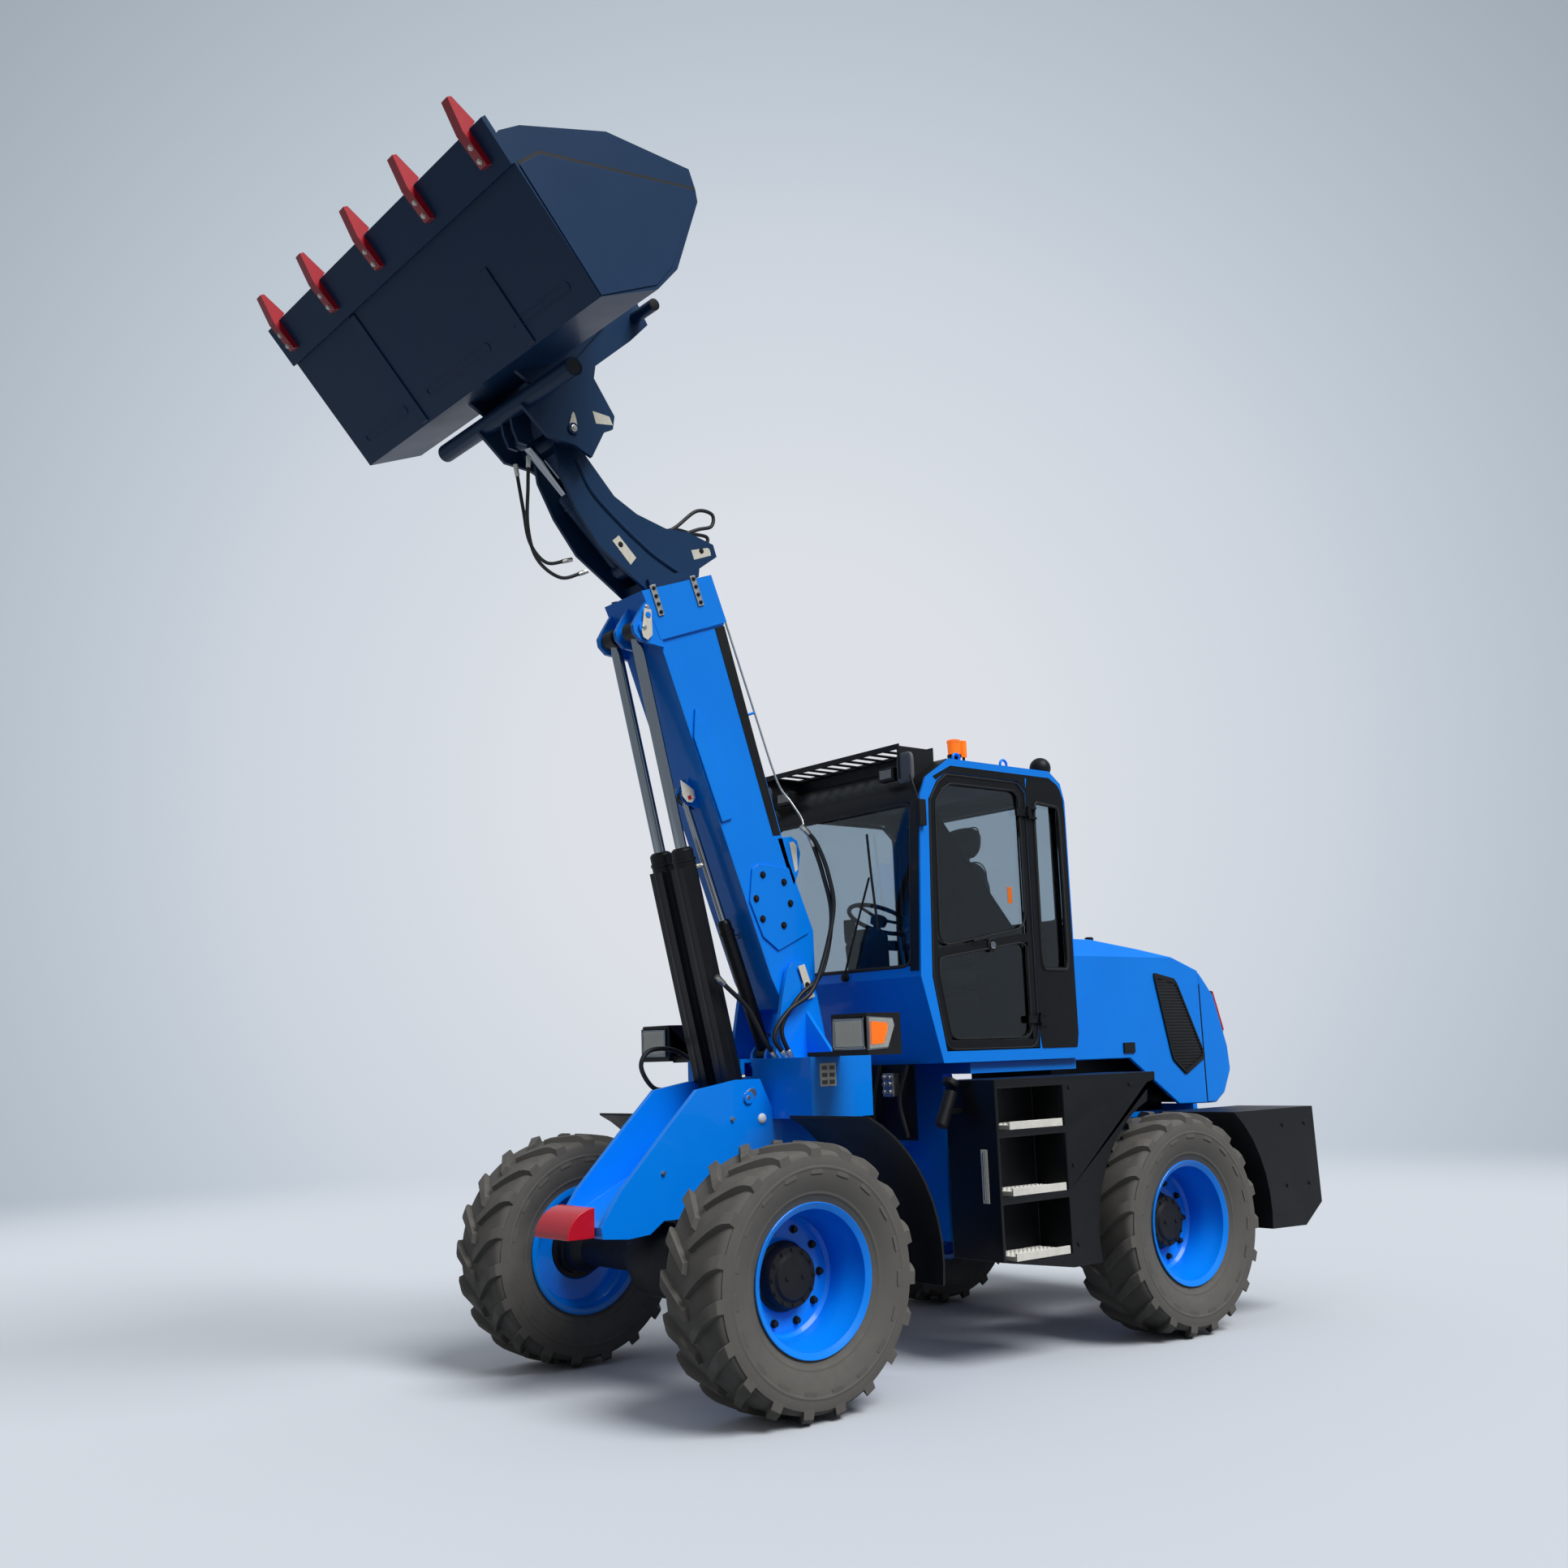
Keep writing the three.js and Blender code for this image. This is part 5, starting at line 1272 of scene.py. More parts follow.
    def sampled(self, outline: Sequence, y: float, count: int = 60) -> Array:
        """Points at even angles about the middle of an outline, lifted to a side plane.

        Args:
            outline: corners of the outline.
            y: distance from the middle.
            count: how many points.
        Returns:
            The points.
        """
        ring = np.array(outline, float)
        middle = (ring.min(0) + ring.max(0)) / 2
        angle = np.linspace(-np.pi, np.pi, count, endpoint=False)
        ray = np.stack([np.cos(angle) * np.ptp(ring[:, 0]), np.sin(angle) * np.ptp(ring[:, 1])], 1)
        start, step = ring, np.roll(ring, -1, 0) - ring
        cross = lambda a, b: a[..., 0] * b[..., 1] - a[..., 1] * b[..., 0]
        below = cross(ray[:, None], step[None])
        with np.errstate(divide="ignore", invalid="ignore"):
            far = cross(start[None] - middle, step[None]) / below
            where = cross(start[None] - middle, ray[:, None]) / below
        far = np.where((where >= -1e-9) & (where <= 1 + 1e-9) & (far > 0), far, np.inf).min(1)
        flat = middle + ray * far[:, None]
        return np.stack([flat[:, 0] + PIVOT_X, np.full(count, y), flat[:, 1]], 1)

    def seals(self) -> None:
        """Rubber profiles round the panes: a tube along each pane's rounded outline."""
        loops = {"quarter": ([(-0.722, 1.972), (-0.938, 1.972), (-0.938, 2.89), (-0.728, 2.906)],
                self.half + 0.003, 0.01), "side_right": ([(-0.935, 1.97), (0.065, 1.97), (0.092, 2.065),
                (0.055, 2.83), (-0.105, 2.95), (-0.845, 2.95), (-0.935, 2.875)], -self.half - 0.002, 0.012),}
        for name, (outline, y, radius) in loops.items():
            ring = smooth_loop(at_side(outline, y), 0.12)
            put(f"{name}_seal", closed_tube(ring, radius, 8), SEAL, REAR)
        for name, low, high, sill in (("windshield", 1.985, 2.85, 0.605), ("rear", 2.25, 2.95, 0.59)):
            x_at = (lambda z: 0.205 - 0.008 - (z - 1.93) * 0.0579) if name == "windshield" else (
                lambda z: -0.995)
            corners = np.array([spot(x_at(low), -sill, low), spot(x_at(low), sill, low),
                    spot(x_at(high), sill, high), spot(x_at(high), -sill, high)])
            put(f"{name}_seal", closed_tube(smooth_loop(corners, 0.06), 0.012, 8), SEAL, REAR)

    def door_parts(self) -> None:
        """Handle, lock, edge and pane seals and a belt tag on the door."""
        face = self.half - 0.002
        outline = [(-0.664, 1.552), (0.036, 1.552), (0.116, 1.93), (0.082, 2.858), (0.018, 2.956),
            (-0.052, 3.006), (-0.604, 3.006), (-0.664, 2.948)]
        ring = smooth_loop(at_side(outline, face + 0.001), 0.1)
        put("door_edge_seal", closed_tube(ring, 0.006, 8), SEAL, "cab_door")
        glass = [(-0.612, 2.2), (0.055, 2.085), (0.04, 2.85), (-0.02, 2.925), (-0.08, 2.96), (-0.58, 2.96),
            (-0.615, 2.925)]
        lower = [(-0.612, 1.605), (0.0, 1.605), (0.068, 1.94), (0.06, 2.025), (-0.612, 2.125)]
        for name, shape in (("upper", glass), ("lower", lower)):
            loop = smooth_loop(at_side(shape, face - 0.001), 0.12)
            put(f"door_{name}_pane_seal", closed_tube(loop, 0.006, 8), SEAL, "cab_door")
        middle = spot(-0.335, face, 2.098)
        dish = turned(middle, (0, 1, 0), [(-0.001, 0.036), (0.006, 0.036), (0.008, 0.03), (0.003, 0.026)], 40)
        put("door_lock_dish", dish, PLASTIC, "cab_door")
        barrel = turned(middle, (0, 1, 0), [(0.002, 0.02), (0.012, 0.02), (0.014, 0.016), (0.014, 0.004)], 32)
        put("door_lock_button", barrel, CHROME, "cab_door")
        pull = tube(smooth_path([spot(-0.3, face, 2.14), spot(-0.3, face + 0.02, 2.14),
                spot(-0.19, face + 0.022, 2.118), spot(-0.19, face, 2.118)]), 0.007)
        put("door_pull", pull, PLASTIC, "cab_door")
        tag = box(spot(-0.53, self.half - 0.016, 2.33), spot(-0.495, self.half - 0.014, 2.42))
        put("belt_tag", tag, ORANGE, "cab_door", bevel=0.001)

    def roof_parts(self) -> None:
        """Beacon on a stalk, lifting eye and a round receiver on the roof."""
        foot = spot(-0.41, 0.4, self.roof)
        stalk = turned(foot, (0, 0, 1), [(0, 0.045), (0.012, 0.045), (0.016, 0.02), (0.08, 0.02),
                (0.082, 0.04), (0.098, 0.04)], 40)
        put("beacon_foot", stalk, PLASTIC, REAR, angle=30)
        dome = turned(foot, (0, 0, 1), [(0.098, 0.036), (0.165, 0.038), (0.168, 0.041), (0.18, 0.04),
                (0.184, 0.034)], 48)
        put("beacon_dome", dome, AMBER, REAR, angle=40)
        side_foot = foot + np.array([-0.075, 0.0, 0.0])
        slim = turned(side_foot, (0, 0, 1), [(0.092, 0.019), (0.18, 0.02), (0.188, 0.016)], 32)
        put("side_beacon", slim, AMBER, REAR, angle=40)
        stem = rod(side_foot, side_foot + (0, 0, 0.092), 0.008, 20)
        put("side_beacon_stem", stem, PLASTIC, REAR)
        for x in (-0.24, -0.62):
            eye_foot = spot(x - 0.06, 0.52, self.roof)
            loop = angles_round(32)
            ring = np.stack([eye_foot[0] + 0.026 * np.cos(loop), 0 * loop + eye_foot[1],
                    eye_foot[2] + 0.048 + 0.026 * np.sin(loop)], 1)
            shape = closed_tube(ring, 0.0075, 10) + rod(eye_foot, eye_foot + (0, 0, 0.024), 0.014, 24)
            put(f"lifting_eye_{'front' if x > -0.4 else 'rear'}", shape, BLUE, REAR)
        ball = spot(-1.015, 0.5, 3.155)
        sphere_angle = np.linspace(-1.5, 1.5, 15)
        globe = turned(ball, (0, 0, 1), [(0.062 * math.sin(a), 0.062 * math.cos(a)) for a in sphere_angle],
            40)
        stem = tube(smooth_path([spot(-0.955, 0.5, 3.03), spot(-1.02, 0.5, 3.045), spot(-1.022, 0.5, 3.11)]),
            0.009)
        put("work_lamp_ball", globe, PLASTIC, REAR)
        put("work_lamp_stem", stem, BLACK, REAR)

    def mirrors(self) -> None:
        """Mirror arms folded forward of the door pillar, and small lamps under the guard."""
        for side, hand in HANDS.items():
            y = side * (self.half + 0.006)
            block = box(spot(0.135, y - side * 0.016, 2.712), spot(0.185, y + side * 0.022, 2.852))
            arm = tube(smooth_path([spot(0.176, y + side * 0.004, 2.85), spot(0.182, y - side * 0.02, 2.93),
                    spot(0.176, y - side * 0.05, 3.0), spot(0.17, y - side * 0.08, 3.04)]), 0.007)
            glass = pillow(spot(0.17, y - side * 0.085, 3.035), (0.03, 0.115, 0.165), np.eye(3), 4.5)
            put(f"mirror_bracket_{hand}", block, PLASTIC, REAR, bevel=0.004)
            put(f"mirror_arm_{hand}", arm, BLACK, REAR)
            put(f"mirror_head_{hand}", glass, GREY, REAR, angle=70)
            lamp = box(spot(0.12, side * 0.38, 2.985), spot(0.165, side * 0.5, 3.06))
            put(f"brow_lamp_{hand}", lamp, PLASTIC, REAR, bevel=0.008)
            lens = box(spot(0.1655, side * 0.395, 3.0), spot(0.1695, side * 0.485, 3.048))
            put(f"brow_lamp_lens_{hand}", lens, LENS, REAR, bevel=0.0015)

    def wiper(self) -> None:
        """Windshield wiper: motor boss, arm and blade over the glass."""
        x_at = lambda z: 0.222 - (z - 1.93) * 0.0579
        pivot = spot(x_at(1.955) - 0.012, 0.1, 1.955)
        boss = turned(pivot, (1, 0, 0), [(-0.01, 0.022), (0.018, 0.022), (0.022, 0.014)], 24)
        arm = tube(smooth_path([pivot + (0.014, 0, 0), spot(x_at(2.2), 0.19, 2.2),
                spot(x_at(2.48), 0.3, 2.48)]), 0.006)
        blade = tube(smooth_path([spot(x_at(2.2) - 0.01, 0.36, 2.2), spot(x_at(2.48) - 0.008, 0.31, 2.48),
                spot(x_at(2.72) - 0.01, 0.27, 2.72)]), 0.007)
        put("wiper", boss + arm + blade, PLASTIC, REAR)

    def lining(self) -> None:
        """Seat, console, wheel, levers and a roof lining inside the cab."""
        upright, forward, left = np.array([0, 0, 1.0]), np.array([1.0, 0, 0]), np.array([0, 1.0, 0])
        floor = box(spot(-0.93, -0.625, 1.532), spot(0.02, 0.625, 1.548))
        put("floor_mat", floor, SEAT, REAR, bevel=0.004)
        roof = box(spot(-0.86, -0.6, 3.02), spot(-0.08, 0.6, 3.04))
        put("roof_lining", roof, SEAT, REAR, bevel=0.006)
        base = box(spot(-0.75, -0.21, 1.55), spot(-0.38, 0.21, 1.8))
        bellows = together(box(spot(-0.73 + 0.01 * (i % 2), -0.2 + 0.01 * (i % 2), 1.8 + 0.016 * i),
                spot(-0.4 - 0.01 * (i % 2), 0.2 - 0.01 * (i % 2), 1.816 + 0.016 * i)) for i in range(5))
        put("seat_base", base + bellows, PLASTIC, REAR, bevel=0.004, replaces=["seat"])
        flat = np.array([forward, left, upright])
        lean = math.radians(9)
        back_up = np.array([-math.sin(lean), 0, math.cos(lean)])
        back_out = np.array([math.cos(lean), 0, math.sin(lean)])
        standing = np.array([left, back_up, back_out])
        cushions = {"seat_cushion": (spot(-0.54, 0, 1.95), (0.5, 0.48, 0.13), flat, 3.6, 0.18, 0.75),
            "seat_back": (spot(-0.77, 0, 2.33), (0.46, 0.64, 0.12), standing, 3.2, 0.25, 0.75),
            "seat_headrest": (spot(-0.845, 0, 2.76), (0.27, 0.19, 0.1), standing, 2.8, 0.2, 0.8),}
        for name, (middle, size, turn, power, crown, fill) in cushions.items():
            pad = put(name, pillow(middle, size, turn, power, crown), SEAT, REAR, angle=80)
            self.piping(name, middle, size, turn)
        for side, hand in HANDS.items():
            bolster = pillow(spot(-0.755, side * 0.185, 2.3), (0.1, 0.52, 0.15), standing, 2.6, 0.1)
            put(f"seat_bolster_{hand}", bolster, SEAT, REAR, angle=80)
            rest = pillow(spot(-0.56, side * 0.275, 2.17), (0.36, 0.07, 0.06), flat, 3.2)
            put(f"arm_rest_{hand}", rest, SEAT, REAR, angle=80)
        stems = together(rod(spot(-0.825, y, 2.6), spot(-0.842, y, 2.72), 0.006, 12) for y in (-0.06, 0.06))
        put("headrest_stems", stems, CHROME, REAR)
        self.steering()
        self.levers()

    def piping(self, name: str, middle: Array, size: Vector3, turn: Array) -> None:
        """Welt round a cushion's edge: a tube along a rounded rectangle just outside its seam.

        Args:
            name: the cushion's name.
            middle: its middle.
            size: its size.
            turn: its axes.
        """
        loop = rounded_outline(size[0] * 0.97, size[1] * 0.97, min(size[0], size[1]) * 0.24, 8)
        ring = middle + np.stack([loop[:, 0], loop[:, 1], 0 * loop[:, 0]], 1) @ turn
        put(f"{name}_piping", closed_tube(ring, 0.004, 8), SEAL, REAR)

    def steering(self) -> None:
        """Column with a display and a steering wheel with three spokes."""
        column = prism(at_side(((-0.145, 1.55), (-0.025, 1.55), (0.035, 2.145), (-0.058, 2.242),
                (-0.126, 2.195)), -0.1), (0, 0.2, 0))
        put("steering_column", column, PLASTIC, REAR, bevel=0.015, replaces=["steering_console"])
        tilt = math.radians(25)
        axis = np.array([-math.sin(tilt), 0, math.cos(tilt)])
        ahead = np.array([math.cos(tilt), 0, math.sin(tilt)])
        middle = spot(-0.15, 0, 2.29)
        angle = angles_round(64)[:, None]
        ring = middle + 0.178 * (np.cos(angle) * ahead + np.sin(angle) * np.array([0, 1.0, 0]))
        grip = closed_tube(ring, 0.0125, 12)
        hub = turned(middle - axis * 0.03, axis, [(0, 0.045), (0.03, 0.05), (0.042, 0.044), (0.046, 0.02)],
            36)
        spokes = together(tube(np.linspace(middle, middle + 0.176 * (math.cos(a) * ahead + math.sin(a)
                * np.array([0, 1, 0])), 6), 0.009, 10) for a in np.radians((0, 125, 235)))
        put("steering_wheel", grip + hub + spokes, PLASTIC, REAR, angle=50)
        put("steering_post", rod(spot(-0.1, 0, 2.18), middle - axis * 0.02, 0.022, 24), PLASTIC, REAR)
        screen = box(spot(-0.075, -0.2, 2.215), spot(-0.055, -0.115, 2.3))
        put("instrument_panel", screen, PLASTIC, REAR, bevel=0.004)

    def levers(self) -> None:
        """Side console with a joystick and two pedals."""
        console = box(spot(-0.62, -0.47, 1.55), spot(-0.2, -0.33, 2.02))
        put("side_console", console, PLASTIC, REAR, bevel=0.02)
        stick = tube(smooth_path([spot(-0.3, -0.4, 2.02), spot(-0.285, -0.4, 2.12), spot(-0.27, -0.4, 2.2)]),
            0.011)
        knob = pillow(spot(-0.268, -0.4, 2.225), (0.045, 0.05, 0.09), np.eye(3), 2.6)
        put("joystick", stick + knob, PLASTIC, REAR, angle=60)
        pedals = together(box(spot(-0.13, y, 1.6), spot(-0.1, y + 0.09, 1.72)) for y in (-0.26, 0.16))
        put("pedals", pedals, BLACK, REAR, bevel=0.006)


# ---------------------------------------------------------------- boom and cylinders
@dataclass(frozen=True)
class Boom:
    """Blue outer boom: side plates with bolts, collar with wear strips, pins and pipes."""

    half: float = 0.16
    collar: float = 0.174
    strip_ends: tuple[float, float] = (2.059, 2.222)

    def build(self) -> None:
        """Makes the boom's pieces."""
        softened("boom", BLUE, 0.004)
        for side in (1, -1):
            self.bolted_plate(side)
            self.collar_parts(side)
            self.side_box(side)
        self.return_pipe()
        self.pins()
        self.pipes()

    def in_plane(self, points: Sequence[tuple[float, float]], y: float) -> Array:
        """Outline given along and up from the boom's axis, at one distance from the middle."""
        return np.array([on_boom(along, up, y) for along, up in points])

    def bolted_plate(self, side: int) -> None:
        """Clipped hexagonal doubler near the boom's foot with six black bolts.

        Args:
            side: 1 for left, -1 for right.
        """
        outline = [(0.25, 0.145), (0.23, -0.08), (0.33, -0.15), (0.529, -0.165), (0.681, -0.087),
            (0.692, -0.036), (0.65, 0.06), (0.61, 0.148)]
        face = side * self.half
        plate = prism(self.in_plane(outline, face), (0, side * 0.01, 0))
        hand = HANDS[side]
        put(f"boom_doubler_{hand}", plate, BLUE, "boom", bevel=0.003)
        places = [(0.63, -0.034), (0.552, 0.087), (0.528, -0.122), (0.435, 0.086), (0.417, -0.121),
            (0.342, 0.0)]
        heads = hex_bolts(self.in_plane(places, face + side * 0.01), (0, side, 0), 0.014, 0.012, 1.35)
        put(f"boom_doubler_bolts_{hand}", heads, CAST, "boom", bevel=0.001)

    def collar_parts(self, side: int) -> None:
        """Wear pad keepers on the collar: two bright strips, a blank tag and their screws.

        Args:
            side: 1 for left, -1 for right.
        """
        face = side * self.collar
        hand = HANDS[side]
        for number, up in enumerate((-0.163, 0.105)):
            low, high = self.strip_ends
            strip = self.in_plane([(low, up - 0.018), (high, up - 0.018), (high, up + 0.018),
                    (low, up + 0.018)], face)
            put(f"wear_strip_{hand}_{number}", prism(strip, (0, side * 0.008, 0)), ZINC, "boom", bevel=0.002)
            spots = [(low + 0.018 + step * 0.042, up) for step in range(4)]
            heads = hex_bolts(self.in_plane(spots, face + side * 0.008), (0, side, 0), 0.009, 0.009, 1.2)
            put(f"wear_strip_screws_{hand}_{number}", heads, CAST, "boom", bevel=0.0008)
        tag = self.in_plane([(2.118, -0.262), (2.1, -0.222), (1.975, -0.262), (1.955, -0.3), (1.975, -0.322),
                (2.0, -0.322)], side * 0.1845)
        put(f"collar_tag_{hand}", prism(tag, (0, side * 0.003, 0)), FILM, "boom", bevel=0.001)
        ring = turned(self.in_plane([(2.078, -0.252)], side * 0.1875)[0], (0, side, 0),
            [(0, 0.016), (0.004, 0.015)], 28)
        put(f"collar_tag_stud_{hand}", ring, BLUE, "boom", bevel=0.001)
        lip = [(1.935, -0.212), (1.955, -0.213), (1.955, 0.226), (1.935, 0.225)]
        put(f"collar_lip_{hand}", prism(self.in_plane(lip, side * (self.half - 0.002)), (0, side * 0.01, 0)),
            BLUE, "boom", bevel=0.003)

    def side_box(self, side: int) -> None:
        """Long rib, tear shaped film, back ear and a thin black strip along the rear edge on one side.

        Args:
            side: 1 for left, -1 for right.
        """
        face = side * self.half
        hand = HANDS[side]
        rib = self.in_plane([(0.96, -0.185), (1.42, -0.195), (1.56, -0.13), (1.42, -0.105), (0.96, -0.115)],
            face)
        put(f"boom_side_rib_{hand}", prism(rib, (0, side * 0.014, 0)), BLUE, "boom", bevel=0.004)
        tear = [(1.232, -0.275), (1.15, -0.292), (1.112, -0.275), (1.1, -0.245), (1.118, -0.218),
            (1.16, -0.21)]
        film = self.in_plane(tear, side * 0.0565)
        put(f"level_pin_keeper_{hand}", prism(film, (0, side * 0.001, 0)), FILM, "boom", bevel=0.001)
        mark = self.in_plane([(1.118, -0.262), (1.14, -0.262), (1.14, -0.24), (1.118, -0.24)], side * 0.0576)
        put(f"level_pin_mark_{hand}", prism(mark, (0, side * 0.0004, 0)), RED, "boom")
        back = self.in_plane([(0.5, 0.14), (0.56, 0.205), (0.66, 0.262), (0.728, 0.268), (0.762, 0.235),
                (0.78, 0.14)], side * (self.half - 0.012))
        put(f"back_ear_{hand}", prism(back, (0, side * 0.012, 0)), BLUE, "boom", bevel=0.003)
        label = self.in_plane([(0.575, 0.188), (0.585, 0.212), (0.705, 0.25), (0.732, 0.238), (0.735, 0.212)],
            face)
        put(f"back_ear_film_{hand}", prism(label, (0, side * 0.0015, 0)), FILM, "boom", bevel=0.0008)
        # Thin black strip along the rear edge of the side face.
        edge_band = self.in_plane([(0.79, 0.168), (0.8, 0.118), (1.93, 0.16), (1.93, 0.226)], face)
        put(f"boom_rear_edge_strip_{hand}", prism(edge_band, (0, side * 0.003, 0)), PLASTIC, "boom", bevel=0.001)

    def return_pipe(self) -> None:
        """Bright steel pipe behind the boom, from the collar down to the outer hose, with its clamps."""
        route = [spot(1.031, 0.12, 3.969), spot(0.92, 0.12, 3.675), spot(0.79, 0.12, 3.33),
            spot(0.665, 0.125, 2.998), spot(0.6, 0.16, 2.88), spot(0.585, 0.22, 2.79),
            spot(0.59, 0.246, 2.73)]
        put("return_pipe", tube(smooth_path(route, 8), 0.0055, 12), ZINC, "boom")
        feet = together(rod(spot(x, 0.12, z), spot(x + 0.07, 0.12, z - 0.026), 0.007, 16)
            for x, z in ((1.02, 3.94), (0.8, 3.355)))
        put("return_pipe_clamps", feet, BLUE, "boom")

    def pins(self) -> None:
        """Bolt heads on the lift pin's ends and on its ears."""
        pivot = on_boom(2.023, -0.296)
        for side, hand in HANDS.items():
            end = pivot + np.array([0, side * 0.184, 0])
            heads = hex_bolts([end + (0, side * 0.0035, 0)], (0, side, 0), 0.011, 0.008)
            put(f"lift_pin_end_{hand}", heads, ZINC, "boom", bevel=0.001)
            ear = [on_boom(2.085, -0.262, side * 0.172), on_boom(2.12, -0.232, side * 0.172)]
            put(f"ear_bolts_{hand}", hex_bolts(ear, (0, side, 0), 0.011, 0.01), ZINC, "boom", bevel=0.001)

    def pipes(self) -> None:
        """Two bright pipes along the boom's back with clamps and end fittings."""
        rise = lambda along: 0.168 + (along - 0.64) * 0.0421
        for y in (0.03, 0.06):
            path = [on_boom(0.9, rise(0.9) + 0.0143, y), on_boom(1.9, rise(1.9) + 0.0143, y)]
            put(f"boom_pipe_{round(y * 1000)}", tube(np.linspace(path[0], path[1], 24), 0.009, 16), CHROME,
                "boom", replaces=["boom_pipes"])
            nuts = [turned(point, BOOM_AXIS, [(-0.022, 0.012), (-0.02, 0.015), (0.02, 0.015), (0.022, 0.012)],
                    6) for point in path]
            put(f"boom_pipe_nuts_{round(y * 1000)}", together(nuts), ZINC, "boom", bevel=0.0008)
        for number, along in enumerate((1.0, 1.4, 1.8)):
            points = np.array([on_boom(along, rise(along) + 0.0003), on_boom(along + 0.04,
                    rise(along + 0.04) + 0.0003), on_boom(along + 0.04, rise(along) + 0.032),
                    on_boom(along, rise(along) + 0.032)])
            clamp = prism(points + (0, 0.012, 0), (0, 0.066, 0))
            bolt = hex_bolts([on_boom(along + 0.02, rise(along) + 0.032, 0.045)], BOOM_UP, 0.008, 0.008)
            put(f"pipe_clamp_{number}", clamp, PLASTIC, "boom", bevel=0.003)
            put(f"pipe_clamp_bolt_{number}", bolt, ZINC, "boom", bevel=0.0008)


@dataclass(frozen=True)
class Cylinder:
    """A hydraulic cylinder: welded barrel with a gland and ports, chromed rod, eyes at both ends."""

    name: str
    barrel_body: str
    rod_body: str
    foot: tuple[float, float, float]
    head: tuple[float, float, float]
    bore: float
    rod_radius: float
    barrel: float
    foot_eye: tuple[float, float]
    head_eye: tuple[float, float]
    square: bool = False
    finish: Finish = BLACK

    @property
    def axis(self) -> Array:
        """Unit vector from foot to head."""
        run = np.subtract(self.head, self.foot)
        return run / np.linalg.norm(run)

    @property
    def length(self) -> float:
        """Distance between the eyes."""
        return float(np.linalg.norm(np.subtract(self.head, self.foot)))

    def build(self) -> None:
        """Makes the cylinder's pieces."""
        r, end = self.bore, self.barrel
        profile = [(0.03, r * 0.8), (0.04, r - 0.004), (0.052, r), (end - 0.075, r), (end - 0.073, r + 0.004),
            (end - 0.058, r + 0.004), (end - 0.056, r - 0.001), (end - 0.016, r - 0.001),
            (end - 0.008, r - 0.006), (end, self.rod_radius + 0.008), (end, self.rod_radius + 0.0008),
            (end - 0.03, self.rod_radius + 0.0008)]
        tube_shape = turned(self.foot, self.axis, profile, 48)
        eye = self.eye(self.foot, *self.foot_eye)
        node = f"{self.name}_barrel"
        put(f"{self.name}_barrel_tube", tube_shape + eye, self.finish, self.barrel_body, angle=28,
            replaces=[node])
        if self.square:
            put(f"{self.name}_barrel_shield", self.shield(), self.finish, self.barrel_body, bevel=0.003)
        put(f"{self.name}_gland_nuts", self.gland(), ZINC, self.barrel_body, bevel=0.0008)
        stop = self.length - self.head_eye[0] * 0.6
        start = self.barrel - 0.11
        shaft = turned(np.asarray(self.foot) + self.axis * start, self.axis,
            [(0, self.rod_radius - 0.002), (0.003, self.rod_radius), (stop - start, self.rod_radius)], 40)
        put(f"{self.name}_rod_shaft", shaft, CHROME, self.rod_body, angle=28, replaces=[f"{self.name}_rod"])
        put(f"{self.name}_rod_eye", self.eye(self.head, *self.head_eye), self.finish, self.rod_body, angle=28)

    def eye(self, middle: Vector3, radius: float, half: float) -> Shape:
        """Forged eye: a short cross drum with chamfered edges and a bush that stands just proud.

        Args:
            middle: middle of the eye.
            radius: radius of the drum.
            half: half of its width.
        Returns:
            The eye.
        """
        drum = turned(np.add(middle, (0, -half, 0)), (0, 1, 0), [(0.001, radius - 0.005), (0.005, radius),
                (2 * half - 0.005, radius), (2 * half - 0.001, radius - 0.005)], 40)
        bush = turned(np.add(middle, (0, -half, 0)), (0, 1, 0), [(0, radius * 0.62),
                (2 * half, radius * 0.62)], 32)
        return drum + bush

    def gland(self) -> Shape:
        """Port block and bolts near the gland, on the side that faces the cab.

        Returns:
            The fittings.
        """
        side = np.cross(self.axis, (0, 1, 0))
        if side[0] > 0:
            side = -side
        middle = np.asarray(self.foot) + self.axis * (self.barrel - 0.11) + side * self.bore
        fitting = rod(middle, middle + side * 0.03, min(0.016, self.bore * 0.35), 24)
        nut = turned(middle + side * 0.03, side, [(0, 0.014), (0.016, 0.014)], 6)
        low = np.asarray(self.foot) + self.axis * 0.085 + side * self.bore
        return fitting + nut + rod(low, low + side * 0.026, min(0.014, self.bore * 0.3), 24)

    def shield(self) -> Shape:
        """Folded sheet along the front of the barrel: a flat U with its flanges toward the barrel.

        Returns:
            The sheet.
        """
        side = np.cross((0, 1, 0), self.axis)
        if side[0] < 0:
            side = -side
        outer = self.bore - 0.002
        deep = self.bore * 0.55
        section = np.array([(-outer, deep - outer), (-outer, outer), (outer, outer), (outer, deep - outer),
                (outer - 0.004, deep - outer), (outer - 0.004, outer - 0.004),
                (-outer + 0.004, outer - 0.004), (-outer + 0.004, deep - outer)])
        start = np.asarray(self.foot) + self.axis * 0.09
        points = start + section[:, :1] * np.array([0, 1.0, 0]) + section[:, 1:] * side
        return prism(points, self.axis * (self.barrel - 0.19))


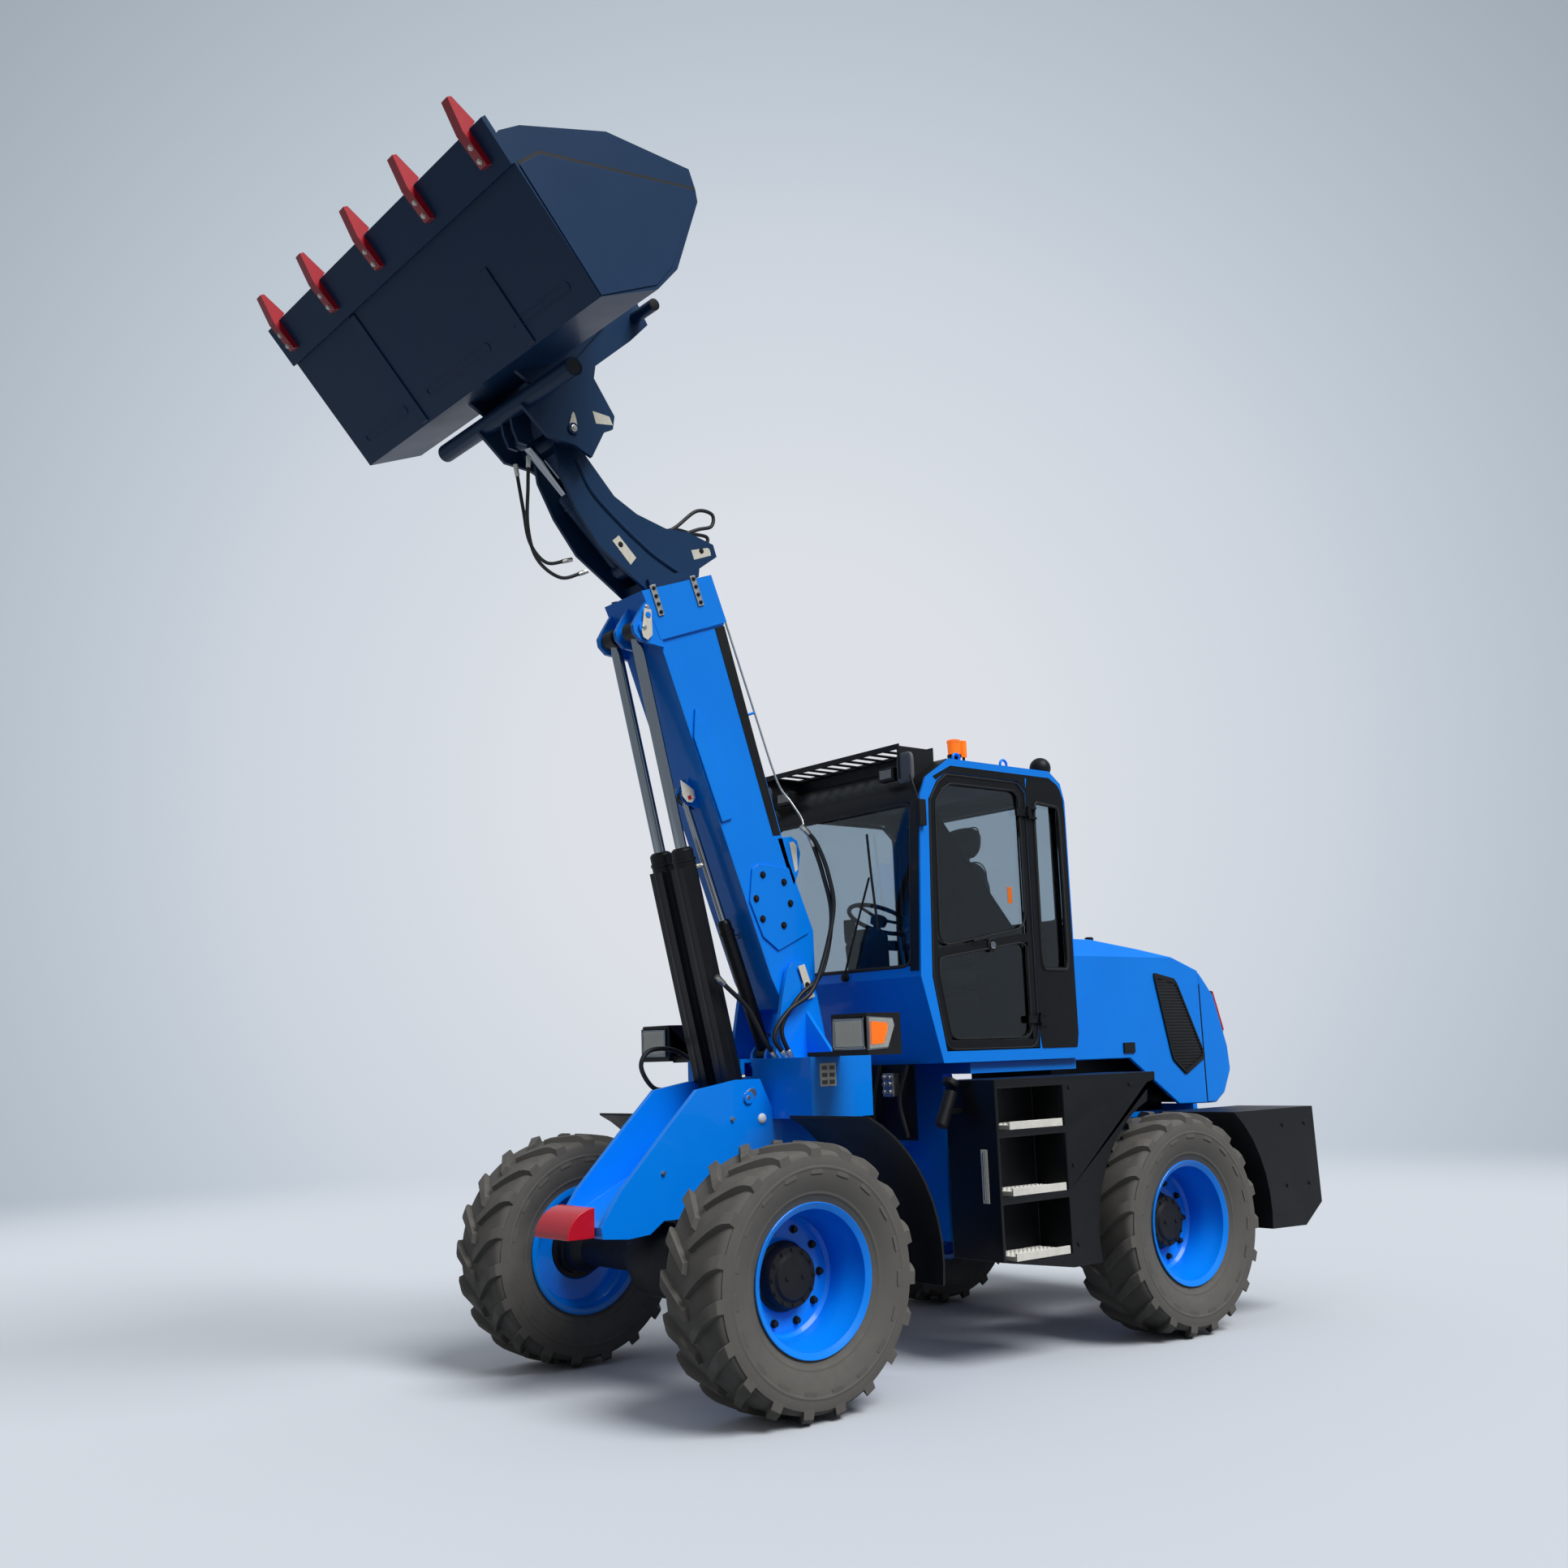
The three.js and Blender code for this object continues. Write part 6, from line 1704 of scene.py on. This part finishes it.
def cylinders() -> list[Cylinder]:
    """Lists the cylinders, with their pins where the joints and the boom's sizes put them.

    Returns:
        The cylinders.
    """
    lift_foot = np.array(joint("lift_cylinder_swing")["pos_m"], float)
    level_foot = np.array(joint("level_cylinder_swing")["pos_m"], float)
    tilt_foot = np.array(joint("tilt_cylinder_swing")["pos_m"], float)
    lift_head, level_head = on_boom(2.023, -0.296), on_boom(1.137, -0.245)
    tilt_head = BUCKET_PIVOT + np.array([0.15, 0.0, -0.025])
    made = [Cylinder(f"lift_{hand}", "lift_barrels", "lift_rods", tuple(lift_foot + (0, y, 0)),
            tuple(lift_head + (0, y, 0)), 0.057, 0.03, 1.29, (0.056, 0.052), (0.05, 0.044), square=True)
        for hand, y in (("left", 0.095), ("right", -0.095))]
    made.append(Cylinder("level", "level_barrel", "level_rod", tuple(level_foot), tuple(level_head), 0.037,
            0.018, 0.74, (0.04, 0.037), (0.032, 0.02)))
    made.append(Cylinder("tilt", "tilt_barrel", "tilt_rod", tuple(tilt_foot), tuple(tilt_head), 0.052, 0.026,
            0.48, (0.05, 0.045), (0.042, 0.03), finish=NAVY))
    return made


# ---------------------------------------------------------------- jib, coupler and bucket
@dataclass(frozen=True)
class Jib:
    """Navy inner boom with its curved head plates."""

    half: float = 0.112

    def build(self) -> None:
        """Makes the jib's pieces."""
        softened("boom_jib", NAVY, 0.004)
        for side, hand in HANDS.items():
            face = side * self.half
            films = (((2.492, -0.27), (2.512, -0.222), (2.382, -0.158), (2.352, -0.206)),
                ((2.362, 0.205), (2.355, 0.318), (2.345, 0.328), (2.312, 0.325), (2.309, 0.205)))
            for number, film in enumerate(films):
                self.sticker(f"jib_film_{hand}_{number}", film, face, side)
            self.edge_strip(hand, side)

    def sticker(self, name: str, outline: Sequence[tuple[float, float]], face: float, side: int) -> None:
        """Blank film with a round stud at one end.

        Args:
            name: the piece's name.
            outline: points along and up from the boom's axis.
            face: distance from the middle.
            side: 1 for left, -1 for right.
        """
        points = np.array([on_boom(along, up, face) for along, up in outline])
        put(name, prism(points, (0, side * 0.0015, 0)), FILM, "jib", bevel=0.0008)
        middle = points.mean(0) * 0.55 + points[:2].mean(0) * 0.45 + (0, side * 0.0015, 0)
        put(name + "_stud", hex_bolts([middle], (0, side, 0), 0.01, 0.006, 1.5), CAST, "jib", bevel=0.0008)

    def edge_strip(self, hand: str, side: int) -> None:
        """Curved stiffener welded along the head plate.

        Args:
            hand: left or right.
            side: 1 for left, -1 for right.
        """
        edge = smooth_path([on_boom(a, u, side * (self.half + 0.001))
                for a, u in ((2.925, -0.333), (2.759, -0.303), (2.582, -0.199), (2.42, -0.08),
                (2.345, -0.012), (2.26, 0.08))], 8)
        put(f"jib_stiffener_{hand}", tube(edge, 0.011, 8), NAVY, "jib")


@dataclass(frozen=True)
class Bucket:
    """Bucket with stiffening ribs, a bolted edge and teeth, on its coupler."""

    half: float = 1.18
    cheek_plate: float = 0.006
    coupler_face: float = 0.222

    def build(self) -> None:
        """Makes the coupler's and bucket's pieces."""
        softened("coupler", NAVY, 0.004)
        for node, finish, bevel in (("bucket", NAVY, 0.005), ("cutting_edge", RED, 0.003)):
            skin = softened(node, finish, bevel)
            points = np.empty(len(skin.data.vertices) * 3)
            skin.data.vertices.foreach_get("co", points)
            points[1::3] *= 1 - self.cheek_plate / self.half
            skin.data.vertices.foreach_set("co", points)
        self.lip()
        self.ribs()
        self.coupler_parts()

    def lip(self) -> None:
        """Navy cover over the edge plate between the teeth, and the teeth's bolts."""
        reach = self.half - 0.0005
        wrap = ((0.638, 0.0), (0.638, -0.0245), (0.8545, -0.0245), (0.8545, 0.0014), (0.78, 0.0014),
            (0.78, 0.0))
        plate = np.array([on_bucket(u, v, -reach) for u, v in wrap])
        put("edge_cover", prism(plate, (0, 2 * reach, 0)), NAVY, "bucket", bevel=0.0008)
        down = on_bucket(0, -1) - on_bucket(0, 0)
        heads = [on_bucket(u, -0.056, y) for y in np.linspace(-1.055, 1.055, 5) for u in (0.725, 0.79)]
        put("tooth_bolts", hex_bolts(heads, down, 0.011, 0.01, 1.2), ZINC, "bucket", bevel=0.0008)

    def ribs(self) -> None:
        """Ribs across the floor's underside, stamped rings, and doublers on the cheeks with a black strip
        along each doubler's edge that paints its shadow.
        """
        down = 0.008
        for number, (y, start) in enumerate(((-0.48, 0.636), (0.6, 0.4))):
            rib = np.array([on_bucket(u, v, y - 0.028) for u, v in ((0.01, 0.0), (start, 0.0),
                    (start - 0.008, -down), (0.018, -down))])
            put(f"floor_rib_{number}", prism(rib, (0, 0.056, 0)), NAVY, "bucket", bevel=0.002)
        stamped = together(closed_tube(np.array([on_bucket(0.12 + 0.018 * math.sin(a), -0.001,
                y + reach * math.copysign(1, math.cos(a)) + 0.018 * math.cos(a))
                for a in np.linspace(0.05, 2 * np.pi + 0.05, 28, endpoint=False)]), 0.0035, 8)
            for y, reach in ((-0.8, 0.22), (0.0, 0.3), (0.8, 0.22)))
        put("floor_stampings", stamped, NAVY, "bucket")
        cheek = [(0.622, 0.014), (0.624, 0.142), (0.176, 0.826), (0.128, 0.796), (-0.055, 0.46),
            (-0.086, 0.314), (0.004, 0.002)]
        shadow_edge = [(0.637, 0.014), (0.639, 0.15), (0.184, 0.842), (0.166, 0.836), (0.624, 0.142), (0.622, 0.014)]
        face = self.half - self.cheek_plate
        for side, hand in HANDS.items():
            points = np.array([on_bucket(u, v, side * face) for u, v in cheek])
            put(f"cheek_doubler_{hand}", prism(points, (0, side * (self.cheek_plate - 0.0004), 0)), NAVY,
                "bucket", bevel=0.002)
            # Black strip along the doubler's edge: painted shadow of the plate's step.
            line = np.array([on_bucket(u, v, side * face) for u, v in shadow_edge])
            put(f"cheek_doubler_shadow_{hand}", prism(line, (0, side * 0.0015, 0)), SEAL, "bucket")

    def coupler_parts(self) -> None:
        """Pin ends, keepers and blank films on the coupler's side plates."""
        face = self.coupler_face
        tube_middle = spot(2.219, 0, 4.743)
        for side, hand in HANDS.items():
            end = BUCKET_PIVOT + np.array([0, side * (face + 0.01), 0])
            keeper = turned(end, (0, side, 0), [(0, 0.018), (0.004, 0.018), (0.006, 0.015)], 32)
            tear = np.array([end + (0.026 * math.cos(a), -side * 0.008,
                    0.026 * math.sin(a) + 0.06 * max(0.0, math.sin(a)) ** 3) for a in angles_round(36)])
            put(f"bucket_pin_keeper_{hand}", prism(tear, (0, side * 0.006, 0)), FILM, "jib", bevel=0.001)
            put(f"bucket_pin_end_{hand}", keeper + hex_bolts([end + (0, side * 0.006, 0)], (0, side, 0), 0.01,
                    0.008), ZINC, "jib", bevel=0.0008)
            plate = [(1.855, 4.762), (1.755, 4.757), (1.735, 4.715), (1.835, 4.7)]
            points = at_side(plate, side * face)
            put(f"coupler_film_{hand}", prism(points, (0, side * 0.0015, 0)), FILM, "bucket", bevel=0.0008)
            ring = turned(tube_middle + (0, side * 0.64, 0), (0, side, 0),
                [(-0.001, 0.046), (0.002, 0.046), (0.003, 0.042), (-0.0005, 0.036)], 40)
            mouth = turned(tube_middle + (0, side * 0.64, 0), (0, side, 0), [(-0.001, 0.037), (0.001, 0.037)],
                40)
            put(f"coupler_tube_end_{hand}", ring, NAVY, "bucket")
            put(f"coupler_tube_mouth_{hand}", mouth, SEAL, "bucket")
            hook = turned(spot(1.59, side * 0.4, 5.34), (0, side, 0), [(-0.001, 0.031), (0.003, 0.031),
                    (0.006, 0.024)], 32)
            put(f"coupler_hook_end_{hand}", hook, CAST, "bucket")


# ---------------------------------------------------------------- hoses
@dataclass(frozen=True)
class Hose:
    """A rubber hose with swaged metal ends along a smooth route."""

    name: str
    points: tuple[tuple[float, float, float], ...]
    body: str
    radius: float = 0.012
    node: str = ""
    follows: str = ""

    def build(self) -> None:
        """Makes the hose and its two end fittings."""
        route = smooth_path([spot(*point) for point in self.points], 10)
        shape = tube(route, self.radius, 14)
        hose = put(self.name, shape, HOSE, "" if self.follows else self.body, angle=60,
            replaces=[self.node] if self.node else [])
        if self.follows:
            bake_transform(hose)
        for number, (end, inward) in enumerate(((route[0], route[3]), (route[-1], route[-4]))):
            run = (inward - end) / np.linalg.norm(inward - end)
            ferrule = turned(end, run, [(-0.004, self.radius * 0.9), (0.0, self.radius * 1.28),
                    (0.034, self.radius * 1.28), (0.038, self.radius * 1.1)], 20)
            nut = turned(end - run * 0.012, run, [(-0.012, self.radius * 1.35), (0.012, self.radius * 1.35)],
                6)
            put(f"{self.name}_fitting_{number}", ferrule + nut, ZINC, self.follows if number and self.follows
                else self.body, angle=40)


def hoses() -> list[Hose]:
    """Lists the hoses with their routes; the first four repeat the frame's own routes.

    Returns:
        The hoses.
    """
    outer, inner, lift, lamp = 0.248, 0.22, 0.206, -0.25
    return [
        Hose("boom_hose_outer_skin", tuple((x, outer, z) for x, z in ((0.77, 1.545), (0.837, 1.65),
                (0.741, 1.774), (0.555, 1.906), (0.413, 2.274), (0.431, 2.481), (0.508, 2.651),
                (0.589, 2.724))), FRONT, 0.012, "boom_hose_outer", "boom"),
        Hose("boom_hose_inner_skin", tuple((x, inner, z) for x, z in ((0.712, 1.545), (0.764, 1.69),
                (0.64, 1.85), (0.478, 1.98), (0.4, 2.268), (0.45, 2.5), (0.521, 2.676))), FRONT, 0.012,
            "boom_hose_inner", "boom"),
        Hose("lift_hose_skin", tuple((x, lift, z) for x, z in ((0.8, 1.545), (0.867, 1.63), (0.964, 1.786),
                (1.1, 1.9), (1.143, 1.936))), FRONT, 0.012, "lift_hose"),
        Hose("lamp_hose_skin", tuple((x, lamp, z) for x, z in ((0.832, 1.43), (1.01, 1.425), (1.13, 1.4),
                (1.242, 1.412), (1.314, 1.517), (1.263, 1.597), (1.12, 1.6), (0.96, 1.53), (0.832, 1.51))),
            FRONT, 0.012, "lamp_hose"),
        Hose("jib_hose_outer", ((1.806, 0.045, 3.977), (1.948, 0.055, 3.923), (2.085, 0.065, 3.991),
                (2.139, 0.07, 4.147), (2.137, 0.07, 4.357), (2.132, 0.066, 4.49)), "jib", 0.009, "",
            "bucket"),
        Hose("jib_hose_inner", ((1.84, -0.05, 4.06), (1.96, -0.06, 4.03), (2.05, -0.066, 4.12),
                (2.085, -0.07, 4.29), (2.126, -0.066, 4.49)), "jib", 0.009, "", "bucket"),
        Hose("jib_loop_rear", ((1.33, 0.05, 4.26), (1.23, 0.05, 4.33), (1.1, 0.052, 4.44),
                (1.0, 0.056, 4.44), (1.01, 0.06, 4.37), (1.11, 0.06, 4.33), (1.29, 0.055, 4.24)), "jib",
            0.01),
        Hose("jib_loop_rear_inner", ((1.33, -0.04, 4.25), (1.2, -0.044, 4.345), (1.06, -0.048, 4.35),
                (0.96, -0.05, 4.35), (0.975, -0.05, 4.3), (1.08, -0.046, 4.3), (1.29, -0.042, 4.235)), "jib",
            0.01),
    ]


# ---------------------------------------------------------------- studio and camera
@dataclass(frozen=True)
class Studio:
    """Pale floor, a backdrop with a round gradient, a soft sun and the camera."""

    floor_colour: str = "#d0d5dc"
    floor_return: str = "#5d6064"
    halo: tuple[tuple[float, str], ...] = ((8.0, "#dde1e7"), (19.0, "#cdd4de"), (23.6, "#c0cad4"),
        (36.0, "#a0aab4"))
    halo_edge: float = 45.0
    sun_strength: float = 2.7
    sun_softness: float = 30.0
    sun_tilt: float = 40.0
    sun_turn: float = 186.0
    sky_low: float = 0.16
    sky_high: float = 0.62
    fade_start: float = 9.0
    fade_end: float = 17.0
    camera_at: tuple[float, float, float] = (5.53501, 6.45579, 1.54963)
    yaw: float = 230.6719
    pitch: float = 9.9394
    roll: float = -1.9425
    lens: float = 35.6

    def build(self) -> None:
        """Makes the floor, world, sun and camera, and sets the view transform."""
        scene = bpy.context.scene
        scene.view_settings.view_transform = "Standard"
        self.floor()
        self.world(scene)
        self.sun()
        self.camera(scene)

    def floor(self) -> None:
        """Large floor: matt and shaded near the loader, and far out the colour of the horizon."""
        shape = box((-60, -60, -0.02), (60, 60, 0.0))
        mesh = bpy.data.meshes.new("studio_floor")
        mesh.from_pydata(shape.vertices, [], shape.faces)
        ground = bpy.data.objects.new("studio_floor", mesh)
        bpy.context.scene.collection.objects.link(ground)
        made, tree, shader = new_material("painted_studio_floor")
        shader.inputs["Roughness"].default_value = 0.75
        shader.inputs["Specular IOR Level"].default_value = 0.25
        direct = self.seen(tree)
        paint = add(tree, "Mix", {"data_type": "RGBA"}, {0: direct, 6: linear(self.floor_return),
                7: linear(self.floor_colour)})
        tree.links.new(paint.outputs[2], shader.inputs["Base Color"])
        where = add(tree, "TexCoord").outputs["Object"]
        far = add(tree, "VectorMath", {"operation": "LENGTH"}, {0: where}).outputs["Value"]
        share = ranged(tree, far, (self.fade_start, self.fade_end), curve="SMOOTHSTEP")
        away = add(tree, "VectorMath", {"operation": "SUBTRACT"}, {0: where, 1: self.camera_at})
        colour = self.round_gradient(tree, away.outputs["Vector"])
        glow = add(tree, "Emission", {}, {"Color": colour, "Strength": direct})
        mixed = add(tree, "MixShader", {}, {0: share, 1: shader.outputs["BSDF"], 2: glow.outputs["Emission"]})
        tree.links.new(mixed.outputs["Shader"], tree.nodes["Material Output"].inputs["Surface"])
        ground.data.materials.append(made)

    def ahead(self) -> np.ndarray:
        """Unit vector the camera looks along, from its yaw and pitch."""
        yaw, pitch = math.radians(self.yaw), math.radians(self.pitch)
        return np.array([math.cos(yaw) * math.cos(pitch), math.sin(yaw) * math.cos(pitch), math.sin(pitch)])

    def seen(self, tree: Tree) -> Socket:
        """One where a camera, glossy or glass ray meets the backdrop, nought where it lights.

        Args:
            tree: node tree to add to.
        Returns:
            The socket.
        """
        rays = add(tree, "LightPath")
        first = add(tree, "Math", {"operation": "MAXIMUM"}, {0: rays.outputs["Is Camera Ray"],
                1: rays.outputs["Is Glossy Ray"]})
        both = add(tree, "Math", {"operation": "MAXIMUM"}, {0: first.outputs[0],
                1: rays.outputs["Is Transmission Ray"]})
        return both.outputs[0]

    def round_gradient(self, tree: Tree, way: Socket) -> Socket:
        """Backdrop colour: from pale in the middle of the view to greyer by the angle away from it.

        The angle is the arccosine of the dot product of the unit way and a fixed direction.

        Args:
            tree: node tree to add to.
            way: direction, of any length.

        Returns:
            The colour socket.
        """
        unit = add(tree, "VectorMath", {"operation": "NORMALIZE"}, {0: way}).outputs["Vector"]
        dot = add(tree, "VectorMath", {"operation": "DOT_PRODUCT"}, {0: unit, 1: tuple(self.ahead())})
        angle = add(tree, "Math", {"operation": "ARCCOSINE"}, {0: dot.outputs["Value"]})
        share = ranged(tree, angle.outputs[0], (0.0, math.radians(self.halo_edge)))
        ramp = add(tree, "ValToRGB", {}, {"Fac": share})
        stops = ramp.color_ramp.elements
        while len(stops) < len(self.halo):
            stops.new(0.5)
        for stop, (degrees, colour) in zip(stops, self.halo):
            stop.position = degrees / self.halo_edge
            stop.color = linear(colour)
        return ramp.outputs["Color"]

    def world(self, scene: bpy.types.Scene) -> None:
        """Sky: a backdrop that only direct, mirror and glass rays see, and an overhead light for the rest.

        Args:
            scene: the scene.
        """
        sky = bpy.data.worlds.new("studio_sky")
        scene.world = sky
        sky.use_nodes = True
        tree = sky.node_tree
        tree.nodes.clear()
        way = add(tree, "TexCoord").outputs["Generated"]
        height = add(tree, "SeparateXYZ", {}, {"Vector": way}).outputs["Z"]
        level = ranged(tree, height, (0.0, 1.0), (self.sky_low, self.sky_high))
        backdrop = add(tree, "Background", {}, {"Color": self.round_gradient(tree, way), "Strength": 1.0})
        light = add(tree, "Background", {}, {"Color": linear("#f4f7fb"), "Strength": level})
        mixed = add(tree, "MixShader", {}, {0: self.seen(tree), 1: light.outputs[0], 2: backdrop.outputs[0]})
        add(tree, "OutputWorld", {}, {"Surface": mixed.outputs[0]})

    def sun(self) -> None:
        """One large soft source, high on the loader's left and a little behind it."""
        data = bpy.data.lights.new("studio_sun", "SUN")
        data.energy = self.sun_strength
        data.angle = math.radians(self.sun_softness)
        lamp = bpy.data.objects.new("studio_sun", data)
        bpy.context.scene.collection.objects.link(lamp)
        lamp.rotation_euler = (math.radians(self.sun_tilt), 0.0, math.radians(self.sun_turn))

    def camera(self, scene: bpy.types.Scene) -> None:
        """Camera from its place, yaw, pitch and roll.

        Args:
            scene: the scene.
        """
        yaw, roll = math.radians(self.yaw), math.radians(self.roll)
        ahead = self.ahead()
        right = np.array([math.sin(yaw), -math.cos(yaw), 0.0])
        up = np.cross(right, ahead)
        turned_right = math.cos(roll) * right + math.sin(roll) * up
        turned_up = -math.sin(roll) * right + math.cos(roll) * up
        data = bpy.data.cameras.new("camera")
        data.lens = self.lens
        data.sensor_width = 36.0
        data.clip_end = 400.0
        eye = bpy.data.objects.new("camera", data)
        scene.collection.objects.link(eye)
        matrix = np.eye(4)
        matrix[:3] = np.stack([turned_right, turned_up, -ahead, self.camera_at], 1)
        eye.matrix_world = Matrix(matrix.tolist())
        scene.camera = eye


# ---------------------------------------------------------------- build
@dataclass
class WheelLoader:
    """The whole loader, made one sub-assembly after another."""

    parts: list = field(default_factory=lambda: [*(Wheel(end, hand) for end in ("front", "rear")
            for hand in ("left", "right")), Axles(), FrontFrame(), Headlight("left"), Headlight("right"),
            RearFrame(), Hood(), Cab(), Boom(), *cylinders(), Jib(), Bucket(), *hoses(),])

    def build(self) -> None:
        """Builds every part in order and reports it."""
        for part in self.parts:
            part.build()
            LOG.info("built %s", type(part).__name__)


def main() -> None:
    """Builds the loader and its studio."""
    logging.basicConfig(level=logging.INFO, format="%(name)s: %(message)s")
    WheelLoader().build()
    Studio().build()


if __name__ == "__main__":
    main()
